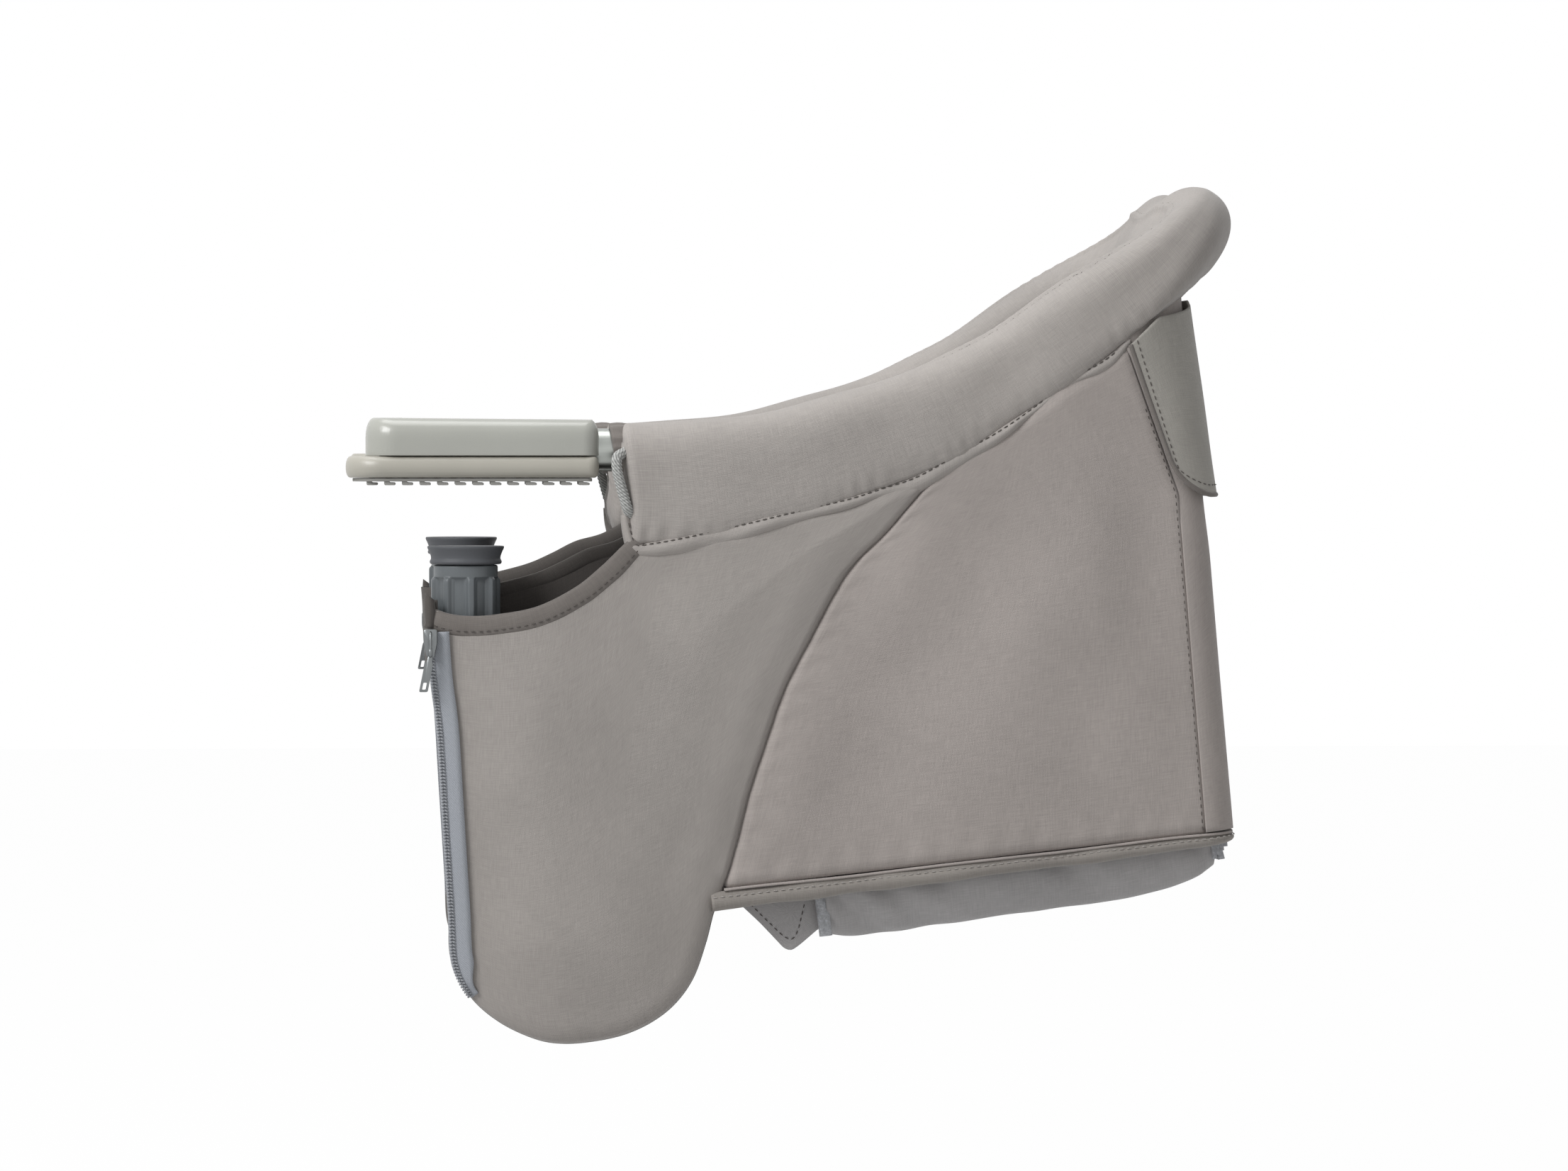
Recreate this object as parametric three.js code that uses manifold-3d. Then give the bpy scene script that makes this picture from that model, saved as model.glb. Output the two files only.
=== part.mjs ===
// Hook on table chair: a fabric seat hung on a bent tube frame. Two padded arms lie on the table top
// and two clamp arms, hidden in zipped leg pockets, press rubber cups up against its underside.
// Millimetres, +Z up, +Y towards the back of the seat, +X to the sitter's left.
// Origin: on the mid plane, at the line of the table's edge, on the plane of the table top.

import * as THREE from 'three';
import { mergeVertices } from 'three/addons/utils/BufferGeometryUtils.js';
import Module from 'manifold-3d';

const wasm = await Module();
wasm.setup();

// Clearances
const GAP = 0.3;
const CUT_GAP = 0.4;
const SLEEVE_GAP = 0.8;
const CUT_SPARE = 40;
const CUT_OVERRUN = 1;

// Upper frame tube: two straight arms that rise into a hoop round the back
const TUBE_D = 25;
const TUBE_WALL = 1.5;
const ARM_X = 161;
const ARM_AXIS_Z = 20.3;
const ARM_TUBE_FRONT_Y = -138;
const RISE_START_Y = 40;
const LAST_STRAIGHT_Y = 24;
const RISE_SHARES = [[0.266, 0.106], [0.532, 0.309], [0.771, 0.59]];
const RISE_STEPS = 11;
const HOOP_BACK_Y = 326;
const HOOP_BACK_Z = 146;
const HOOP_CORNER_R = 60;
const HOOP_SLOPE = THREE.MathUtils.degToRad(35);
const TUBE_SIDES = 10;
const CORNER_STEPS = 5;

// Padded rim round the tube: half heights, drops below the tube and half widths along the hoop
const RIM_FRONT_Y = 3;
const RIM_FRONT_LEAN = 0.167;
const RIM_LEAN_FADE = 45;
const RIM_RUNS = [0, 168, 232, 292];
const RIM_HALF_HEIGHTS = [35, 28.5, 24, 24, 31];
const RIM_DROPS = [19, 12.3, 7.3, 7.3, 4];
const RIM_HALF_WIDTHS = [27, 27, 27, 27, 29];
const RIM_BULGE = 3.2;
const RIM_SIDES = 12;
const RIM_END_ROUND = 7;
const RIM_END_STEP = 2;
const RIM_END_SHARE = 0.7;

// Arm housing, foot and tread on the table
const HOUSING_FRONT_Y = -146;
const HOUSING_REAR_Y = -11;
const HOUSING_TOP_Z = 38.3;
const HOUSING_WIDTH = 42;
const HOUSING_CORNER_R = 9;
const HOUSING_BEVEL = 4;
const FOOT_FRONT_Y = -157.5;
const FOOT_TOP_Z = 16.8;
const FOOT_WIDTH = 46;
const FOOT_BEVEL = 2;
const TREAD_TOP_Z = 4.3;
const TREAD_BASE = 1.8;
const TREAD_INSET = 4;
const LUG_PITCH = 10.2;
const LUG_LENGTH = 6.6;
const LUG_INSET = 1;
const LUG_ROOT = 0.5;

// Clamp arm: a U of tube that swivels in a socket under the frame tube
const CLAMP_TUBE_D = 22;
const CLAMP_TUBE_WALL = 1.5;
const SWIVEL_Y = 32;
const SOCKET_WALL = 2;
const SOCKET_BOTTOM_Z = -76;
const SOCKET_TOP_Z = 13;
const ARM_TOP_Z = 2;
const BEND_Z = -247;
const BEND_STEPS = 9;
const CLAMP_Y = -88;
const CLAMP_LEG_LEAN = 6.5;
const CLAMP_LEG_STRAIGHT = 26;
const COLLAR_D = 29;
const COLLAR_HEIGHT = 10;
const COLLAR_BEVEL = 1;
const STOP_PIN_D = 6;
const STOP_PIN_Z = -58;
const STOP_PIN_HEAD = 2;
const SWIVEL_ANGLE = Math.PI / 2;
const SLOT_SPARE = 1;

// Clamp: screw, ribbed knob nut and rubber cup
const CUP_TOP_Z = -35.3;
const CUP_HEIGHT = 10.7;
const CUP_TOP_R = 22.3;
const CUP_WAIST_R = 20.4;
const CUP_WAIST_HEIGHT = 6.5;
const CUP_BEAD_R = 20.9;
const CUP_BEAD_HEIGHT = 3;
const CUP_LIP = 0.8;
const KNOB_LENGTH = 51.7;
const KNOB_BODY_R = 17.7;
const KNOB_RIB_R = 20.2;
const KNOB_RIBS = 8;
const KNOB_RIB_HALF_ANGLE = 0.085;
const KNOB_RIB_FOOT = 2.2;
const KNOB_FIRST_RIB = 0.2;
const KNOB_CROWN = 6.7;
const KNOB_BOSS_R = 8.7;
const KNOB_BOSS_HEIGHT = 5.3;
const KNOB_FLANGE_GAP = 14;
const END_FLANGE_D = 26;
const END_FLANGE_HEIGHT = 13.7;
const END_BEVEL = 3;
const END_STEM = 20;
const SCREW_D = 12;
const SCREW_HEADROOM = 13;
const SCREW_TIP = 2;

// Cloth cover: outer walls, inner linings and the leaning back
const CLOTH = 2.8;
const COVER_SET_IN = 2;
const COVER_X = ARM_X + RIM_HALF_WIDTHS[0] - COVER_SET_IN;
const LINING_X = ARM_X - RIM_HALF_WIDTHS[0] + COVER_SET_IN;
const BACK_OVERHANG = 29.5;
const BACK_LOW_Y = HOOP_BACK_Y + BACK_OVERHANG;
const BACK_LOW_Z = -200;
const BACK_LEAN = 0.0834;
const BACK_CORNER_LOW_R = 18;
const BACK_CORNER_TOP_R = 48;
const BACK_CORNER_TOP_Z = 105;
const BACK_CORNER_LOW_Z = -5;
const BACK_PAD = 14;
const BACK_PAD_SET_IN = 5;
const BACK_PAD_RISE = 20;
const LINING_CORNER = 30;

// Seat base line, seen from the side, and the curved seam between side panel and leg pocket
const SEAT_FRONT = [61, -233];
const SEAT_REAR = [BACK_LOW_Y - 0.5, BACK_LOW_Z - 0.2];
const SEAM_POINTS = [[61.6, -232.6], [73, -173], [95.7, -114], [132, -50.6], [177, -3]];
const SEAM_STEPS = 12;
const SEAM_TOP_Y = 196;

// Leg pockets, seen from the side: hems as [y, z], front edges as [height, ease before the clamp leg]
const OUTER_HEM = [[-86, -76], [-70, -75], [-47, -70.5], [-25, -59.5], [-10, -47.6], [1, -37]];
const OUTER_HEM_FRONT_Z = -71;
const OUTER_HEM_RISE = [[14, -24], [30, 0]];
const INNER_HEM = [[-90, -62], [-68, -57.6], [-47, -52], [-32, -45.5], [-17, -38], [0, -36.2], [8, -28]];
const INNER_HEM_FRONT_Z = -66;
const INNER_HEM_RISE = [[35, -20], [SEAT_FRONT[0] - GAP, -10]];
const ZIP_TOP_Z = -84;
const ZIP_UPPER = [[ZIP_TOP_Z, 6.7], [-112, 4.7], [-142, 1.2]];
const ZIP_LOWER_RISE = 53;
const ZIP_EASE = 1;
const KNOB_EASE = 1.4;
const POCKET_EASE = 5.9;
const POCKET_ARC = [-157, 0];
const POCKET_ARC_STEPS = 8;
const POCKET_END = [57.5, -238];
const POCKET_INNER_SET_IN = 1.5;
const HEM_STEPS = 12;
const EDGE_STEPS = 24;
const WELD_NUDGE = 0.02;

// Zip on the outer wall
const ZIP_TAPE_WIDTH = 8.5;
const ZIP_TAPE_THICK = 1.4;
const ZIP_STEPS = 16;
const SLIDER_LENGTH = 16;
const SLIDER_WIDTH = 8;
const SLIDER_THICK = 4;
const SLIDER_Z = -91;
const SLIDER_OVERHANG = 1;
const SLIDER_TAPER = 2;
const SLIDER_LUG = 2;
const SLIDER_LUG_EDGE = 0.6;
const PULL_LENGTH = 24;
const PULL_WIDTH = 5;
const PULL_THICK = 1.5;
const PULL_BARREL_R = 1.7;
const PULL_PIN_R = 0.8;
const PULL_NECK = 4.5;
const PULL_NECK_INSET = 1;

// Back flap over the back pocket's slit
const FLAP_THICK = 2.2;
const FLAP_OFFSET = 0.4;
const FLAP_BOTTOM_Z = -5;
const FLAP_CORNER_RISES = [9, 2];
const FLAP_RIM_GAP = 3;

// Elastic cord at the rim's front end
const ELASTIC_D = 5;
const ELASTIC_TOP_Z = 12;
const ELASTIC_BOTTOM_Z = -18;
const ELASTIC_OFFSET = 15.5;

// Seat base, pad and pouch, in the seat's own sloping frame
const BASE_CLOTH = 2.5;
const PIPING_FRONT_H = 11;
const PIPING_REAR_H = 6;
const PIPING_WIDTH = 9;
const BOARD_THICK = 5;
const BOARD_SIDE_GAP = 8;
const BOARD_FRONT = 6;
const BOARD_REAR_GAP = 10.8;
const PAD_SIDE_GAP = 5;
const PAD_FRONT = 3;
const PAD_REAR_GAP = 8.8;
const PAD_EDGE = 2;
const PAD_SQUARENESS = 6;
const PAD_STEPS_ALONG = 14;
const PAD_STEPS_ACROSS = 14;
const PAD_CROWN = 22;
const PAD_DRAW_IN = 3;
const POUCH_SIDE_INSET = 18;
const POUCH_FRONT = 59;
const POUCH_REAR_INSET = 11.8;
const POUCH_DEPTH_FRONT = 35;
const POUCH_DEPTH_REAR = 29;
const POUCH_ROUND = 24;
const POUCH_STATIONS = [0, 0.03, 0.12, 0.3, 0.6, 0.82, 0.93, 0.98, 1];
const POUCH_FRONT_ROUND = 0.12;
const POUCH_FRONT_RISE = 0.15;
const POUCH_REAR_ROUND = 0.8;
const POUCH_REAR_RISE = 0.65;
const POUCH_REAR_DRAW = 10;
const POUCH_CORNER_SHARE = 0.7;
const POUCH_CORNER_STEPS = 4;
const POUCH_FLAP_START = 10;
const POUCH_FLAP_TIP = [38, -41];
const POUCH_FLAP_END_Z = -36.5;
const POUCH_FLAP_GAP = 2;
const POUCH_FLAP_INSET = 8;
const TAB_THICK = 2;
const TAB_HEIGHT = 16;
const TAB_INSET = 10;
const REAR_TAB_HEIGHT = 14;

// Harness on the seat pad
const STRAP_WIDTH = 25;
const STRAP_THICK = 1.8;
const CROTCH_START = 62;
const STRAP_STEPS = 6;
const BUCKLE_Y = 168;
const BUCKLE_LENGTH = 36;
const BUCKLE_WIDTH = 44;
const BUCKLE_THICK = 12;
const WAIST_INSET = 15;
const WAIST_START_Y = 206;
const WAIST_RUN = 20;
const BUTTON_R = 7;
const BUTTON_DEPTH = 5;
const BUTTON_TRAVEL = 3;
const BUTTON_PROUD = 2;
const BUCKLE_CORNER_R = 8;

// Finishes
const STEEL = { color: 0x94978f, roughness: 0.35, metalness: 0.8 };
const DARK_STEEL = { color: 0x6f7276, roughness: 0.4, metalness: 0.85 };
const HOUSING_GREY = { color: 0x9d9d98, roughness: 0.45, metalness: 0 };
const FOOT_GREY = { color: 0xa5a297, roughness: 0.5, metalness: 0 };
const TREAD_RUBBER = { color: 0x8d8c88, roughness: 0.85, metalness: 0 };
const KNOB_BLUE_GREY = { color: 0x606568, roughness: 0.5, metalness: 0 };
const CUP_RUBBER = { color: 0x55565a, roughness: 0.8, metalness: 0 };
const RIM_CLOTH = { color: 0xa29c98, roughness: 0.8, metalness: 0 };
const SIDE_CLOTH = { color: 0x9a928f, roughness: 0.8, metalness: 0 };
const POCKET_CLOTH = { color: 0x928d89, roughness: 0.8, metalness: 0 };
const LINING_CLOTH = { color: 0x5b5754, roughness: 0.9, metalness: 0 };
const FLAP_CLOTH = { color: 0x85827d, roughness: 0.8, metalness: 0 };
const ZIP_GREY = { color: 0xa1a5aa, roughness: 0.7, metalness: 0 };
const ZIP_METAL = { color: 0x7d8084, roughness: 0.35, metalness: 0.9 };
const WEBBING = { color: 0x4c4a49, roughness: 0.85, metalness: 0 };
const BUCKLE_PLASTIC = { color: 0x3b3d40, roughness: 0.5, metalness: 0 };
const BOARD_GREY = { color: 0x7c7a76, roughness: 0.7, metalness: 0 };

// Geometry helpers

const vec = (x, y, z) => new THREE.Vector3(x, y, z);
const planar = (points) => points.map(([a, b]) => new THREE.Vector2(a, b));
const spline = (points, steps) => new THREE.SplineCurve(planar(points)).getPoints(steps);

// Turns every face outwards, by the sign of the enclosed volume.
function outward(geometry) {
  const index = geometry.index.array;
  const position = geometry.attributes.position;
  const [a, b, c] = [vec(), vec(), vec()];
  let volume = 0;
  for (let i = 0; i < index.length; i += 3) {
    a.fromBufferAttribute(position, index[i]);
    b.fromBufferAttribute(position, index[i + 1]);
    c.fromBufferAttribute(position, index[i + 2]);
    volume += a.dot(b.cross(c));
  }
  if (volume < 0) {
    for (let i = 0; i < index.length; i += 3) {
      [index[i + 1], index[i + 2]] = [index[i + 2], index[i + 1]];
    }
  }
  return geometry;
}

// Keeps positions only and joins the corners that faces share.
function welded(geometry) {
  const bare = geometry.clone();
  bare.deleteAttribute('normal');
  bare.deleteAttribute('uv');
  return outward(mergeVertices(bare, 1e-4));
}

function meshOf(points, triangles) {
  const geometry = new THREE.BufferGeometry();
  const numbers = points.flatMap((p) => [p.x, p.y, p.z]);
  geometry.setAttribute('position', new THREE.Float32BufferAttribute(numbers, 3));
  geometry.setIndex(triangles);
  return outward(geometry);
}

// Triangles of the bands between neighbouring rings of equal point counts.
function bands(ringCount, sides, closed) {
  const triangles = [];
  const last = closed ? ringCount : ringCount - 1;
  for (let i = 0; i < last; i += 1) {
    const next = (i + 1) % ringCount;
    for (let j = 0; j < sides; j += 1) {
      const k = (j + 1) % sides;
      triangles.push(i * sides + j, next * sides + j, next * sides + k);
      triangles.push(i * sides + j, next * sides + k, i * sides + k);
    }
  }
  return triangles;
}

// A solid through rings of an even count, closed at each end by a strip between the ring's two halves.
function loft(rings) {
  const sides = rings[0].length;
  const triangles = bands(rings.length, sides, false);
  const cap = (first, flip) => {
    for (let j = 0; j < sides / 2 - 1; j += 1) {
      const [a, b, c, d] = [j, j + 1, sides - 2 - j, sides - 1 - j].map((k) => first + k);
      triangles.push(...(flip ? [a, b, c, a, c, d] : [a, c, b, a, d, c]));
    }
  };
  cap(0, true);
  cap((rings.length - 1) * sides, false);
  return meshOf(rings.flat(), triangles);
}

// A hollow solid: outer rings one way, inner rings back, open at both ends.
function hollowLoft(outer, inner) {
  const rings = [...outer, ...inner.slice().reverse()];
  return meshOf(rings.flat(), bands(rings.length, rings[0].length, true));
}

function solid(geometry) {
  const mesh = geometry.index && !geometry.attributes.normal ? geometry : welded(geometry);
  return new wasm.Manifold(new wasm.Mesh({
    numProp: 3,
    vertProperties: new Float32Array(mesh.attributes.position.array),
    triVerts: new Uint32Array(mesh.index.array),
  }));
}

function geometryOf(manifold) {
  const mesh = manifold.getMesh();
  const geometry = new THREE.BufferGeometry();
  const numbers = new Float32Array(mesh.vertProperties);
  geometry.setAttribute('position', new THREE.BufferAttribute(numbers, 3));
  geometry.setIndex(new THREE.BufferAttribute(new Uint32Array(mesh.triVerts), 1));
  return geometry;
}

function cut(body, ...tools) {
  return geometryOf(tools.reduce((rest, tool) => rest.subtract(solid(tool)), solid(body)));
}

function join(body, ...others) {
  return geometryOf(others.reduce((sum, other) => sum.add(solid(other)), solid(body)));
}

function mirrored(geometry) {
  return outward(geometry.clone().applyMatrix4(new THREE.Matrix4().makeScale(-1, 1, 1)));
}

// Local drawing axes: a flat outline in YZ, pushed out along X.
const SIDE_VIEW = new THREE.Matrix4().makeBasis(vec(0, 1, 0), vec(0, 0, 1), vec(1, 0, 0));

function sidePlate(shape, x0, x1) {
  const plate = new THREE.ExtrudeGeometry(shape, { depth: x1 - x0, bevelEnabled: false, curveSegments: 6 });
  return welded(plate.applyMatrix4(SIDE_VIEW).translate(x0, 0, 0));
}

function uprightPlate(shape, z0, z1) {
  const plate = new THREE.ExtrudeGeometry(shape, { depth: z1 - z0, bevelEnabled: false, curveSegments: 6 });
  return welded(plate.translate(0, 0, z0));
}

function box(x0, x1, y0, y1, z0, z1) {
  const block = new THREE.BoxGeometry(x1 - x0, y1 - y0, z1 - z0);
  return welded(block.translate((x0 + x1) / 2, (y0 + y1) / 2, (z0 + z1) / 2));
}

// A round bar between two points.
function bar(from, to, radius, sides = 16) {
  const length = from.distanceTo(to);
  const rod = new THREE.CylinderGeometry(radius, radius, length, sides);
  const turn = new THREE.Quaternion().setFromUnitVectors(vec(0, 1, 0), to.clone().sub(from).normalize());
  rod.applyQuaternion(turn);
  const middle = from.clone().add(to).multiplyScalar(0.5);
  return welded(rod.translate(middle.x, middle.y, middle.z));
}

// A body turned about an upright axis, from a profile of [radius, height] that closes on itself.
function turned(profile, x, y, sides = 16) {
  const lathe = new THREE.LatheGeometry(planar([...profile, profile[0]]), sides);
  lathe.rotateX(Math.PI / 2);
  return welded(lathe.translate(x, y, 0));
}

// Hoop stations

const hoopNormal = vec(0, -Math.sin(HOOP_SLOPE), Math.cos(HOOP_SLOPE));
const hoopUphill = vec(0, Math.cos(HOOP_SLOPE), Math.sin(HOOP_SLOPE));
const hoopBack = vec(0, HOOP_BACK_Y, HOOP_BACK_Z);
const cornerStart = hoopBack.clone().addScaledVector(hoopUphill, -HOOP_CORNER_R).setX(ARM_X);

// Points of the tube's centre line on the left, from stations on the straight arm to the mid plane.
function halfHoop(straightYs) {
  const straight = straightYs.map((y) => vec(ARM_X, y, ARM_AXIS_Z));
  const risePoint = ([along, up]) => vec(
    ARM_X,
    THREE.MathUtils.lerp(RISE_START_Y, cornerStart.y, along),
    THREE.MathUtils.lerp(ARM_AXIS_Z, cornerStart.z, up),
  );
  const rise = new THREE.CatmullRomCurve3([
    vec(ARM_X, 0, ARM_AXIS_Z),
    vec(ARM_X, RISE_START_Y, ARM_AXIS_Z),
    ...RISE_SHARES.map(risePoint),
    cornerStart,
  ]);
  const risen = rise.getPoints(RISE_STEPS).filter((p) => p.y > RISE_START_Y + CUT_OVERRUN);
  const corner = [];
  for (let i = 1; i <= CORNER_STEPS; i += 1) {
    const turn = (i / CORNER_STEPS) * (Math.PI / 2);
    const point = cornerStart.clone().addScaledVector(hoopUphill, HOOP_CORNER_R * Math.sin(turn));
    corner.push(point.setX(ARM_X - HOOP_CORNER_R * (1 - Math.cos(turn))));
  }
  return [...straight, ...risen, ...corner, hoopBack.clone()];
}

// Adds the direction of travel, the outward side and the up direction to each point of a centre line.
function framed(points) {
  let run = 0;
  return points.map((point, i) => {
    const before = points[Math.max(i - 1, 0)];
    const after = points[Math.min(i + 1, points.length - 1)];
    const along = i === points.length - 1 ? vec(-1, 0, 0) : after.clone().sub(before).normalize();
    const lift = along.x < -1e-6 ? hoopNormal : vec(0, -along.z, along.y).normalize();
    const side = along.clone().cross(lift).normalize();
    const up = side.clone().cross(along).normalize();
    if (i > 0) run += point.distanceTo(before);
    return { point, along, side, up, run };
  });
}

const flipX = (p) => vec(-p.x, p.y, p.z);

// Rings of the whole hoop from the left half's rings, mirrored about the mid plane.
function bothHalves(rings) {
  const right = rings.slice(0, -1).reverse().map((ring) => ring.map(flipX));
  return [...rings, ...right];
}

function circleRing({ point, side, up }, radius, sides) {
  return Array.from({ length: sides }, (_, j) => {
    const angle = (j / sides) * 2 * Math.PI;
    return point.clone()
      .addScaledVector(side, radius * Math.cos(angle))
      .addScaledVector(up, radius * Math.sin(angle));
  });
}

// Value of a list of knots along the hoop, eased between knots.
function alongRim(run, values, total) {
  const knots = [...RIM_RUNS, total];
  if (run >= total) return values[values.length - 1];
  const i = Math.max(0, knots.findIndex((knot) => run < knot) - 1);
  const share = THREE.MathUtils.smoothstep(run, knots[i], knots[i + 1]);
  return THREE.MathUtils.lerp(values[i], values[i + 1], share);
}

const rimStraight = [
  RIM_FRONT_Y,
  RIM_FRONT_Y + RIM_END_STEP,
  RIM_FRONT_Y + RIM_END_ROUND,
  LAST_STRAIGHT_Y,
  RISE_START_Y,
];
const rimStations = framed(halfHoop(rimStraight));
const rimTotal = rimStations[rimStations.length - 1].run;
const rimCentre = (station) => station.point.clone()
  .addScaledVector(station.up, -alongRim(station.run, RIM_DROPS, rimTotal));

const frontLean = (station) => RIM_FRONT_LEAN * Math.max(0, 1 - station.run / RIM_LEAN_FADE);

// One padded section: a rounded box that leans back at the front end, where the cover is cut on the slant.
function rimRing(station, grow) {
  const centre = rimCentre(station);
  const endShare = THREE.MathUtils.clamp(station.run / RIM_END_ROUND, 0, 1);
  const endSize = Math.sqrt(THREE.MathUtils.lerp(RIM_END_SHARE, 1, endShare));
  const halfWidth = alongRim(station.run, RIM_HALF_WIDTHS, rimTotal) * endSize + grow;
  const halfHeight = alongRim(station.run, RIM_HALF_HEIGHTS, rimTotal) * endSize + grow;
  const lean = frontLean(station);
  return Array.from({ length: RIM_SIDES }, (_, j) => {
    const angle = ((j + 0.5) / RIM_SIDES) * 2 * Math.PI;
    const bulge = Math.abs(Math.cos(angle)) ** RIM_BULGE + Math.abs(Math.sin(angle)) ** RIM_BULGE;
    const reach = bulge ** (-1 / RIM_BULGE);
    const across = halfWidth * reach * Math.cos(angle);
    const rise = halfHeight * reach * Math.sin(angle);
    return centre.clone().addScaledVector(station.side, across).addScaledVector(station.up, rise)
      .addScaledVector(station.along, -lean * rise);
  });
}

const rimCutter = (grow) => loft(bothHalves(rimStations.map((station) => rimRing(station, grow))));

// Scene graph

const chair = new THREE.Group();
const seat = new THREE.Group();
chair.add(seat);

function add(group, name, geometry, finish) {
  const mesh = new THREE.Mesh(geometry, new THREE.MeshStandardMaterial(finish));
  mesh.name = name;
  group.add(mesh);
}

function addPair(group, name, geometry, finish) {
  add(group, `${name}_left`, geometry, finish);
  add(group, `${name}_right`, mirrored(geometry), finish);
}

// Upper frame tube

const tubeStations = framed(halfHoop([ARM_TUBE_FRONT_Y, LAST_STRAIGHT_Y, RISE_START_Y]));
const tubeRings = (radius) => bothHalves(tubeStations.map((s) => circleRing(s, radius, TUBE_SIDES)));
const upperTube = hollowLoft(tubeRings(TUBE_D / 2), tubeRings(TUBE_D / 2 - TUBE_WALL));
add(chair, 'upper_tube', upperTube, STEEL);

// Swivel sockets under the arms

const socketBoreR = CLAMP_TUBE_D / 2 + GAP;
const socketR = socketBoreR + SOCKET_WALL;
const armTubeCutter = bar(
  vec(ARM_X, ARM_TUBE_FRONT_Y - CUT_SPARE, ARM_AXIS_Z),
  vec(ARM_X, RISE_START_Y + CUT_SPARE, ARM_AXIS_Z),
  TUBE_D / 2 + GAP,
  TUBE_SIDES * 2,
);
const socketBody = turned([
  [socketBoreR, SOCKET_BOTTOM_Z],
  [socketR, SOCKET_BOTTOM_Z],
  [socketR, SOCKET_TOP_Z],
  [socketBoreR, SOCKET_TOP_Z],
], ARM_X, SWIVEL_Y);
const stopPinAxis = (y) => vec(ARM_X, y, STOP_PIN_Z);
const stopPinHole = bar(
  stopPinAxis(SWIVEL_Y - socketR - CUT_OVERRUN),
  stopPinAxis(SWIVEL_Y - CLAMP_TUBE_D / 2 + CLAMP_TUBE_WALL + CUT_OVERRUN),
  STOP_PIN_D / 2 + GAP,
  12,
);
addPair(chair, 'drop_socket', cut(socketBody, armTubeCutter, stopPinHole), STEEL);

const stopPin = join(
  bar(
    stopPinAxis(SWIVEL_Y - socketR - GAP - STOP_PIN_HEAD),
    stopPinAxis(SWIVEL_Y - CLAMP_TUBE_D / 2 + CLAMP_TUBE_WALL),
    STOP_PIN_D / 2,
    12,
  ),
  bar(
    stopPinAxis(SWIVEL_Y - socketR - GAP - STOP_PIN_HEAD),
    stopPinAxis(SWIVEL_Y - socketR - GAP),
    STOP_PIN_D,
    12,
  ),
);
addPair(chair, 'stop_pin', stopPin, DARK_STEEL);

// Padded rim in three runs

const rimSplit = rimStations.length - 2;
const rimBoreR = TUBE_D / 2 + SLEEVE_GAP;
const boreRing = (station) => circleRing(station, rimBoreR, RIM_SIDES).map((p) => {
  const rise = p.clone().sub(rimCentre(station)).dot(station.up);
  return p.addScaledVector(station.along, -frontLean(station) * rise);
});
const socketClearance = bar(
  vec(ARM_X, SWIVEL_Y, SOCKET_BOTTOM_Z),
  vec(ARM_X, SWIVEL_Y, ARM_AXIS_Z),
  socketR + CUT_GAP,
  16,
);
const sideStations = rimStations.slice(0, rimSplit + 1);
const rimSide = cut(
  hollowLoft(sideStations.map((s) => rimRing(s, 0)), sideStations.map(boreRing)),
  socketClearance,
);
addPair(chair, 'rim', rimSide, RIM_CLOTH);

const backStart = rimStations[rimSplit];
const backJoint = { ...backStart, point: backStart.point.clone().setX(backStart.point.x - CUT_GAP) };
const backHalf = [backJoint, rimStations[rimStations.length - 1]];
const rimBack = hollowLoft(
  bothHalves(backHalf.map((s) => rimRing(s, 0))),
  bothHalves(backHalf.map(boreRing)),
);
add(chair, 'rim_back', rimBack, RIM_CLOTH);

// Elastic cord across the slanted front end of each rim

const rimFrontAt = (z) => RIM_FRONT_Y - RIM_FRONT_LEAN * (z - (ARM_AXIS_Z - RIM_DROPS[0]));
const elasticAt = (z) => vec(ARM_X + ELASTIC_OFFSET, rimFrontAt(z) - ELASTIC_D / 2 - CUT_GAP, z);
const elasticCord = bar(elasticAt(ELASTIC_BOTTOM_Z), elasticAt(ELASTIC_TOP_Z), ELASTIC_D / 2, TUBE_SIDES);
addPair(chair, 'elastic_cord', elasticCord, ZIP_GREY);

// Arm housing, foot and tread

function roundedOutline(x0, x1, y0, y1, radius) {
  const shape = new THREE.Shape();
  shape.moveTo(x0, y0);
  shape.lineTo(x1, y0);
  shape.lineTo(x1, y1 - radius);
  shape.absarc(x1 - radius, y1 - radius, radius, 0, Math.PI / 2, false);
  shape.lineTo(x0 + radius, y1);
  shape.absarc(x0 + radius, y1 - radius, radius, Math.PI / 2, Math.PI, false);
  shape.closePath();
  return shape;
}

function housing() {
  const outline = roundedOutline(
    HOUSING_FRONT_Y + HOUSING_BEVEL,
    HOUSING_REAR_Y - HOUSING_BEVEL,
    FOOT_TOP_Z,
    HOUSING_TOP_Z - HOUSING_BEVEL,
    HOUSING_CORNER_R - HOUSING_BEVEL,
  );
  const depth = HOUSING_WIDTH - 2 * HOUSING_BEVEL;
  const body = new THREE.ExtrudeGeometry(outline, {
    depth,
    bevelThickness: HOUSING_BEVEL,
    bevelSize: HOUSING_BEVEL,
    bevelSegments: 2,
    curveSegments: 3,
  });
  const placed = welded(body.applyMatrix4(SIDE_VIEW).translate(ARM_X - depth / 2, 0, 0));
  const below = box(
    ARM_X - HOUSING_WIDTH,
    ARM_X + HOUSING_WIDTH,
    HOUSING_FRONT_Y - CUT_SPARE,
    HOUSING_REAR_Y + CUT_SPARE,
    FOOT_TOP_Z - 2 * HOUSING_BEVEL,
    FOOT_TOP_Z + GAP,
  );
  return cut(placed, below, armTubeCutter);
}
addPair(chair, 'arm_cover', housing(), HOUSING_GREY);

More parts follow.
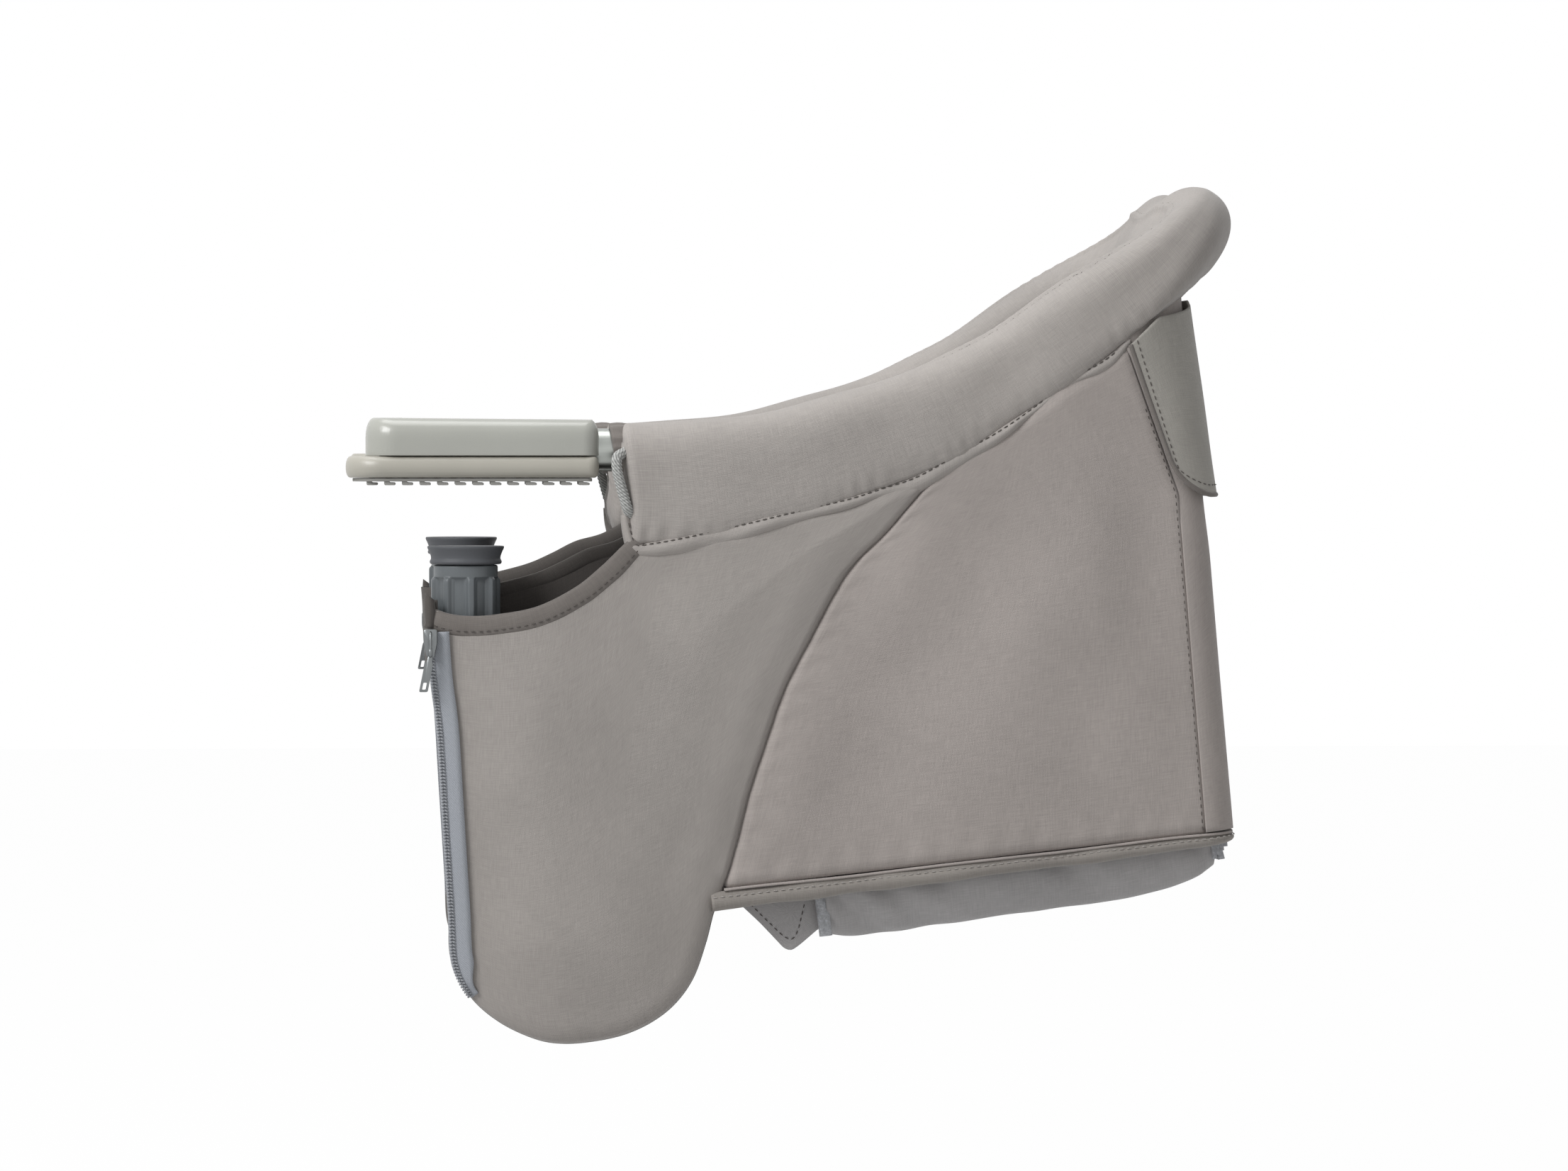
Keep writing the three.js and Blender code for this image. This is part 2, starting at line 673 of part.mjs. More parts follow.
function stadium(halfWidth, frontY, rearY) {
  const shape = new THREE.Shape();
  shape.moveTo(ARM_X - halfWidth, rearY);
  shape.lineTo(ARM_X - halfWidth, frontY + halfWidth);
  shape.absarc(ARM_X, frontY + halfWidth, halfWidth, Math.PI, 2 * Math.PI, false);
  shape.lineTo(ARM_X + halfWidth, rearY);
  shape.closePath();
  return shape;
}

function foot() {
  const halfWidth = FOOT_WIDTH / 2 - FOOT_BEVEL;
  const outline = stadium(halfWidth, FOOT_FRONT_Y + FOOT_BEVEL, HOUSING_REAR_Y - FOOT_BEVEL);
  const body = new THREE.ExtrudeGeometry(outline, {
    depth: FOOT_TOP_Z - TREAD_TOP_Z - 2 * FOOT_BEVEL,
    bevelThickness: FOOT_BEVEL,
    bevelSize: FOOT_BEVEL,
    bevelSegments: 1,
    curveSegments: 6,
  });
  return cut(welded(body.translate(0, 0, TREAD_TOP_Z + FOOT_BEVEL)), armTubeCutter);
}
addPair(chair, 'arm_foot', foot(), FOOT_GREY);

function tread() {
  const halfWidth = FOOT_WIDTH / 2 - TREAD_INSET;
  const front = FOOT_FRONT_Y + TREAD_INSET;
  const rear = HOUSING_REAR_Y - TREAD_INSET;
  const padTop = TREAD_TOP_Z - GAP;
  const pad = uprightPlate(stadium(halfWidth, front, rear), padTop - TREAD_BASE, padTop);
  const lugCount = Math.floor((rear - front - halfWidth) / LUG_PITCH) + 1;
  const lugs = Array.from({ length: lugCount }, (_, i) => {
    const lugRear = rear - LUG_INSET - i * LUG_PITCH;
    const lugTop = padTop - TREAD_BASE + LUG_ROOT;
    const lugHalf = halfWidth - LUG_INSET;
    return box(ARM_X - lugHalf, ARM_X + lugHalf, lugRear - LUG_LENGTH, lugRear, 0, lugTop);
  });
  return join(pad, ...lugs);
}
addPair(chair, 'arm_tread', tread(), TREAD_RUBBER);

// Clamp arm

const cupBottom = CUP_TOP_Z - CUP_HEIGHT;
const knobTop = cupBottom - GAP;
const knobBottom = knobTop - KNOB_LENGTH;
const flangeTop = knobBottom - KNOB_FLANGE_GAP;
const flangeBottom = flangeTop - END_FLANGE_HEIGHT;
const legTop = flangeBottom - GAP;
const legBreak = legTop - CLAMP_LEG_STRAIGHT;
const legFootY = CLAMP_Y + CLAMP_LEG_LEAN;
const bendR = (SWIVEL_Y - legFootY) / 2;
const bendY = SWIVEL_Y - bendR;

function clampArmLine() {
  const line = [vec(ARM_X, SWIVEL_Y, ARM_TOP_Z)];
  for (let i = 0; i <= BEND_STEPS; i += 1) {
    const turn = (i / BEND_STEPS) * Math.PI;
    line.push(vec(ARM_X, bendY + bendR * Math.cos(turn), BEND_Z - bendR * Math.sin(turn)));
  }
  line.push(vec(ARM_X, CLAMP_Y, legBreak), vec(ARM_X, CLAMP_Y, legTop));
  return line;
}

// Rings square to a line that stays in a plane of constant X.
function uprightTubeRings(line, radius, sides) {
  return line.map((point, i) => {
    const before = line[Math.max(i - 1, 0)];
    const after = line[Math.min(i + 1, line.length - 1)];
    const along = after.clone().sub(before).normalize();
    const side = vec(1, 0, 0);
    return circleRing({ point, side, up: side.clone().cross(along) }, radius, sides);
  });
}

const clampLine = clampArmLine();
const clampTube = hollowLoft(
  uprightTubeRings(clampLine, CLAMP_TUBE_D / 2, TUBE_SIDES),
  uprightTubeRings(clampLine, CLAMP_TUBE_D / 2 - CLAMP_TUBE_WALL, TUBE_SIDES),
);

// A quarter-turn slot for the stop pin, on the arm's front and inner side.
function stopSlot() {
  const spare = (STOP_PIN_D / 2 + SLOT_SPARE) / (CLAMP_TUBE_D / 2 - CLAMP_TUBE_WALL);
  const from = -Math.PI / 2 - spare;
  const to = -Math.PI / 2 + SWIVEL_ANGLE + spare;
  const shape = new THREE.Shape();
  shape.absarc(ARM_X, SWIVEL_Y, CLAMP_TUBE_D / 2 + CUT_OVERRUN, from, to, false);
  shape.absarc(ARM_X, SWIVEL_Y, CLAMP_TUBE_D / 2 - CLAMP_TUBE_WALL - CUT_OVERRUN, to, from, true);
  shape.closePath();
  return uprightPlate(shape, STOP_PIN_Z - STOP_PIN_D / 2 - GAP, STOP_PIN_Z + STOP_PIN_D / 2 + GAP);
}
addPair(chair, 'clamp_arm', cut(clampTube, stopSlot()), STEEL);

const collarTop = SOCKET_BOTTOM_Z - GAP;
addPair(chair, 'arm_collar', turned([
  [CLAMP_TUBE_D / 2 + GAP, collarTop - COLLAR_HEIGHT],
  [COLLAR_D / 2 - COLLAR_BEVEL, collarTop - COLLAR_HEIGHT],
  [COLLAR_D / 2, collarTop - COLLAR_HEIGHT + COLLAR_BEVEL],
  [COLLAR_D / 2, collarTop - COLLAR_BEVEL],
  [COLLAR_D / 2 - COLLAR_BEVEL, collarTop],
  [CLAMP_TUBE_D / 2 + GAP, collarTop],
], ARM_X, SWIVEL_Y), BUCKLE_PLASTIC);

// Clamp screw, knob and cup

const stemBottom = legTop - END_STEM;
const stemR = CLAMP_TUBE_D / 2 - CLAMP_TUBE_WALL - 2 * GAP;
const screwBoreR = SCREW_D / 2 + GAP;
addPair(chair, 'arm_end', turned([
  [screwBoreR, stemBottom],
  [stemR, stemBottom],
  [stemR, flangeBottom],
  [END_FLANGE_D / 2, flangeBottom],
  [END_FLANGE_D / 2, flangeTop - END_BEVEL],
  [END_FLANGE_D / 2 - END_BEVEL, flangeTop],
  [screwBoreR, flangeTop],
], ARM_X, CLAMP_Y), KNOB_BLUE_GREY);

const knobBoreTop = knobTop - KNOB_CROWN;
const screwTop = knobBoreTop - SCREW_HEADROOM;
addPair(chair, 'clamp_screw', turned([
  [0, stemBottom + SCREW_TIP],
  [SCREW_D / 2, stemBottom + SCREW_TIP],
  [SCREW_D / 2, screwTop - SCREW_TIP],
  [SCREW_D / 2 - SCREW_TIP, screwTop],
  [0, screwTop],
], ARM_X, CLAMP_Y), DARK_STEEL);

function knobOutline() {
  const shape = new THREE.Shape();
  const stepAngle = (2 * Math.PI) / KNOB_RIBS;
  const ribFoot = KNOB_RIB_HALF_ANGLE * KNOB_RIB_FOOT;
  for (let i = 0; i < KNOB_RIBS; i += 1) {
    const angle = (i + KNOB_FIRST_RIB) * stepAngle;
    const corners = [
      [KNOB_BODY_R, angle - ribFoot],
      [KNOB_RIB_R, angle - KNOB_RIB_HALF_ANGLE],
      [KNOB_RIB_R, angle + KNOB_RIB_HALF_ANGLE],
      [KNOB_BODY_R, angle + ribFoot],
      [KNOB_BODY_R, angle + stepAngle / 2],
    ];
    corners.forEach(([radius, turn], j) => {
      const [x, y] = [ARM_X + radius * Math.cos(turn), CLAMP_Y + radius * Math.sin(turn)];
      if (i + j === 0) shape.moveTo(x, y);
      else shape.lineTo(x, y);
    });
  }
  shape.closePath();
  return shape;
}
const clampAt = (z) => vec(ARM_X, CLAMP_Y, z);
const knobBoss = bar(clampAt(knobTop - CUT_OVERRUN), clampAt(knobTop + KNOB_BOSS_HEIGHT), KNOB_BOSS_R);
const knobBore = bar(clampAt(knobBottom - CUT_OVERRUN), clampAt(knobBoreTop), SCREW_D / 2 + GAP);
const knob = cut(join(uprightPlate(knobOutline(), knobBottom, knobTop), knobBoss), knobBore);
addPair(chair, 'clamp_knob', knob, KNOB_BLUE_GREY);

const cupRecessTop = knobTop + KNOB_BOSS_HEIGHT + GAP;
addPair(chair, 'clamp_cup', turned([
  [0, cupRecessTop],
  [KNOB_BOSS_R + GAP, cupRecessTop],
  [KNOB_BOSS_R + GAP, cupBottom],
  [CUP_BEAD_R - CUP_LIP, cupBottom],
  [CUP_BEAD_R, cupBottom + CUP_BEAD_HEIGHT / 2],
  [CUP_WAIST_R, cupBottom + CUP_BEAD_HEIGHT],
  [CUP_WAIST_R, cupBottom + CUP_WAIST_HEIGHT],
  [CUP_TOP_R, CUP_TOP_Z - CUP_LIP],
  [CUP_TOP_R, CUP_TOP_Z],
  [0, CUP_TOP_Z],
], ARM_X, CLAMP_Y), CUP_RUBBER);

// Cover: walls that end against the rim

const backY = (z) => BACK_LOW_Y - BACK_LEAN * (z - BACK_LOW_Z);
const cornerR = (z) => THREE.MathUtils.lerp(
  BACK_CORNER_LOW_R,
  BACK_CORNER_TOP_R,
  THREE.MathUtils.clamp((z - BACK_CORNER_LOW_Z) / (BACK_CORNER_TOP_Z - BACK_CORNER_LOW_Z), 0, 1),
);
const sideSeamY = (z) => backY(z) - cornerR(z);
const seatSlope = (SEAT_REAR[1] - SEAT_FRONT[1]) / (SEAT_REAR[0] - SEAT_FRONT[0]);
const baseZ = (y) => SEAT_FRONT[1] + (y - SEAT_FRONT[0]) * seatSlope;

// Middle line of the rim on the left, seen from the side, and its height at one place.
const rimMiddle = rimStations.map(rimCentre).map((p) => [p.y, p.z]);

function rimMiddleZ(y) {
  const after = Math.max(1, rimMiddle.findIndex(([ry]) => ry > y));
  const [[y0, z0], [y1, z1]] = [rimMiddle[after - 1], rimMiddle[after]];
  return z0 + ((y - y0) / (y1 - y0)) * (z1 - z0);
}

// A run of the rim's middle line between two places.
const rimRun = (from, to) => [
  [from, rimMiddleZ(from)],
  ...rimMiddle.filter(([y]) => y > from + CUT_OVERRUN && y < to - CUT_OVERRUN),
  [to, rimMiddleZ(to)],
];

function outlineOf(...runs) {
  return new THREE.Shape(planar(runs.flat()));
}
const list = (points) => points.map((p) => [p.x, p.y]);
const rimTool = rimCutter(CUT_GAP);
const seamLine = list(spline(SEAM_POINTS, SEAM_STEPS));

function sidePanel() {
  const rearTop = sideSeamY(BACK_CORNER_TOP_Z) - GAP;
  const outline = outlineOf(
    seamLine.map(([y, z]) => [y + GAP, z]),
    rimRun(SEAM_TOP_Y, rearTop),
    [[rearTop, BACK_CORNER_TOP_Z], [sideSeamY(BACK_CORNER_LOW_Z) - GAP, BACK_CORNER_LOW_Z]],
    [[sideSeamY(BACK_LOW_Z) - GAP, baseZ(sideSeamY(BACK_LOW_Z))]],
  );
  return cut(sidePlate(outline, COVER_X - CLOTH, COVER_X), rimTool);
}
addPair(chair, 'side_panel', sidePanel(), SIDE_CLOTH);

const padRearY = (z) => backY(z) - BACK_PAD_SET_IN;
const padFrontY = (z) => padRearY(z) - BACK_PAD;

function lining() {
  const frontY = SEAT_FRONT[0];
  const cornerZ = BACK_CORNER_TOP_Z - LINING_CORNER;
  const outline = outlineOf(
    [[frontY, baseZ(frontY)]],
    rimRun(frontY, padFrontY(BACK_CORNER_TOP_Z) - LINING_CORNER),
    [[padFrontY(cornerZ) - GAP, cornerZ]],
    [[padFrontY(BACK_LOW_Z) - GAP, baseZ(padFrontY(BACK_LOW_Z))]],
  );
  return cut(sidePlate(outline, LINING_X, LINING_X + CLOTH), rimTool);
}
addPair(chair, 'lining', lining(), LINING_CLOTH);

// Stations round the back at one height: round the left corner, then on to the mid plane.
function backLine(z, offset) {
  const radius = cornerR(z);
  const line = [];
  for (let i = 0; i <= CORNER_STEPS; i += 1) {
    const turn = (i / CORNER_STEPS) * (Math.PI / 2);
    line.push([
      COVER_X - radius + (radius + offset) * Math.cos(turn),
      backY(z) - radius + (radius + offset) * Math.sin(turn),
    ]);
  }
  line.push([0, backY(z) + offset]);
  return line;
}

// A curved wall of cloth round the back between two heights given for each station.
function backWall(bottoms, tops, offset, thickness) {
  const half = tops.map((top, i) => {
    const place = (z, out) => {
      const [x, y] = backLine(z, out)[i];
      return vec(x, y, z);
    };
    const low = Math.max(BACK_CORNER_LOW_Z, (bottoms[i] + BACK_CORNER_TOP_Z) / 2);
    const heights = [bottoms[i], low, BACK_CORNER_TOP_Z, top];
    const inner = heights.map((z) => place(z, offset));
    const outer = heights.map((z) => place(z, offset + thickness));
    return [...inner, ...outer.reverse()];
  });
  return loft(bothHalves(half));
}

// Height of the hoop's middle at one place along its slope, on the back.
const hoopMiddleZ = (y) => HOOP_BACK_Z - RIM_DROPS[RIM_DROPS.length - 1]
  + (y - HOOP_BACK_Y) * Math.tan(HOOP_SLOPE);

function backPanel() {
  const tops = backLine(BACK_CORNER_TOP_Z, -CLOTH).map(([, y]) => hoopMiddleZ(y));
  const bottoms = backLine(BACK_LOW_Z, -CLOTH).map(([, y]) => baseZ(y));
  return cut(backWall(bottoms, tops, -CLOTH, CLOTH), rimTool);
}
add(chair, 'back_panel', backPanel(), SIDE_CLOTH);

function backLining() {
  const topZ = BACK_CORNER_TOP_Z + BACK_PAD_RISE;
  const lowZ = baseZ(padRearY(BACK_LOW_Z));
  const outline = outlineOf([
    [padFrontY(lowZ), lowZ],
    [padRearY(lowZ), lowZ],
    [padRearY(topZ), topZ],
    [padFrontY(topZ), topZ],
  ]);
  const halfWidth = LINING_X - GAP;
  return cut(sidePlate(outline, -halfWidth, halfWidth), rimTool);
}
add(chair, 'back_lining', backLining(), LINING_CLOTH);

function backFlap() {
  const stations = backLine(BACK_CORNER_TOP_Z, FLAP_OFFSET);
  const tops = stations.map(([, y]) => hoopMiddleZ(y));
  const bottoms = stations.map((_, i) => FLAP_BOTTOM_Z + (FLAP_CORNER_RISES[i] ?? 0));
  const sheet = backWall(bottoms, tops, FLAP_OFFSET, FLAP_THICK);
  return cut(sheet, rimCutter(FLAP_RIM_GAP));
}
add(chair, 'back_flap', backFlap(), FLAP_CLOTH);

// Leg pockets

// Middle of the clamp leg at one height, and the pocket's front edge before it.
const legY = (z) => THREE.MathUtils.mapLinear(z, BEND_Z, legBreak, legFootY, CLAMP_Y);
const legFront = ([z, ease]) => [
  Math.max(legY(z), CLAMP_Y) - CLAMP_TUBE_D / 2 - CLOTH - ease,
  z,
];
const zipLower = [[BEND_Z + ZIP_LOWER_RISE, ZIP_EASE], [BEND_Z, ZIP_EASE]].map(legFront);
const zipUpper = ZIP_UPPER.map(legFront);
const pocketR = bendR + CLAMP_TUBE_D / 2 + CLOTH + POCKET_EASE;
const [arcFrom, arcTo] = POCKET_ARC.map(THREE.MathUtils.degToRad);
const pocketBottom = Array.from({ length: POCKET_ARC_STEPS + 1 }, (_, i) => {
  const turn = THREE.MathUtils.lerp(arcFrom, arcTo, i / POCKET_ARC_STEPS);
  return [bendY + pocketR * Math.cos(turn), BEND_Z + pocketR * Math.sin(turn)];
});
const zipLine = [...zipUpper, ...zipLower, pocketBottom[0], pocketBottom[1]];
const gussetY = CLAMP_Y - KNOB_RIB_R - CLOTH - KNOB_EASE;
const gussetFront = [[gussetY, INNER_HEM_FRONT_Z], [gussetY, ZIP_TOP_Z], [gussetY, knobBottom]];
const lowerEdge = [...zipLower, ...pocketBottom, POCKET_END];

function pocketOuter() {
  const outline = outlineOf(
    list(spline([[zipUpper[0][0], OUTER_HEM_FRONT_Z], ...OUTER_HEM], HEM_STEPS)),
    OUTER_HEM_RISE,
    rimRun(OUTER_HEM_RISE[1][0] + RIM_END_ROUND, SEAM_TOP_Y - GAP),
    seamLine.slice().reverse().map(([y, z]) => [y - GAP, z]),
    list(spline([...zipUpper, ...lowerEdge], EDGE_STEPS)).reverse(),
  );
  return cut(sidePlate(outline, COVER_X - CLOTH, COVER_X), rimTool);
}
addPair(chair, 'pocket_outer', pocketOuter(), POCKET_CLOTH);

// Inner wall with the gusset that closes the pocket's front and bottom.
function pocketInner() {
  const edge = list(spline([...gussetFront, zipUpper[zipUpper.length - 1], ...lowerEdge], EDGE_STEPS));
  const x0 = LINING_X - POCKET_INNER_SET_IN;
  const x1 = COVER_X - CLOTH - GAP;
  const band = edge.map(([y, z], i) => {
    const [by, bz] = edge[Math.max(i - 1, 0)];
    const [ay, az] = edge[Math.min(i + 1, edge.length - 1)];
    const length = Math.hypot(ay - by, az - bz);
    const inY = (-(az - bz) / length) * CLOTH;
    const inZ = ((ay - by) / length) * CLOTH;
    return [vec(x0, y, z), vec(x1, y, z), vec(x1, y + inY, z + inZ), vec(x0, y + inY, z + inZ)];
  });
  const outline = outlineOf(
    list(spline([[gussetY + CLOTH / 2, INNER_HEM_FRONT_Z], ...INNER_HEM], HEM_STEPS)),
    INNER_HEM_RISE,
    [[SEAT_FRONT[0] - GAP, SEAT_FRONT[1]]],
    edge.slice().reverse().map(([y, z]) => [y + WELD_NUDGE, z + WELD_NUDGE]),
  );
  const wall = sidePlate(outline, x0, x0 + CLOTH);
  return cut(join(loft(band), wall), rimTool);
}
addPair(chair, 'pocket_inner', pocketInner(), LINING_CLOTH);

// Zip: tape on the outer wall's front edge, slider and pull

const tapeX = COVER_X + GAP;

function zipTape() {
  const line = list(spline(zipLine, ZIP_STEPS));
  const rings = line.map(([y, z], i) => {
    const [by, bz] = line[Math.max(i - 1, 0)];
    const [ay, az] = line[Math.min(i + 1, line.length - 1)];
    const length = Math.hypot(ay - by, az - bz);
    const inY = (-(az - bz) / length) * ZIP_TAPE_WIDTH;
    const inZ = ((ay - by) / length) * ZIP_TAPE_WIDTH;
    return [
      vec(tapeX, y, z),
      vec(tapeX + ZIP_TAPE_THICK, y, z),
      vec(tapeX + ZIP_TAPE_THICK, y + inY, z + inZ),
      vec(tapeX, y + inY, z + inZ),
    ];
  });
  return loft(rings);
}
addPair(chair, 'zip_tape', zipTape(), ZIP_GREY);

const sliderX = tapeX + ZIP_TAPE_THICK + GAP;
const sliderY = zipUpper[0][0] + SLIDER_WIDTH / 2 - SLIDER_OVERHANG;
const sliderFront = sliderX + SLIDER_THICK;
const pullPinX = sliderFront + PULL_BARREL_R + GAP;
const pullPinZ = SLIDER_Z - SLIDER_LENGTH / 4;
const barrelHalf = PULL_WIDTH / 2 - PULL_NECK_INSET;

function slider() {
  const half = SLIDER_WIDTH / 2;
  const [low, top] = [SLIDER_Z - SLIDER_LENGTH / 2, SLIDER_Z + SLIDER_LENGTH / 2];
  const shape = new THREE.Shape(planar([
    [sliderY - half, top],
    [sliderY - half, SLIDER_Z],
    [sliderY - half + SLIDER_TAPER, low],
    [sliderY + half - SLIDER_TAPER, low],
    [sliderY + half, SLIDER_Z],
    [sliderY + half, top],
  ]));
  const body = sidePlate(shape, sliderX, sliderFront);
  const lugReach = pullPinX + PULL_PIN_R + SLIDER_LUG_EDGE;
  const lugs = [-1, 1].map((way) => {
    const near = sliderY + way * (barrelHalf + GAP);
    const far = near + (way * SLIDER_LUG) / 2;
    const [y0, y1] = [Math.min(near, far), Math.max(near, far)];
    return box(sliderFront - CUT_OVERRUN, lugReach, y0, y1, pullPinZ - SLIDER_LUG, pullPinZ + SLIDER_LUG);
  });
  const pin = bar(
    vec(pullPinX, sliderY - PULL_WIDTH / 2, pullPinZ),
    vec(pullPinX, sliderY + PULL_WIDTH / 2, pullPinZ),
    PULL_PIN_R,
    8,
  );
  return join(body, ...lugs, pin);
}
addPair(chair, 'zip_slider', slider(), ZIP_METAL);

function pull() {
  const barrelEnd = (way) => vec(pullPinX, sliderY + way * barrelHalf, pullPinZ);
  const neckBottom = pullPinZ - PULL_NECK;
  const [x0, x1] = [pullPinX - PULL_THICK / 2, pullPinX + PULL_THICK / 2];
  const half = PULL_WIDTH / 2;
  const neck = box(x0, x1, sliderY - barrelHalf, sliderY + barrelHalf, neckBottom - CUT_OVERRUN, pullPinZ);
  const blade = box(x0, x1, sliderY - half, sliderY + half, pullPinZ - PULL_LENGTH, neckBottom);
  const bore = bar(
    vec(pullPinX, sliderY - PULL_WIDTH, pullPinZ),
    vec(pullPinX, sliderY + PULL_WIDTH, pullPinZ),
    PULL_PIN_R + GAP,
    8,
  );
  return cut(join(bar(barrelEnd(-1), barrelEnd(1), PULL_BARREL_R, 12), neck, blade), bore);
}
addPair(chair, 'zip_pull', pull(), ZIP_METAL);

// Seat, in its own frame: Y runs back along the base line, Z is square to it

const seatLength = Math.hypot(SEAT_REAR[0] - SEAT_FRONT[0], SEAT_REAR[1] - SEAT_FRONT[1]);
seat.position.set(0, SEAT_FRONT[0], SEAT_FRONT[1]);
seat.rotation.x = Math.atan(seatSlope);

function seatOutline(halfWidth, front, rear, radius) {
  const shape = new THREE.Shape();
  shape.moveTo(-halfWidth, front);
  shape.lineTo(halfWidth, front);
  shape.lineTo(halfWidth, rear - radius);
  shape.absarc(halfWidth - radius, rear - radius, radius, 0, Math.PI / 2, false);
  shape.lineTo(-halfWidth + radius, rear);
  shape.absarc(-halfWidth + radius, rear - radius, radius, Math.PI / 2, Math.PI, false);
  shape.closePath();
  return shape;
}

const padLine = seatLength - BACK_PAD_SET_IN - BACK_PAD;
const clothTop = -GAP;
const clothBottom = clothTop - BASE_CLOTH;
const hangTop = clothBottom - GAP;
const baseOutline = seatOutline(COVER_X, 0, seatLength, BACK_CORNER_LOW_R);
add(seat, 'seat_cloth', uprightPlate(baseOutline, clothBottom, clothTop), SIDE_CLOTH);

// Fat piping under the cloth's edge, down both sides and round the rear.
function piping() {
  const inset = PIPING_WIDTH / 2;
  const x = COVER_X - inset;
  const rear = seatLength - inset;
  const radius = BACK_CORNER_LOW_R - inset;
  const line = [[x, 0], [x, seatLength / 2]];
  for (let i = 0; i <= CORNER_STEPS; i += 1) {
    const turn = (i / CORNER_STEPS) * (Math.PI / 2);
    line.push([x - radius + radius * Math.cos(turn), rear - radius + radius * Math.sin(turn)]);
  }
  line.push([0, rear]);
  const rings = line.map(([px, py], i) => {
    const [bx, by] = line[Math.max(i - 1, 0)];
    const [ax, ay] = i === line.length - 1 ? [px - 1, py] : line[i + 1];
    const length = Math.hypot(ax - bx, ay - by);
    const out = vec((ay - by) / length, -(ax - bx) / length, 0);
    const height = THREE.MathUtils.lerp(PIPING_FRONT_H, PIPING_REAR_H, py / seatLength);
    return Array.from({ length: TUBE_SIDES }, (_, j) => {
      const angle = (j / TUBE_SIDES) * 2 * Math.PI;
      const centre = vec(px, py, hangTop - height / 2 + (height / 2) * Math.sin(angle));
      return centre.addScaledVector(out, inset * Math.cos(angle));
    });
  });
  return loft(bothHalves(rings));
}
add(seat, 'base_piping', piping(), SIDE_CLOTH);

const boardOutline = seatOutline(
  LINING_X - BOARD_SIDE_GAP,
  BOARD_FRONT,
  padLine - BOARD_REAR_GAP,
  BACK_CORNER_LOW_R,
);
add(seat, 'seat_board', uprightPlate(boardOutline, 0, BOARD_THICK), BOARD_GREY);

// Seat pad: crowned on top, flat below, its sides drawn in between the corners

const padRear = padLine - PAD_REAR_GAP;
const padMiddle = (PAD_FRONT + padRear) / 2;
const padHalfLength = (padRear - PAD_FRONT) / 2;
const padMaxHalf = LINING_X - PAD_SIDE_GAP;
const padBottom = BOARD_THICK + GAP;
const padAlong = (y) => (y - padMiddle) / padHalfLength;
const padHalfWidth = (y) => padMaxHalf - PAD_DRAW_IN * (1 - padAlong(y) ** 2);

function padTop(x, y) {
  const lengthways = Math.sqrt(Math.max(0, 1 - padAlong(y) ** PAD_SQUARENESS));
  const across = Math.sqrt(Math.max(0, 1 - Math.abs(x / padHalfWidth(y)) ** PAD_SQUARENESS));
  return padBottom + PAD_EDGE + (PAD_CROWN - PAD_EDGE) * lengthways * across;
}

// Places from -1 to 1, closer together towards both ends.
const evenTurn = (steps) => Array.from({ length: steps + 1 }, (_, i) => -Math.cos((i / steps) * Math.PI));

function seatPad() {
  const steps = evenTurn(PAD_STEPS_ALONG);
  const across = evenTurn(PAD_STEPS_ACROSS);
  return loft(steps.map((v) => {
    const y = padMiddle + v * padHalfLength;
    const half = padHalfWidth(y);
    const top = across.map((u) => vec(u * half, y, padTop(u * half, y)));
    return [vec(-half, y, padBottom), ...top, vec(half, y, padBottom)];
  }));
}
add(seat, 'seat_pad', seatPad(), LINING_CLOTH);

// Pouch hanging under the base, with its front flap and closing tabs

function pouch() {
  const halfMax = COVER_X - POUCH_SIDE_INSET;
  const rear = seatLength - POUCH_REAR_INSET;
  return loft(POUCH_STATIONS.map((v) => {
    const y = THREE.MathUtils.lerp(POUCH_FRONT, rear, v);
    const full = THREE.MathUtils.lerp(POUCH_DEPTH_FRONT, POUCH_DEPTH_REAR, v) + clothBottom;
    const toRear = Math.max(0, (v - POUCH_REAR_ROUND) / (1 - POUCH_REAR_ROUND));
    const toFront = Math.max(0, 1 - v / POUCH_FRONT_ROUND);
    const rearRise = Math.sqrt(1 - POUCH_REAR_RISE * toRear ** 2);
    const frontRise = 1 - POUCH_FRONT_RISE * toFront ** 2;
    const depth = full * rearRise * frontRise;
    const half = halfMax - POUCH_REAR_DRAW * toRear ** 2;
    const bottom = evenTurn(POUCH_CORNER_STEPS).map((t) => {
      const turn = ((t + 1) / 2) * (Math.PI / 2);
      return [
        half - POUCH_ROUND * (1 - Math.cos(turn)),
        -depth + depth * POUCH_CORNER_SHARE * (1 - Math.sin(turn)),
      ];
    });
    const right = bottom.map(([x, z]) => vec(x, y, hangTop + z));
    const left = bottom.slice().reverse().map(([x, z]) => vec(-x, y, hangTop + z));
    return [vec(half, y, hangTop), ...right, ...left, vec(-half, y, hangTop)];
  }));
}
add(seat, 'bottom_pouch', pouch(), FLAP_CLOTH);

function foldedFlap() {
  const halfWidth = COVER_X - POUCH_SIDE_INSET - POUCH_FLAP_INSET;
  const [tipY, tipZ] = POUCH_FLAP_TIP;
  const endY = POUCH_FRONT - POUCH_FLAP_GAP;
  const outline = outlineOf([
    [POUCH_FLAP_START, hangTop],
    [POUCH_FLAP_START + CLOTH, hangTop],
    [tipY, tipZ + CLOTH],
    [endY, POUCH_FLAP_END_Z + CLOTH],
    [endY, POUCH_FLAP_END_Z],
    [tipY, tipZ],
  ]);
  return sidePlate(outline, -halfWidth, halfWidth);
}
add(seat, 'pouch_flap', foldedFlap(), FLAP_CLOTH);

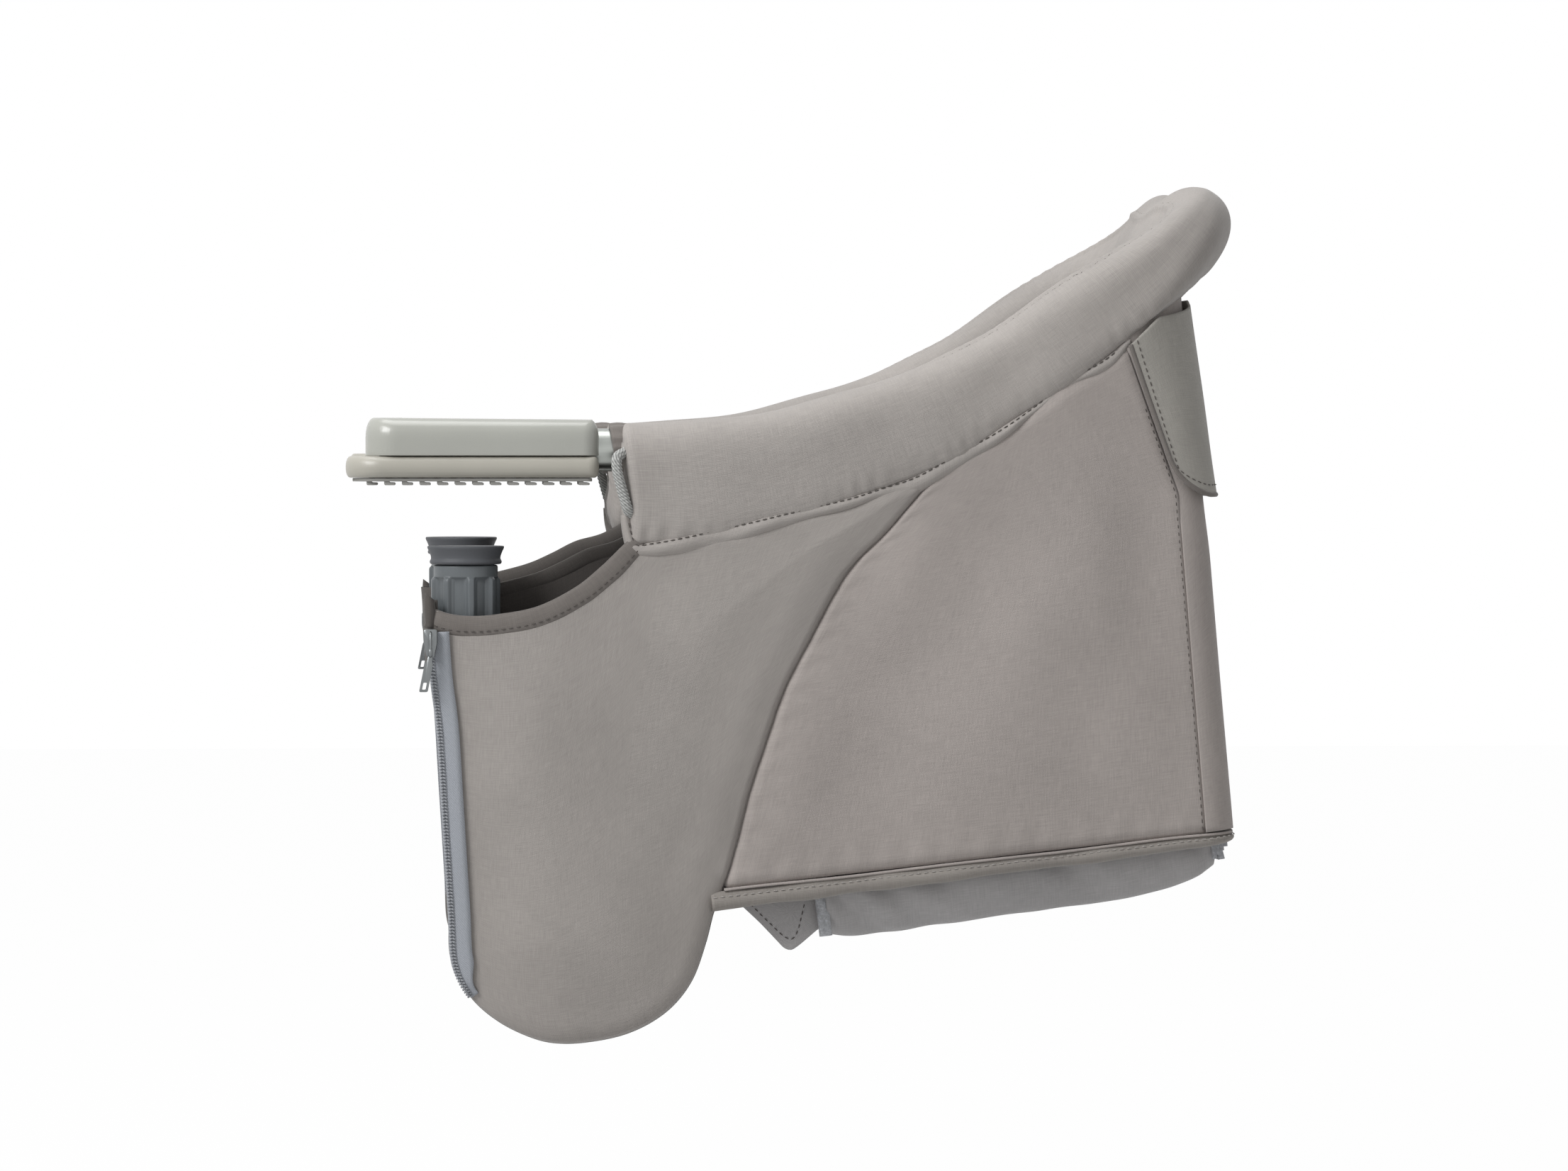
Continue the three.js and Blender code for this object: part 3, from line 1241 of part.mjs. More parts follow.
const tabHalfWidth = COVER_X - POUCH_SIDE_INSET - TAB_INSET;
const tabRear = POUCH_FRONT - GAP;
const tabBottom = POUCH_FLAP_END_Z + CLOTH + GAP;
const pouchTab = box(
  -tabHalfWidth,
  tabHalfWidth,
  tabRear - TAB_THICK,
  tabRear,
  tabBottom,
  tabBottom + TAB_HEIGHT,
);
add(seat, 'pouch_tab', pouchTab, ZIP_GREY);

const rearTabFront = seatLength - POUCH_REAR_INSET + GAP;
const rearTab = box(
  -tabHalfWidth,
  tabHalfWidth,
  rearTabFront,
  rearTabFront + TAB_THICK,
  hangTop - REAR_TAB_HEIGHT,
  hangTop,
);
add(seat, 'rear_tab', rearTab, ZIP_GREY);

// Harness

// A flat strap that follows the pad's top between points given as [x, y].
function strap(line) {
  return loft(line.map(([x, y], i) => {
    const [bx, by] = line[Math.max(i - 1, 0)];
    const [ax, ay] = line[Math.min(i + 1, line.length - 1)];
    const length = Math.hypot(ax - bx, ay - by);
    const acrossX = (-(ay - by) / length) * (STRAP_WIDTH / 2);
    const acrossY = ((ax - bx) / length) * (STRAP_WIDTH / 2);
    const tops = [-1, 0, 1].map((way) => padTop(x + way * acrossX, y + way * acrossY));
    const low = Math.max(...tops) + GAP;
    return [
      vec(x - acrossX, y - acrossY, low),
      vec(x + acrossX, y + acrossY, low),
      vec(x + acrossX, y + acrossY, low + STRAP_THICK),
      vec(x - acrossX, y - acrossY, low + STRAP_THICK),
    ];
  }));
}

const between = (from, to, steps) => Array.from({ length: steps + 1 }, (_, i) => [
  THREE.MathUtils.lerp(from[0], to[0], i / steps),
  THREE.MathUtils.lerp(from[1], to[1], i / steps),
]);
const buckleFront = BUCKLE_Y - BUCKLE_LENGTH / 2;
const buckleRear = BUCKLE_Y + BUCKLE_LENGTH / 2;
const crotchLine = between([0, CROTCH_START], [0, buckleFront - GAP], STRAP_STEPS);
add(seat, 'crotch_strap', strap(crotchLine), WEBBING);
const waistEnd = [BUCKLE_WIDTH / 2 + GAP, BUCKLE_Y];
const waistStart = [padMaxHalf - WAIST_INSET, WAIST_START_Y];
const waistLine = [...between(waistStart, [waistEnd[0] + WAIST_RUN, BUCKLE_Y], STRAP_STEPS), waistEnd];
addPair(seat, 'waist_strap', strap(waistLine), WEBBING);

const buckleBottom = padTop(0, padMiddle) + GAP;
const buckleTop = buckleBottom + BUCKLE_THICK;

function buckle() {
  const half = BUCKLE_WIDTH / 2;
  const shape = roundedOutline(-half, half, buckleFront, buckleRear, BUCKLE_CORNER_R);
  const holeTop = vec(0, BUCKLE_Y, buckleTop + CUT_OVERRUN);
  const buttonHole = bar(vec(0, BUCKLE_Y, buckleTop - BUTTON_DEPTH), holeTop, BUTTON_R + GAP);
  return cut(uprightPlate(shape, buckleBottom, buckleTop), buttonHole);
}
add(seat, 'buckle', buckle(), BUCKLE_PLASTIC);

const buttonBottom = buckleTop - BUTTON_DEPTH + BUTTON_TRAVEL + GAP;
const buttonTop = buckleTop + BUTTON_PROUD;
const button = bar(vec(0, BUCKLE_Y, buttonBottom), vec(0, BUCKLE_Y, buttonTop), BUTTON_R);
add(seat, 'buckle_button', button, CUP_RUBBER);

export default chair;
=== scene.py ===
"""Looks of the hook on table chair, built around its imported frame.

Every piece is a surface worked out with numpy in millimetres, in the frame of the CAD part: +X to the
sitter's left, +Y towards the back of the seat, +Z up, the origin on the table's edge.
"""

import logging
import math
from dataclasses import dataclass
from enum import Enum
from typing import Any, Optional

import bmesh
import bpy
import numpy as np
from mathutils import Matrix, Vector


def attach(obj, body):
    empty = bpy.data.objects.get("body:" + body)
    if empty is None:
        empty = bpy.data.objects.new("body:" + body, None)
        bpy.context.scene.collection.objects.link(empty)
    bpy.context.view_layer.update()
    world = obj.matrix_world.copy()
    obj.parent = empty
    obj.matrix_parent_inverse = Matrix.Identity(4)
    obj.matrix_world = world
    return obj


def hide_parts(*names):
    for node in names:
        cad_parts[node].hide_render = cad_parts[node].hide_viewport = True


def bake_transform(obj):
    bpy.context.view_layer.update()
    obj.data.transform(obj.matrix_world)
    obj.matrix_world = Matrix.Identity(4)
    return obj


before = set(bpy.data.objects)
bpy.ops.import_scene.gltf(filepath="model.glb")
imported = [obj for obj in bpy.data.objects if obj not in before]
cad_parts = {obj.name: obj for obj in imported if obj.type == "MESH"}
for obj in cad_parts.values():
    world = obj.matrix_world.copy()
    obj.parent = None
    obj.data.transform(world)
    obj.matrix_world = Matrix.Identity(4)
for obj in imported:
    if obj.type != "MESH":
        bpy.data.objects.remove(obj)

MM = 0.001
TAU = 2.0 * math.pi
QUARTER = math.pi / 2.0
FLIP = np.array([-1.0, 1.0, 1.0])
ALONG_X = (1.0, 0.0, 0.0)
WHITE = (1.0, 1.0, 1.0, 1.0)
Array = np.ndarray
log = logging.getLogger("chair")


class Side(Enum):
    """The two sides of the chair, as the sign of X."""

    LEFT = 1
    RIGHT = -1

    @property
    def tag(self) -> str:
        """Ending of the names of this side's pieces."""
        return self.name.lower()


def ease(value: Array, low: float, high: float) -> Array:
    """Smooth step from 0 at low to 1 at high: t * t * (3 - 2 t)."""
    t = np.clip((np.asarray(value, float) - low) / (high - low), 0.0, 1.0)
    return t * t * (3.0 - 2.0 * t)


def bell(value: Array, middle: float, width: float) -> Array:
    """Soft bump of height 1 at middle: exp(-((value - middle) / width)^2)."""
    return np.exp(-(((value - middle) / width) ** 2))


def ripple(u: Any, v: Any, seed: int, count: int, low: float, high: float) -> Array:
    """Slow folds: a sum of plane sine waves with seeded headings, periods and phases.

    Args:
        u: First place of each point, in millimetres.
        v: Second place of each point, or one number.
        seed: Seed of the draws.
        count: Number of waves.
        low: Shortest period.
        high: Longest period.

    Returns:
        Heights of about -1 to 1.
    """
    rng = np.random.default_rng(seed)
    heading = rng.uniform(0.0, TAU, count)
    rate = TAU / rng.uniform(low, high, count)
    phase = rng.uniform(0.0, TAU, count)
    u, v = (np.asarray(place, float)[..., None] for place in (u, v))
    return np.sin((u * np.cos(heading) + v * np.sin(heading)) * rate + phase).sum(axis=-1) / math.sqrt(count)


def join(*parts: Any) -> Array:
    """Points from their coordinates, all spread to one shape."""
    return np.stack(np.broadcast_arrays(*parts), axis=-1)


def angles(count: int) -> Array:
    """Even turns round a circle, from 0."""
    return np.arange(count) * TAU / count


def sample(at: Array, run: Array, values: Array) -> Array:
    """Rows of values at places along a run, on straight lines between the known ones."""
    return np.stack([np.interp(at, run, column) for column in values.T], axis=1)


def length_along(line: Array) -> Array:
    """Length of a line of points up to each of them."""
    return np.concatenate([[0.0], np.cumsum(np.linalg.norm(np.diff(line, axis=0), axis=1))])


def column_lengths(grid: Array) -> Array:
    """Length of each column of a grid, or of one line."""
    return np.linalg.norm(np.diff(grid, axis=0), axis=-1).sum(axis=0)


def resample(line: Array, count: int) -> Array:
    """Count points at even steps of length along a line of points."""
    run = length_along(line)
    return sample(np.linspace(0.0, run[-1], count), run, line)


def spline(points: Any, count: int) -> Array:
    """Catmull-Rom line: on each span the cubic whose end slopes are half the chords of the neighbours.

    Args:
        points: Places that the line goes through.
        count: Number of points returned.

    Returns:
        Points at even steps of length.
    """
    knots = np.asarray(points, float)
    held = np.vstack([2.0 * knots[0] - knots[1], knots, 2.0 * knots[-1] - knots[-2]])
    t = np.linspace(0.0, len(knots) - 1.0, 40 * (len(knots) - 1) + 1)
    i = np.minimum(t.astype(int), len(knots) - 2)
    f = (t - i)[:, None]
    a, b, c, d = held[i], held[i + 1], held[i + 2], held[i + 3]
    cubic = 2.0 * b + (c - a) * f + (2.0 * a - 5.0 * b + 4.0 * c - d) * f**2 + (3.0 * (b - c) + d - a) * f**3
    return resample(0.5 * cubic, count)


def unit(vectors: Array) -> Array:
    """Vectors scaled to length 1."""
    return vectors / np.maximum(np.linalg.norm(vectors, axis=-1, keepdims=True), 1e-9)


def headings(line: Array) -> Array:
    """Direction of travel at each point of a line."""
    return unit(np.gradient(line, axis=0))


def rings(first: Array, second: Array, sides: int) -> Array:
    """Circles of radius 1: first cos a + second sin a, for each pair of directions."""
    turn = angles(sides)[:, None]
    return first[..., None, :] * np.cos(turn) + second[..., None, :] * np.sin(turn)


def capped(grid: Array, middle: Optional[Array] = None) -> Array:
    """Rings closed at both ends by a point: the ends of their middle line, or else their means."""
    middle = grid.mean(axis=1) if middle is None else middle
    ends = np.broadcast_to(middle[:, None], grid.shape)
    return np.concatenate([ends[:1], grid, ends[-1:]])


def tube(line: Array, radius: float, sides: int, hint: Any = ALONG_X, closed: bool = True) -> Array:
    """Round section carried along a line: p = line + r (side cos a + up sin a), square to the travel.

    Args:
        line: Centre line.
        radius: Radius of the section.
        sides: Points round the section.
        hint: A direction that is never along the line, which fixes the section's turn.
        closed: Whether both ends shrink to a point.

    Returns:
        Grid of points, rings first.
    """
    travel = headings(line)
    up = unit(np.cross(np.broadcast_to(np.asarray(hint, float), line.shape), travel))
    grid = line[:, None] + radius * rings(np.cross(travel, up), up, sides)
    return capped(grid, line) if closed else grid


def lathe(profile: Any, centre: tuple[float, float], sides: int) -> Array:
    """Body turned about an upright axis: p = (x + r cos a, y + r sin a, z) for each [r, z] of the profile."""
    rows = np.asarray(profile, float)
    turn, radius = angles(sides), rows[:, :1]
    return join(centre[0] + radius * np.cos(turn), centre[1] + radius * np.sin(turn), rows[:, 1:])


def rounded(profile: Any, radius: float, steps: int = 5) -> Array:
    """Rounds the corners of a profile: an inner corner becomes a quadratic arc between its two sides.

    Args:
        profile: Corners as points of the plane.
        radius: Longest reach of an arc along a side, of which it takes 0.48 at most.
        steps: Points on each arc.

    Returns:
        The rounded line.
    """
    corners = np.asarray(profile, float)
    here = corners[1:-1]
    start, end = (
        here + unit(way) * np.minimum(radius, 0.48 * np.linalg.norm(way, axis=1))[:, None]
        for way in (corners[:-2] - here, corners[2:] - here)
    )
    t = np.linspace(0.0, 1.0, steps)[None, :, None]
    arcs = (1 - t) ** 2 * start[:, None] + 2 * t * (1 - t) * here[:, None] + t**2 * end[:, None]
    return np.vstack([corners[:1], arcs.reshape(-1, corners.shape[1]), corners[-1:]])


def between(low: Array, high: Array, shares: Array) -> Array:
    """Grid between two lines of equal counts: p = low + (high - low) share, a row for each share."""
    return low[None] + (high - low)[None] * np.asarray(shares, float)[:, None, None]


def coons(bottom: Array, top: Array, left: Array, right: Array) -> Array:
    """Patch between four lines: the two ruled grids added, less the grid of the four corners.

    Args:
        bottom: Line of the first row.
        top: Line of the last row.
        left: Line of the first column.
        right: Line of the last column.

    Returns:
        Points by row and column.
    """
    v = np.linspace(0.0, 1.0, len(left))[:, None, None]
    u = np.linspace(0.0, 1.0, len(bottom))[None, :, None]
    ruled = (1 - v) * bottom[None] + v * top[None] + (1 - u) * left[:, None] + u * right[:, None]
    low = (1 - u) * bottom[0] + u * bottom[-1]
    high = (1 - u) * top[0] + u * top[-1]
    return ruled - ((1 - v) * low + v * high)


def hang(flat: Array, x: Any) -> Array:
    """Points of the side view set at their place across the chair."""
    return join(x, flat[..., 0], flat[..., 1])


def inward(line: Array, turn: float = 1.0) -> Array:
    """Directions square to a line of the side view, on its left for turn 1."""
    travel = headings(line)
    return turn * np.stack([-travel[:, 1], travel[:, 0]], axis=1)


def distance_to(flat: Array, line: Array) -> Array:
    """Distance from each point of a grid in the side view to the nearest point of a line."""
    return np.sqrt(((flat[..., None, :] - line) ** 2).sum(axis=-1).min(axis=-1))


def almond(first: Array, second: Array, base: Any, bow: Any, back: float = 0.3, steps: int = 11) -> Array:
    """Rolled strip between two lines of the side view: x = base + bow sin(pi s)^0.55 outside, less behind.

    Args:
        first: Upper line.
        second: Lower line, of the same count.
        base: Place of the strip's edges across the chair, one number or by row.
        bow: Height of its outer bow, one number or by row.
        back: Share of the bow on its inner face.
        steps: Points across one face.

    Returns:
        Grid closed round its section, with its ends drawn to a point.
    """
    turn = np.linspace(0.0, 1.0, steps)
    shares = np.concatenate([turn, turn[-2:0:-1]])
    arch = np.sin(np.pi * shares) ** 0.55
    arch = np.where(np.arange(len(shares)) < steps, arch, -back * arch)
    base, bow = (np.broadcast_to(np.asarray(size, float), (len(first),))[:, None] for size in (base, bow))
    flat = first[:, None] + (second - first)[:, None] * shares[None, :, None]
    return capped(hang(flat, base + bow * arch))


def grid_normals(grid: Array, wrap_columns: bool = True) -> Array:
    """Directions square to a grid: the cross product of its differences down and across."""
    if wrap_columns:
        across = np.roll(grid, -1, axis=1) - np.roll(grid, 1, axis=1)
    else:
        across = np.gradient(grid, axis=1)
    return unit(np.cross(across, np.gradient(grid, axis=0)))


def put(name: str, data: Any) -> bpy.types.Object:
    """A new object in the scene."""
    thing = bpy.data.objects.new(name, data)
    bpy.context.scene.collection.objects.link(thing)
    return thing


def read_points(mesh: bpy.types.Mesh) -> Array:
    """Places of a mesh's points, in metres."""
    points = np.empty(len(mesh.vertices) * 3, np.float32)
    mesh.vertices.foreach_get("co", points)
    return points.reshape(-1, 3)


def write_points(mesh: bpy.types.Mesh, points: Array) -> None:
    """Moves a mesh's points to places in metres."""
    mesh.vertices.foreach_set("co", points.astype(np.float32).ravel())
    mesh.update()


def settle(piece: bpy.types.Object, body: str, stands_for: tuple[str, ...] = (),
           blend: Optional[tuple] = None) -> bpy.types.Object:
    """Sets a piece on its body, or bakes it in place for cloth with a blend, and reports it.

    Args:
        piece: The object.
        body: CAD body that carries it.
        stands_for: CAD nodes that it replaces.
        blend: Other body, start and end in millimetres, for cloth that crosses a joint; when given, the piece
            is only baked into the part's frame and set on no body.

    Returns:
        The object.
    """
    if blend is None:
        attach(piece, body)
    else:
        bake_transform(piece)
    if stands_for:
        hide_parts(*stands_for)
    log.info("%s: %d faces on %s", piece.name, len(piece.data.polygons), body)
    return piece


@dataclass(frozen=True)
class Finish:
    """Surface of a piece: a material of one colour, made the first time it is asked for."""

    name: str
    colour: tuple[float, float, float]

    def material(self) -> bpy.types.Material:
        """The finish as a material."""
        return bpy.data.materials.get(self.name) or self.dress(Graph(self.name))

    def dress(self, g: "Graph") -> bpy.types.Material:
        """Joins the nodes of the finish."""
        raise NotImplementedError


class Piece:
    """Gathers grid surfaces, each with its finish, into one mesh object."""

    def __init__(self, name: str) -> None:
        """Starts a piece with no surface."""
        self.name = name
        self.points: list[Array] = []
        self.faces: list[Array] = []
        self.coords: list[Array] = []
        self.finish_of: list[Array] = []
        self.finishes: list[Finish] = []
        self.total = 0

    def add(self, grid: Array, finish: Finish, wrap: str = "", side: Side = Side.LEFT,
            uv: Optional[Array] = None) -> "Piece":
        """Adds a grid of points as quads, with weave coordinates in metres along its rows and columns.

        Args:
            grid: Points by row and column, on the left side.
            finish: What the surface is made of.
            wrap: Holds r where the last row joins the first and c where the last column does.
            side: The right side takes the mirror image.
            uv: Weave coordinates of each point, or None for lengths along the grid.

        Returns:
            The piece.
        """
        if side is Side.RIGHT:
            grid = grid[:, ::-1] * FLIP
            uv = None if uv is None else uv[:, ::-1]
        rows, columns = grid.shape[:2]
        whole = np.concatenate([grid, grid[:1]], axis=0) if "r" in wrap else grid
        whole = np.concatenate([whole, whole[:, :1]], axis=1) if "c" in wrap else whole
        coords = self.lengths(whole) if uv is None else uv
        i, j = np.meshgrid(np.arange(whole.shape[0] - 1), np.arange(whole.shape[1] - 1), indexing="ij")
        corners = [(i, j), (i, j + 1), (i + 1, j + 1), (i + 1, j)]
        quads = np.stack([(a % rows) * columns + (b % columns) for a, b in corners], axis=-1).reshape(-1, 4)
        self.coords.append(np.stack([coords[a, b] for a, b in corners], axis=-2).reshape(-1, 2))
        self.points.append(grid.reshape(-1, 3))
        self.faces.append(quads + self.total)
        if finish not in self.finishes:
            self.finishes.append(finish)
        self.finish_of.append(np.full(len(quads), self.finishes.index(finish)))
        self.total += rows * columns
        return self

    @staticmethod
    def lengths(grid: Array) -> Array:
        """Mean lengths along rows and columns, in metres, as weave coordinates."""
        steps = (np.linalg.norm(np.diff(grid, axis=k), axis=-1).mean(axis=1 - k) for k in (1, 0))
        u, v = (np.concatenate([[0.0], np.cumsum(step)]) * MM for step in steps)
        return join(u[None, :], v[:, None])

    def mesh(self, weld: bool = True, turn_out: bool = True) -> bpy.types.Mesh:
        """The mesh of all surfaces, with shared corners joined.

        Args:
            weld: Whether corners in one place are merged, which closes poles and seams.
            turn_out: Whether faces are turned outwards, for closed shapes.

        Returns:
            The new mesh.
        """
        points = np.concatenate(self.points) * MM
        faces = np.concatenate(self.faces)
        mesh = bpy.data.meshes.new(self.name)
        mesh.vertices.add(len(points))
        mesh.vertices.foreach_set("co", points.astype(np.float32).ravel())
        mesh.loops.add(faces.size)
        mesh.loops.foreach_set("vertex_index", faces.astype(np.int32).ravel())
        mesh.polygons.add(len(faces))
        mesh.polygons.foreach_set("loop_start", (np.arange(len(faces)) * 4).astype(np.int32))
        mesh.polygons.foreach_set("material_index", np.concatenate(self.finish_of).astype(np.int32))
        layer = mesh.uv_layers.new(name="weave")
        layer.uv.foreach_set("vector", np.concatenate(self.coords).astype(np.float32).ravel())
        mesh.update(calc_edges=True)
        shaped = bmesh.new()
        shaped.from_mesh(mesh)
        if weld:
            bmesh.ops.remove_doubles(shaped, verts=shaped.verts, dist=2e-6)
            bmesh.ops.dissolve_degenerate(shaped, edges=shaped.edges, dist=1e-7)
        if turn_out:
            bmesh.ops.recalc_face_normals(shaped, faces=shaped.faces)
        shaped.to_mesh(mesh)
        shaped.free()
        mesh.polygons.foreach_set("use_smooth", np.ones(len(mesh.polygons), bool))
        for finish in self.finishes:
            mesh.materials.append(finish.material())
        return mesh

    def build(self, body: str, slot: str, stands_for: tuple[str, ...] = (), thick: float = 0.0,
              weld: bool = True, turn_out: bool = True, split: float = 0.0,
              blend: Optional[tuple] = None) -> bpy.types.Object:
        """Makes the object and settles it on its body.

        Args:
            body: CAD body that carries the piece.
            slot: Name of a material slot; not used.
            stands_for: CAD nodes that the piece replaces.
            thick: Thickness in millimetres given to an open sheet, half to each side.
            weld: Whether shared corners are merged.
            turn_out: Whether faces are turned outwards, for a piece that is no sheet.
            split: Angle in degrees past which an edge stays sharp, or 0 for none.
            blend: Other body, start and end in millimetres, for cloth that crosses a joint; when given, the
                piece is only baked into the part's frame and set on no body.

        Returns:
            The new object.
        """
        mesh = self.mesh(weld, turn_out and not thick)
        piece = put(self.name, mesh)
        if split:
            mesh.set_sharp_from_angle(angle=math.radians(split))
        if thick:
            wall = piece.modifiers.new("wall", "SOLIDIFY")
            wall.thickness = thick * MM
            wall.offset = 0.0
        return settle(piece, body, stands_for, blend)


def make(name: str, grid: Array, finish: Finish, side: Optional[Side], body: str, slot: str, node: str = "",
         **options: Any) -> bpy.types.Object:
    """Builds a piece from a single grid: an open sheet where a thickness is given, else closed by columns.

    Args:
        name: Name of the piece, without its side.
        grid: Points, on the left side where there are two.
        finish: What it is made of.
        side: Which side of the chair, or None for a piece across it.
        body: CAD body that carries it.
        slot: Name of a material slot, passed on to the build, which does not use it.
        node: CAD node that it replaces, without its side, or nothing.
        options: Further settings of the build.

    Returns:
        The new object.
    """
    end = f"_{side.tag}" if side else ""
    piece = Piece(name + end).add(grid, finish, "" if "thick" in options else "c", side or Side.LEFT)
    return piece.build(body, slot, (node + end,) if node else (), **options)


def stitches(line: Array, out: Any, pitch: float, length: float, radius: float,
             slant: float = 0.0) -> Array:
    """Rows of thread: short six-sided spindles along a line, each bulging out of the cloth.

    The line is cut at every pitch. A spindle's rings at shares -1 to 1 of its length have the radius
    r sqrt(1 - s^4), and their centres rise by 0.6 r (1 - s^2) along out.

    Args:
        line: Seam line.
        out: Direction out of the cloth, one or one for each point of the line.
        pitch: Distance between stitches.
        length: Length of one stitch.
        radius: Half the thread's thickness.
        slant: Turn of each stitch from the line, about out.

    Returns:
        Grids of points, one for each stitch.
    """
    run = length_along(line)
    at = (np.arange(max(2, int(run[-1] / pitch))) + 0.5) * pitch
    out = np.broadcast_to(np.asarray(out, float), line.shape)
    middle, lift, travel = (sample(at, run, values) for values in (line, out, headings(line)))
    lift, travel = unit(lift), unit(travel)
    ahead = travel * math.cos(slant) + unit(np.cross(travel, lift)) * math.sin(slant)
    flank = unit(np.cross(ahead, lift))
    shares = np.linspace(-1.0, 1.0, 5)
    centre = middle[:, None] + ahead[:, None] * (shares * length / 2.0)[None, :, None]
    centre = centre + lift[:, None] * (radius * 0.6 * (1.0 - shares**2))[None, :, None]
    size = radius * np.sqrt(np.maximum(0.0, 1.0 - shares**4))
    return centre[:, :, None] + size[None, :, None, None] * rings(flank, lift, 6)[:, None]


def sew(name: str, rows: list[Array], body: str, slot: str, finish: Optional[Finish] = None,
        side: Side = Side.LEFT, blend: Optional[tuple] = None) -> None:
    """Builds rows of stitches as one piece, each stitch a small surface closed round its section.

    Args:
        name: Name of the piece.
        rows: Stitches of each row.
        body: CAD body that carries the piece.
        slot: Name of a material slot, passed on to the build, which does not use it.
        finish: What the thread is made of, seam thread if nothing is said.
        side: Which side of the chair.
        blend: As for any piece.
    """
    piece = Piece(name)
    for stitch in np.concatenate(rows):
        piece.add(stitch, finish or Look.THREAD, wrap="c", side=side)
    piece.build(body, slot, weld=False, blend=blend)


def dress(node: str, finish: Finish) -> None:
    """Gives a CAD node that stays on show its finish."""
    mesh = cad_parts[node].data
    mesh.materials.clear()
    mesh.materials.append(finish.material())


def linear(rgb: Array) -> tuple[float, float, float, float]:
    """A display colour of 0 to 255 as linear light with full cover."""
    c = np.asarray(rgb, float) / 255.0
    light = np.where(c <= 0.04045, c / 12.92, ((c + 0.055) / 1.055) ** 2.4)
    return (float(light[0]), float(light[1]), float(light[2]), 1.0)


class Graph:
    """Short-hand for the nodes of one material or of the world."""

    def __init__(self, name: str, world: bool = False) -> None:
        """Starts a material with its plain shader, or the world with its background."""
        self.material = bpy.data.worlds.new(name) if world else bpy.data.materials.new(name)
        self.material.use_nodes = True
        self.tree = self.material.node_tree
        self.shader = self.tree.nodes["Background" if world else "Principled BSDF"]

    def node(self, kind: str, out: Any = 0, settings: Optional[dict] = None, **inputs: Any) -> Any:
        """Adds a node, sets or links its inputs and gives one of its outputs.

        Args:
            kind: Node type without its common beginning.
            out: Name or number of the output.
            settings: Properties of the node.
            inputs: Values or sockets by input name, or by i and its number.

        Returns:
            The output socket.
        """
        node = self.tree.nodes.new("ShaderNode" + kind)
        for key, value in (settings or {}).items():
            setattr(node, key, value)
        for key, value in inputs.items():
            number = key[1:]
            socket = node.inputs[int(number)] if key[0] == "i" and number.isdigit() else node.inputs[key]
            if isinstance(value, bpy.types.NodeSocket):
                self.tree.links.new(value, socket)
            else:
                socket.default_value = value
        return node.outputs[out]

    def math(self, what: str, first: Any, second: Any = 0.0) -> Any:
        """A sum, product or other reckoning of two values."""
        return self.node("Math", settings={"operation": what}, i0=first, i1=second)

    def total(self, first: Any, share: Any, second: Any, rest: Any) -> Any:
        """Two values added, each times its weight."""
        return self.math("ADD", self.math("MULTIPLY", first, share), self.math("MULTIPLY", second, rest))

    def mean(self, first: Any, second: Any) -> Any:
        """The mean of two values."""
        return self.math("MULTIPLY", self.math("ADD", first, second), 0.5)

    def mix(self, share: Any, first: Any, second: Any) -> Any:
        """A colour between two others."""
        return self.node("Mix", out=2, settings={"data_type": "RGBA"}, i0=share, i6=first, i7=second)

    def span(self, value: Any, low: float, high: float) -> Any:
        """A value of 0 to 1 spread from low to high."""
        return self.node("MapRange", Value=value, i3=low, i4=high)

    def weave(self) -> Any:
        """Weave coordinates of the surface, in metres."""
        return self.node("UVMap", settings={"uv_map": "weave"})

    def place(self) -> Any:
        """Place of the point in the part, in metres."""
        return self.node("TexCoord", out="Object")

    def stretch(self, vector: Any, scale: tuple[float, float, float], turn: float = 0.0) -> Any:
        """Coordinates turned about their third axis and scaled."""
        return self.node("Mapping", Vector=vector, Scale=scale, Rotation=(0.0, 0.0, turn))

    def noise(self, vector: Any, scale: float, detail: float = 2.0) -> Any:
        """Cloudy values of about 0 to 1."""
        return self.node("TexNoise", Vector=vector, Scale=scale, Detail=detail)

    def bands(self, vector: Any, period: float, along: str = "X") -> Any:
        """Sine stripes: period is in the units of the vector."""
        settings = {"bands_direction": along}
        return self.node("TexWave", out=1, settings=settings, Vector=vector, Scale=TAU / (20.0 * period))

    def finish(self, look: Finish, spread: float, tone: Any, rough: Any, relief: Any, depth: float,
               strength: float) -> bpy.types.Material:
        """Joins colour, roughness and relief to the shader.

        Args:
            look: Finish whose colour is used.
            spread: Share by which the darkest and the lightest tone differ from the colour.
            tone: Place between the two tones, of 0 to 1.
            rough: Roughness.
            relief: Relief of 0 to 1.
            depth: Height of the relief in metres.
            strength: Share of the relief that shows.

        Returns:
            The material.
        """
        colour = np.asarray(look.colour, float)
        dark, light = (linear(np.minimum(colour * (1.0 + way), 255.0)) for way in (-spread, spread))
        bump = self.node("Bump", Height=relief, Distance=depth, Strength=strength)
        inputs = {"Base Color": self.mix(tone, dark, light), "Roughness": rough, "Normal": bump}
        for name, value in inputs.items():
            self.tree.links.new(value, self.shader.inputs[name])
        return self.material

    def fixed(self, **values: Any) -> None:
        """Sets plain values of the shader by name, with _ for a space."""
        for key, value in values.items():
            self.shader.inputs[key.replace("_", " ")].default_value = value


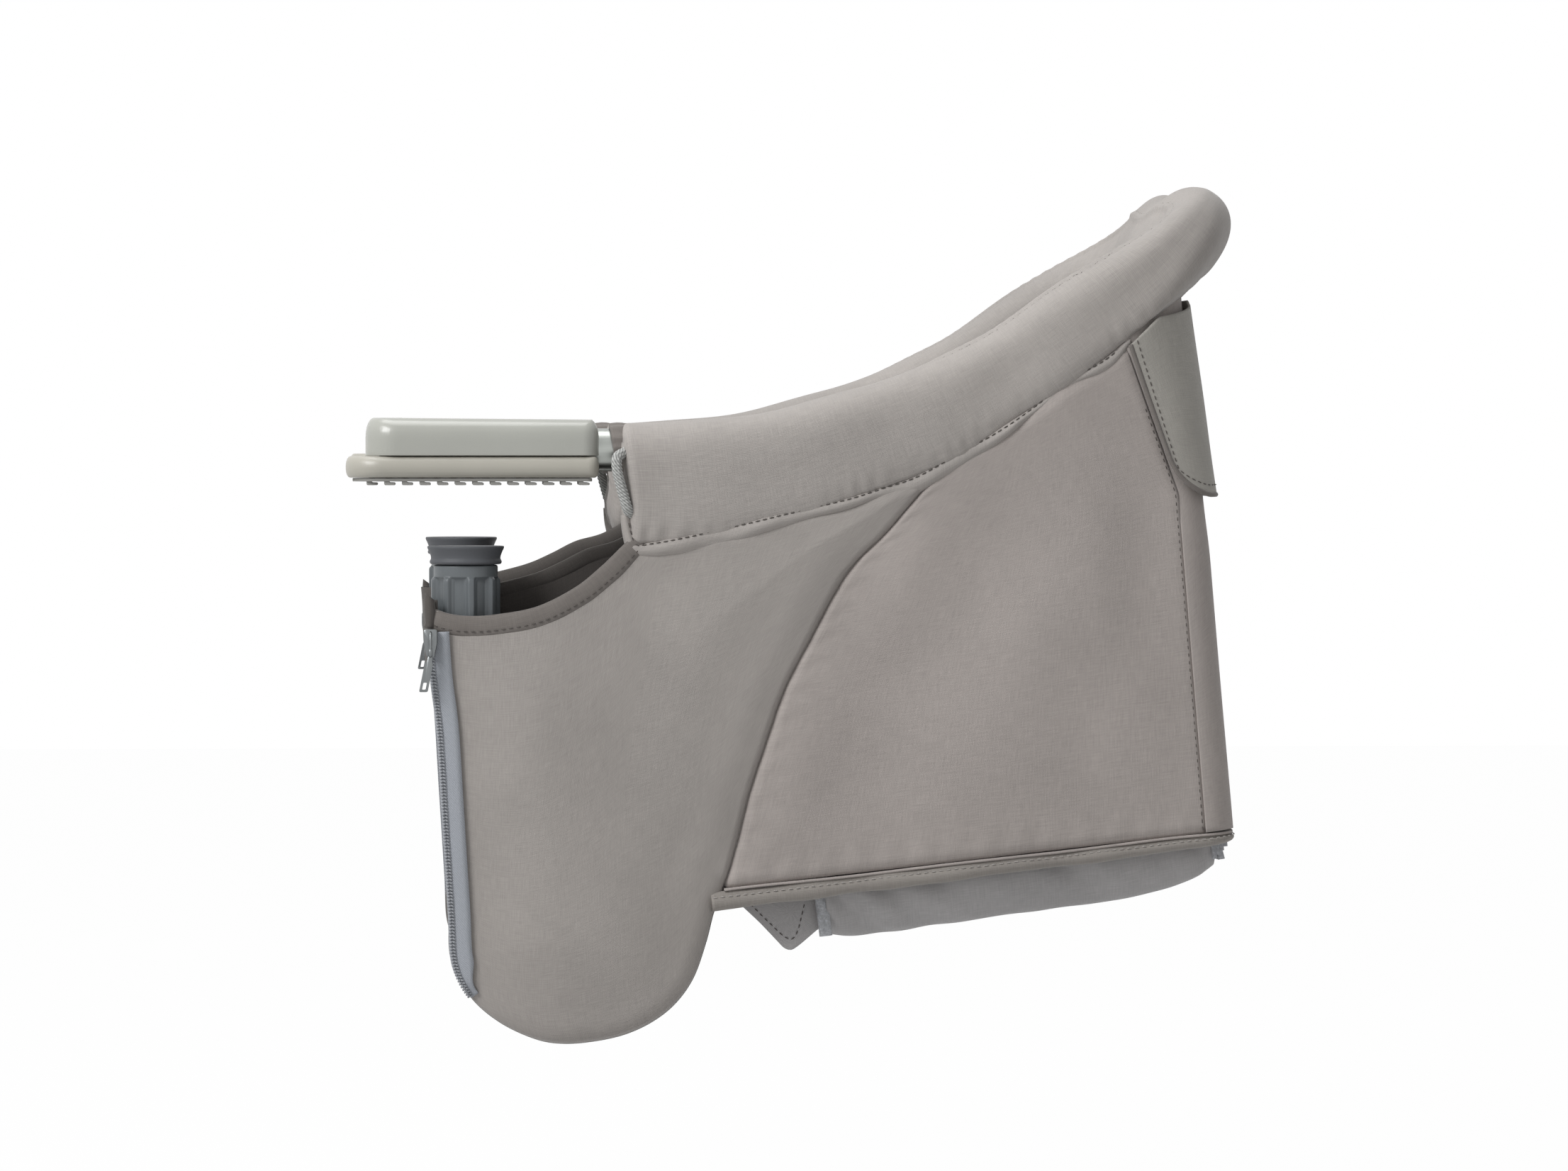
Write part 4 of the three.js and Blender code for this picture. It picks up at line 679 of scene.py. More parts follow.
@dataclass(frozen=True)
class Cloth(Finish):
    """Plain weave: two sets of threads, slubs along them and a slow drift of tone."""

    pitch: float = 0.75
    spread: float = 0.28
    rough: tuple[float, float] = (0.62, 0.82)
    sheen: float = 0.22
    strength: float = 0.35
    slub: tuple[float, float] = (1500.0, 90.0)
    depth: float = 0.00018

    def dress(self, g: Graph) -> bpy.types.Material:
        """Threads are products of sine stripes, slubs are noise drawn out along each set of threads."""
        uv = g.weave()
        warp, weft = (g.bands(uv, self.pitch * MM, along) for along in "XY")
        threads = g.total(warp, weft, g.math("MAXIMUM", warp, weft), 0.5)
        drawn = (g.noise(g.stretch(uv, (*scale, 1.0)), 1.0) for scale in (self.slub, self.slub[::-1]))
        slubs = g.mean(*drawn)
        drift = g.math("MULTIPLY", g.noise(g.place(), 14.0, 3.0), 0.3)
        tone = g.math("ADD", g.total(slubs, 0.62, threads, 0.12), drift)
        height = g.total(threads, 0.6, slubs, 0.6)
        g.fixed(Sheen_Weight=self.sheen, Sheen_Roughness=0.45, Specular_IOR_Level=0.35)
        rough = g.span(slubs, *self.rough)
        return g.finish(self, self.spread, tone, rough, height, self.depth, self.strength)


@dataclass(frozen=True)
class Webbing(Finish):
    """Strap or tape: ribs across and a slanted twill over them."""

    rib: float = 1.6
    slant: float = 0.9
    spread: float = 0.16

    def dress(self, g: Graph) -> bpy.types.Material:
        """Relief is a weighted sum of slanted stripes and ribs, and thread noise shades it."""
        uv = g.weave()
        twill = g.bands(g.stretch(uv, (1.0, 1.0, 1.0), self.slant), self.rib * MM)
        relief = g.total(twill, 0.7, g.bands(uv, self.rib * 0.5 * MM, "Y"), 0.3)
        fibre = g.noise(g.stretch(uv, (400.0, 1800.0, 1.0)), 1.0)
        g.fixed(Sheen_Weight=0.2, Sheen_Roughness=0.5, Specular_IOR_Level=0.3)
        tone = g.total(relief, 0.55, fibre, 0.45)
        return g.finish(self, self.spread, tone, g.span(fibre, 0.68, 0.9), relief, 0.0003, 0.5)


@dataclass(frozen=True)
class Fleece(Finish):
    """Hook and loop tape: matted tufts."""

    spread: float = 0.2

    def dress(self, g: Graph) -> bpy.types.Material:
        """Tufts are two layers of fine noise; the tone follows their height, painted shade at their roots."""
        uv = g.weave()
        tufts = g.math("MULTIPLY", g.noise(uv, 900.0, 4.0), g.noise(uv, 350.0))
        g.fixed(Sheen_Weight=0.4, Specular_IOR_Level=0.2)
        tone = g.span(tufts, -0.2, 1.6)
        return g.finish(self, self.spread, tone, g.span(tufts, 0.8, 0.98), tufts, 0.0008, 0.7)


@dataclass(frozen=True)
class Moulded(Finish):
    """Moulded plastic or rubber: fine spark grain, slow drift of tone and rubbed places."""

    rough: tuple[float, float] = (0.36, 0.5)
    grain: float = 1400.0
    depth: float = 0.00004
    spread: float = 0.05
    gloss: float = 0.45

    def dress(self, g: Graph) -> bpy.types.Material:
        """Grain is fine noise, tone and roughness follow broad noise with a little of the grain."""
        at = g.place()
        fine = g.noise(at, self.grain, 3.0)
        broad = g.noise(at, 22.0, 4.0)
        scuff = g.noise(g.stretch(at, (60.0, 9.0, 90.0)), 2.0, 5.0)
        g.fixed(Specular_IOR_Level=self.gloss)
        rough = g.span(g.mean(scuff, broad), *self.rough)
        return g.finish(self, self.spread, g.total(broad, 0.7, fine, 0.3), rough, fine, self.depth, 0.5)


@dataclass(frozen=True)
class Metal(Finish):
    """Drawn or plated metal: long streaks along one axis and a few dull spots."""

    rough: tuple[float, float] = (0.24, 0.4)
    streak: tuple[float, float, float] = (900.0, 12.0, 900.0)
    spread: float = 0.09

    def dress(self, g: Graph) -> bpy.types.Material:
        """Streaks are noise drawn out along the axis with the smallest number."""
        at = g.place()
        lines = g.noise(g.stretch(at, self.streak), 1.0, 3.0)
        tone = g.mean(lines, g.noise(at, 45.0, 5.0))
        g.fixed(Metallic=1.0)
        return g.finish(self, self.spread, tone, g.span(tone, *self.rough), lines, 0.00002, 0.35)


@dataclass(frozen=True)
class Thread(Finish):
    """Sewing thread or braid: slanted plies, whose tone follows them, so the grooves between plies carry
    painted shade.
    """

    ply: float = 0.5
    spread: float = 0.18

    def dress(self, g: Graph) -> bpy.types.Material:
        """Plies are stripes slanted against the thread, with fibre noise; the tone follows the plies, painted
        shade in the grooves between them.
        """
        uv = g.weave()
        plies = g.bands(g.stretch(uv, (1.0, 1.0, 1.0), 0.7), self.ply * MM)
        fibre = g.noise(uv, 2600.0)
        g.fixed(Sheen_Weight=0.2, Specular_IOR_Level=0.3)
        return g.finish(self, self.spread, g.mean(plies, fibre), g.span(fibre, 0.6, 0.85), plies, 0.0002, 0.5)


class Look:
    """Finishes of the chair, by what they cover."""

    RIM = Cloth("rim_weave", (155, 150, 146))
    SIDE = Cloth("side_weave", (156, 149, 145))
    POCKET = Cloth("pocket_weave", (149, 144, 140))
    FLAP = Cloth("flap_weave", (154, 151, 145))
    POUCH = Cloth("pouch_weave", (162, 160, 160), sheen=0.3)
    TRIM = Cloth("binding_weave", (108, 103, 99), pitch=0.6)
    # Piping: the side cloth in a darker copy, painted shade for the piping's shaded roll.
    ROLL = Cloth("roll_weave_shaded", (138, 133, 128))
    LINING = Cloth("lining_weave", (80, 76, 73), rough=(0.75, 0.92), sheen=0.12)
    SEAT = Cloth("seat_weave", (98, 94, 91), pitch=0.9, rough=(0.75, 0.92))
    THREAD = Thread("seam_thread", (84, 79, 75))
    PALE_THREAD = Thread("pale_thread", (168, 164, 160))
    # Braid: a wide spread, so the gaps between its plies carry strong painted shade.
    BRAID = Thread("elastic_braid", (146, 147, 145), ply=1.5, spread=0.45)
    ZIP_TAPE = Webbing("zip_twill", (161, 165, 172), rib=1.0, spread=0.1)
    COIL = Moulded("zip_coil", (150, 153, 158), rough=(0.35, 0.5))
    STRAP = Webbing("harness_twill", (76, 74, 73))
    HOOK_TAPE = Fleece("hook_tape", (192, 194, 198))
    HOUSING = Moulded("housing_grain", (168, 169, 162), rough=(0.2, 0.3), depth=0.00002, gloss=0.6)
    FOOT = Moulded("foot_grain", (172, 169, 159), rough=(0.3, 0.42), gloss=0.55)
    TREAD = Moulded("tread_grain", (150, 149, 145), rough=(0.7, 0.9), grain=700.0, gloss=0.3)
    KNOB = Moulded("knob_grain", (98, 103, 106), rough=(0.32, 0.48))
    CUP = Moulded("cup_grain", (84, 86, 90), rough=(0.5, 0.66), grain=800.0, gloss=0.35)
    BUCKLE = Moulded("buckle_grain", (60, 62, 65), rough=(0.4, 0.55))
    BOARD = Moulded("board_grey", (124, 122, 118), rough=(0.6, 0.8), grain=500.0)
    TUBE = Metal("tube_plate", (160, 163, 159))
    STEEL = Metal("clamp_plate", (150, 152, 156), streak=(900.0, 900.0, 12.0))
    SLIDER = Metal("zip_plate", (122, 125, 126), rough=(0.3, 0.45), streak=(700.0, 700.0, 60.0))


@dataclass(frozen=True)
class HoopLine:
    """Centre line of the frame tube: straight arms that rise into a hoop round the back."""

    arm_x: float = 161.0
    axis_z: float = 20.3
    rise_y: float = 40.0
    shares: tuple = ((0.266, 0.106), (0.532, 0.309), (0.771, 0.59))
    back: tuple = (326.0, 146.0)
    corner: float = 60.0
    slope: float = math.radians(35.0)

    def half(self, front_y: float, count: int) -> tuple[Array, Array, Array, Array]:
        """Left half from the front to the mid plane.

        The straight arm is followed by a Catmull-Rom rise and by a quarter circle in the plane that slopes
        back and up, then by a straight run to the middle.

        Args:
            front_y: Where the line starts.
            count: Number of stations.

        Returns:
            Points, outward sides, up directions and lengths along the line.
        """
        uphill = np.array([0.0, math.cos(self.slope), math.sin(self.slope)])
        normal = np.array([0.0, -math.sin(self.slope), math.cos(self.slope)])
        back = np.array([0.0, *self.back])
        start = back - uphill * self.corner + np.array([self.arm_x, 0.0, 0.0])
        low = np.array([self.arm_x, self.rise_y, self.axis_z])
        rises = [[self.arm_x, *(low[1:] + (start - low)[1:] * np.array(share))] for share in self.shares]
        level = [[self.arm_x, y, self.axis_z] for y in (min(front_y, 0.0) - 1.0, 0.0)]
        rise = spline([*level, low, *rises, start], 400)
        turn = np.linspace(0.0, QUARTER, 60)[1:, None]
        arc = start + uphill * self.corner * np.sin(turn)
        arc[:, :1] = self.arm_x - self.corner * (1.0 - np.cos(turn))
        line = np.vstack([[self.arm_x, front_y, self.axis_z], rise[rise[:, 1] > front_y], arc, back])
        points = resample(line, count)
        travel = headings(points)
        travel[-1] = (-1.0, 0.0, 0.0)
        flat = np.stack([np.zeros(count), -travel[:, 2], travel[:, 1]], axis=1)
        lift = np.where(travel[:, :1] < -1e-4, normal, unit(flat))
        side = unit(np.cross(travel, lift))
        return points, side, unit(np.cross(side, travel)), length_along(points)

    def whole(self, front_y: float, count: int) -> tuple[Array, Array, Array, Array]:
        """Both halves as one line from the left front to the right front.

        Args:
            front_y: Where the line starts.
            count: Stations of one half.

        Returns:
            Points, outward sides, up directions and lengths from the nearer front.
        """
        points, side, up, run = self.half(front_y, count)
        halves = ((points, FLIP), (side, FLIP), (up, 1.0))
        return (*(np.vstack([half, half[-2::-1] * flip]) for half, flip in halves),
                np.concatenate([run, run[-2::-1]]))


HOOP = HoopLine()


@dataclass
class Rim:
    """Padded sleeve over the hoop, with its lower flange, cuffs, seams and elastic cords."""

    front_y: float = 3.0
    knots: tuple = (0.0, 168.0, 232.0, 292.0, 386.0)
    half_heights: tuple = (35.0, 29.2, 25.8, 25.2, 24.0, 25.0)
    drops: tuple = (19.0, 13.1, 9.6, 10.0, 5.5, 9.5)
    half_widths: tuple = (27.0, 27.0, 27.0, 27.0, 30.0, 30.5)
    outsets: tuple = (0.0, 0.0, 0.0, 0.0, 11.0, 6.5)
    turns: tuple = (0.0, 0.0, 0.0, 0.0, 24.8, 24.8)
    top_flat: tuple = (0.3, 352.0, 40.0, 0.14)
    low_flat: tuple = (0.11, 285.0, 62.0)
    stations: int = 270
    around: int = 120
    low_seam: float = -47.0
    top_seam: float = 74.0
    top_seam_from: float = 195.0
    corner_run: float = 292.0
    lean_fade: float = 45.0
    square_until: tuple = (270.0, 370.0)
    seam_until: tuple = (285.0, 335.0)
    closing_run: float = 6.0
    front_profile: tuple = ((-36.0, -12.0, 17.0, 37.0), (9.0, 9.0, 4.0, -0.5))
    flange_seam: tuple = (
        (6.5, -16.5), (8.8, -27.0), (12.0, -33.4), (21.0, -31.2), (32.0, -28.6), (61.0, -22.0), (95.0, -14.4),
        (126.0, -7.8), (150.0, -0.8), (170.7, 7.0), (199.8, 22.8), (218.0, 32.5), (238.0, 45.0),
        (258.0, 60.0), (282.5, 75.5), (296.0, 86.5),
    )
    flange_edge: tuple = (
        (1.4, -18.0), (2.2, -29.0), (5.8, -39.0), (14.0, -42.9), (27.0, -43.0), (61.0, -35.4), (96.0, -25.4),
        (128.0, -15.8), (153.0, -9.0), (175.5, -4.4), (205.5, 13.0), (223.0, 24.6), (240.5, 39.5),
        (258.0, 53.0), (286.0, 67.2), (298.0, 81.6),
    )
    flange_x: float = 181.6
    flange_puff: float = 5.8
    cuff_y: tuple = (-2.8, 9.0)
    cuff_r: float = 15.6
    cord_path: tuple = (
        (179.0, 4.0, 19.0), (184.2, -0.6, 16.0), (186.0, -0.8, 9.0), (186.4, 1.0, 1.0), (186.2, 3.2, -7.0),
        (185.4, 5.4, -14.0), (179.0, 9.0, -19.0),
    )
    cord_d: float = 6.0
    mouth_r: float = 13.4
    mouth_sink: float = 5.0
    face_shares: tuple = (0.0, 0.35, 0.62, 0.82, 0.94)
    face_lift: tuple = (0.0, -2.4, -3.0, -2.3, -1.0)
    face_hold: tuple = (0.0, 0.8, 1.0, 0.9, 0.5)

    def along(self, run: Array, values: tuple) -> Array:
        """Value at each length: eased from knot to knot, the last one at the far end."""
        stops = (*self.knots, float(run.max()))
        result = np.full(run.shape, float(values[0]))
        for low, high, first, second in zip(stops, stops[1:], values, values[1:]):
            result += (second - first) * ease(run, low, high)
        return result

    def sections(self) -> tuple[Array, Array]:
        """Grid of the sleeve before its folds, and the length along the hoop of each row.

        A section is a superellipse |x/w|^n + |z/h|^n = 1. Its power n is high in the lower outer quarter at
        the front, where the cover hangs square, and near 2.3 round the back, where the section is turned and
        set out to the rear. Rows at the front close in from the full section to a ring round the tube.

        Returns:
            Points by station and turn, and the lengths.
        """
        points, side, up, run = HOOP.whole(self.front_y, self.stations)
        sizes = (self.half_heights, self.half_widths, self.drops, self.outsets, self.turns)
        height, width, drop, outset, tilt = (self.along(run, values)[:, None] for values in sizes)
        tilt = np.radians(tilt)
        turn = angles(self.around)[None]
        square = 1.0 - ease(run, *self.square_until)[:, None]
        outer_low = ease(-np.sin(turn), 0.0, 0.35) * ease(np.cos(turn), -0.2, 0.25)
        inner_low = ease(-np.sin(turn), 0.0, 0.35) * ease(-np.cos(turn), -0.2, 0.25)
        power = 2.35 + 0.35 * square + square * (4.2 * outer_low + 1.6 * inner_low)
        reach = (np.abs(np.cos(turn)) ** power + np.abs(np.sin(turn)) ** power) ** (-1.0 / power)
        closing = 1.0 - np.clip(run / self.closing_run, 0.0, 1.0)
        closing = np.sqrt(np.clip(1.0 - closing**2, 0.0, 1.0))[:, None]
        shrink = 0.8 + 0.2 * closing
        wide = width * reach * np.cos(turn) * shrink
        share, middle, spread, rest = self.top_flat
        upper = 1.0 - share * bell(run, middle, spread) - rest * ease(run, 300.0, 386.0)
        share, middle, spread = self.low_flat
        lower = 1.0 - share * bell(run, middle, spread)
        flatter = np.where(np.sin(turn) > 0.0, upper[:, None], lower[:, None])
        high = height * reach * np.sin(turn) * shrink * flatter
        across = (wide * np.cos(tilt) - high * np.sin(tilt))[..., None]
        rise = (wide * np.sin(tilt) + high * np.cos(tilt))[..., None]
        grid = (points - up * drop + side * outset)[:, None] + side[:, None] * across + up[:, None] * rise
        lean = np.interp(grid[..., 2], *self.front_profile) - self.front_y
        grid[..., 1] += lean * np.maximum(0.0, 1.0 - run / self.lean_fade)[:, None]
        return grid, run

    def folds(self, grid: Array, run: Array) -> Array:
        """Moves the sleeve's points along their normals: seam grooves, puckers, slow swells, corner creases.

        Args:
            grid: Sleeve before its folds.
            run: Length along the hoop of each row.

        Returns:
            The folded sleeve.
        """
        normal = grid_normals(grid)
        columns = self.around / 360.0
        low = grid[:, [round((self.low_seam % 360.0) * columns)]]
        top = grid[:, [round(self.top_seam * columns)]]
        from_low = np.linalg.norm(grid - low, axis=-1)
        from_top = np.linalg.norm(grid - top, axis=-1)
        along = run[:, None] * np.ones((1, self.around))
        girth = np.cumsum(np.linalg.norm(np.roll(grid, -1, axis=1) - grid, axis=-1), axis=1)
        wave = np.sin(along * TAU / 10.5 + 1.6 * np.sin(along * TAU / 61.0))
        wander = 0.5 + 0.5 * ripple(along, 0.0, 5, 4, 30.0, 90.0)
        rear = ease(along, self.top_seam_from - 25.0, self.top_seam_from + 20.0)
        fore = 1.0 - ease(along, *self.seam_until)
        move = -1.8 * fore * bell(from_low, 0.0, 2.4)
        move += 0.55 * fore * wander * wave * bell(from_low, 5.0, 4.5)
        move -= 1.7 * rear * bell(from_top, 0.0, 2.2)
        move += 0.45 * rear * wander * np.sin(along * TAU / 7.5) * bell(from_top, 3.0, 3.5)
        around = angles(self.around)[None]
        swell = ripple(along, 50.0 * np.cos(around), 11, 6, 60.0, 170.0)
        swell = swell + ripple(along, 50.0 * np.sin(around), 12, 6, 60.0, 170.0)
        move += 0.6 * swell * ease(along, 4.0, 30.0)
        inner = ease(-np.cos(around), 0.1, 0.8)
        crease = np.sin((along - self.corner_run) * TAU / 21.0 + girth / 24.0)
        move += 0.9 * inner * bell(along, self.corner_run + 55.0, 62.0) * crease
        return grid + normal * move[..., None]

    def cover(self) -> bpy.types.Object:
        """The sleeve as one padded piece, closed at its two fronts round the tube."""
        grid, run = self.sections()
        grid = self.folds(grid, run)
        points, side, up, _ = HOOP.whole(self.front_y, self.stations)
        lift = np.array(self.face_lift)[:, None] + 0.35 * np.sin(angles(self.around) * 17.0)
        ends = []
        for end in (0, -1):
            ring = points[end] + self.mouth_r * rings(side[end], up[end], self.around)
            ring[:, 1] += self.mouth_sink
            face = between(ring, grid[end], self.face_shares)
            face[..., 1] += lift * np.array(self.face_hold)[:, None]
            ends.append(face)
        whole = np.concatenate([ends[0], grid, ends[1][::-1]])
        piece = Piece("rim_cover").add(whole, Look.RIM, wrap="c")
        cover = piece.build("frame", "rim_cloth", ("rim_left", "rim_right", "rim_back"))
        column = round(self.top_seam * self.around / 360.0) - 2
        rows = slice(*(np.flatnonzero(run > self.top_seam_from)[[0, -1]]))
        out = grid_normals(grid)[rows, column]
        seam = stitches(grid[rows, column] + 0.1 * out, out, 5.0, 3.4, 0.36)
        sew("rim_top_stitches", [seam], "frame", "rim_cloth")
        return cover

    def tuck(self, flat: Array) -> Array:
        """How far a wall is drawn in under the sleeve: by its height over the lower seam at each place."""
        seam = np.asarray(self.flange_seam)[2:]
        over = flat[..., 1] - np.interp(flat[..., 0], seam[:, 0], seam[:, 1])
        return 3.0 * ease(over, -12.0, -1.0) + 6.0 * ease(over, -1.0, 8.0)

    def flange(self, side: Side) -> None:
        """Rolled strip below the lower seam: an almond section between two lines, shaken by slow waves."""
        seam, edge = (spline(line, 300) for line in (self.flange_seam, self.flange_edge))
        run = length_along(seam)
        edge = edge + join(0.25 * ripple(run, 0.0, 21, 4, 14, 40), 0.55 * ripple(run, 0.0, 22, 5, 16, 60))
        width = np.linalg.norm(edge - seam, axis=1)
        puff = self.flange_puff * np.clip(width / 9.0, 0.35, 1.0)
        puff = puff * (1.0 + 0.18 * ripple(run, 0.0, 23, 4, 25, 80))
        strip = almond(seam, edge, self.flange_x, puff, steps=13)
        make("rim_flange", strip, Look.RIM, side, "frame", "rim_cloth")
        place = hang(seam + (edge - seam) * 0.24, self.flange_x + puff * 0.86)[4:-8]
        rows = [stitches(place, (1.0, 0.0, 0.2), 4.2, 3.1, 0.36)]
        sew(f"rim_stitches_{side.tag}", rows, "frame", "rim_cloth", side=side)

    def cuff(self, side: Side) -> None:
        """Gathered cuff where the sleeve ends on the tube: r = R + puckers, rolled over at its front."""
        y0, y1 = self.cuff_y
        rows = np.array([
            [12.7, y0 + 5.0], [13.0, y0 + 1.4], [14.2, y0 + 0.1], [15.4, y0 + 0.6], [self.cuff_r, y0 + 2.2],
            [self.cuff_r + 0.3, y0 + 5.0], [self.cuff_r + 0.2, y0 + 8.0], [self.cuff_r - 0.5, y1],
        ])
        turn = angles(96)
        pucker = 0.35 * np.sin(turn * 15.0 + np.sin(turn * 4.0)) * ease(rows[:, :1], 13.0, 15.4)
        radius = rows[:, :1] + pucker
        z = HOOP.axis_z + radius * np.sin(turn)
        grid = join(HOOP.arm_x + radius * np.cos(turn), rows[:, 1:] + 0.16 * (HOOP.axis_z - z), z)
        make("rim_cuff", grid, Look.TRIM, side, "frame", "rim_cloth")

    def elastic(self, side: Side) -> None:
        """Braided elastic: a round section whose surface bulges where eight slanted plies cross."""
        line = spline(self.cord_path, 90)
        centre = line[:, None]
        run = 1.25 * length_along(line)[:, None]
        turn = 4.0 * angles(32)
        plies = np.sin(turn + run) * np.sin(turn - run)
        round_cord = tube(line, self.cord_d / 2.0, 32, closed=False)
        grid = capped(centre + (round_cord - centre) * (1.0 + 0.13 * plies)[..., None], line)
        make("elastic", grid, Look.BRAID, side, "frame", "trim_cloth", "elastic_cord")

    def build(self) -> None:
        """Builds the sleeve and what is sewn to it on both sides."""
        self.cover()
        for side in Side:
            self.flange(side)
            self.cuff(side)
            self.elastic(side)


def plan(half: float, ends: tuple, rounds: tuple, inset: Array) -> Array:
    """Rounded oblong seen from above, drawn in by each inset: arcs of r - inset about four fixed centres.

    Args:
        half: Half width.
        ends: Front and rear.
        rounds: Radii of the front and rear corners.
        inset: How far each ring is drawn in.

    Returns:
        Rings of points about X = 0, one for each inset.
    """
    steps = 14
    corners = []
    for number, (way, end) in enumerate(((1, 1), (-1, 1), (-1, 0), (1, 0))):
        radius = rounds[end]
        reach = np.maximum(radius - np.asarray(inset, float)[:, None], 0.05)
        turn = (0.25 * number + np.linspace(0.0, 0.25, steps)[None]) * TAU
        y = ends[end] - radius if end else ends[end] + radius
        corners.append(join(way * (half - radius) + reach * np.cos(turn), y + reach * np.sin(turn)))
    line = np.concatenate([*corners, corners[0][:, :1]], axis=1)
    known = np.arange(line.shape[1])
    at = np.linspace(0, known[-1], 12 * steps)
    return np.stack([sample(at, known, ring)[:-1] for ring in line])


@dataclass
class TableArms:
    """The two arms on the table: frame tube, housing, foot and lugged tread."""

    tube_r: float = 12.5
    tube_front: float = -138.0
    housing_half: float = 21.0
    housing: tuple = (-146.0, -11.0)
    housing_z: tuple = (17.1, 38.5)
    housing_fall: float = 1.2
    housing_corners: tuple = (19.0, 10.0)
    housing_round: float = 11.0
    end_share: float = 0.45
    foot_half: float = 23.0
    foot: tuple = (-157.5, -11.0)
    foot_z: tuple = (4.3, 16.8)
    foot_corners: tuple = (22.0, 7.0)
    foot_round: float = 6.2
    tread_half: float = 19.0
    tread: tuple = (-153.5, -15.0)
    tread_z: tuple = (2.2, 4.0)
    tread_corners: tuple = (18.0, 3.0)
    lugs: int = 13
    lug_pitch: float = 10.2
    first_lug: float = 8.0
    lug: tuple = (
        (0.0, 2.6), (0.1, 0.5), (0.5, 0.05), (3.4, 0.0), (6.2, 0.05), (6.6, 0.4), (6.6, 1.0), (6.2, 1.4),
        (3.4, 1.5), (2.9, 1.9), (2.7, 2.6),
    )

    def frame_tube(self) -> None:
        """Bent tube: a circle carried along the hoop inside the sleeve, closed inside the housings."""
        points, side, up, run = HOOP.whole(self.tube_front, 150)
        rim = Rim()
        run = run + self.tube_front - rim.front_y
        hidden = ease(run, 60.0, 200.0)[:, None]
        points = points + side * rim.along(run, rim.outsets)[:, None]
        points = points - up * 0.85 * rim.along(run, rim.drops)[:, None] * hidden
        grid = capped(points[:, None] + self.tube_r * rings(side, up, 40), points)
        make("frame_tube", grid, Look.TUBE, None, "frame", "frame_tube", "upper_tube", split=50.0)

    def shell(self, half: float, ends: tuple, rounds: tuple, rows: Array, fall: float = 0.0) -> Array:
        """Closed moulding: rings of the plan at each [inset, height], drawn together over the top and bottom.

        Args:
            half: Half width.
            ends: Front and rear.
            rounds: Radii of the front and rear corners.
            rows: Inset and height of each ring, from the bottom up.
            fall: Drop of the top from front to rear.

        Returns:
            Grid of rings about the arm's axis.
        """
        flat = plan(half, ends, rounds, rows[:, 0])
        front, rear = ends
        inset, span = rows[:, :1], rear - front
        squeeze = (span - 2.0 * self.end_share * inset) / (span - 2.0 * inset)
        flat[..., 1] = front + self.end_share * inset + (flat[..., 1] - front - inset) * squeeze
        lift = ease(rows[:, 1], rows[0, 1], rows[-1, 1])[:, None]
        height = rows[:, 1:] + lift * fall * (0.5 - (flat[..., 1] - front) / span)
        grid = join(flat[..., 0], flat[..., 1], height)
        middle, under = grid[-1].copy(), grid[0].copy()
        middle[:, 0] = 0.0
        middle[:, 1] = np.clip(middle[:, 1], front + half, rear - half)
        under[:, :2] = middle[:, :2]
        top = between(grid[-1], middle, (0.1, 0.3, 0.55, 0.8, 1.0))
        whole = np.concatenate([between(grid[0], under, (1.0, 0.6, 0.25)), grid, top])
        whole[..., 0] += HOOP.arm_x
        return whole

    def edge_rows(self, low: float, high: float, round_low: float, round_high: float) -> Array:
        """Insets and heights of a wall with rounded edges: inset = r (1 - cos a), height = r (1 - sin a)."""
        turn = np.linspace(0.0, QUARTER, 7)
        foot = join(round_low * (1.0 - np.sin(turn)), low + round_low * (1.0 - np.cos(turn)))
        head = join(round_high * (1.0 - np.cos(turn)), high - round_high * (1.0 - np.sin(turn)))
        return np.vstack([foot, np.linspace(foot[-1], head[0], 5)[1:-1], head])

    def mouldings(self, side: Side) -> None:
        """Housing and foot of one arm."""
        rows = self.edge_rows(*self.housing_z, 0.6, self.housing_round)
        top = self.shell(self.housing_half, self.housing, self.housing_corners, rows, self.housing_fall)
        make("housing", top, Look.HOUSING, side, "frame", "arm_housing", "arm_cover")
        rows = self.edge_rows(*self.foot_z, 5.6, self.foot_round)
        base = self.shell(self.foot_half, self.foot, self.foot_corners, rows)
        make("foot", base, Look.FOOT, side, "frame", "arm_base", "arm_foot")

    def rubber(self, side: Side) -> None:
        """Tread: a thin sole with a row of hook-shaped lugs, each a profile pushed across the sole."""
        rows = self.edge_rows(*self.tread_z, 0.5, 0.3)
        base = self.shell(self.tread_half, self.tread, self.tread_corners, rows)
        sole = Piece(f"tread_{side.tag}").add(base, Look.TREAD, wrap="c", side=side)
        line = rounded([*self.lug, self.lug[0]], 0.3, 3)[:-1]
        middle = line.mean(axis=0)
        ring = middle + (line - middle) * np.array([0.0, 0.86, 1.0, 1.0, 1.0, 0.86, 0.0])[:, None, None]
        front, rear = self.tread
        for number in range(self.lugs):
            y = rear - self.first_lug - number * self.lug_pitch
            reach = min(0.0, y - front - self.tread_half)
            half = math.sqrt(max(self.tread_half**2 - reach**2, 9.0)) - 0.8
            x = np.array([-half, -half, -half + 0.6, 0.0, half - 0.6, half, half])
            grid = hang(ring, (HOOP.arm_x + x)[:, None])
            grid[..., 1] += y
            sole.add(grid, Look.TREAD, wrap="c", side=side)
        sole.build("frame", "tread_rubber", (f"arm_tread_{side.tag}",), split=40.0)

    def build(self) -> None:
        """Builds the tube and both arms."""
        self.frame_tube()
        for side in Side:
            self.mouldings(side)
            self.rubber(side)


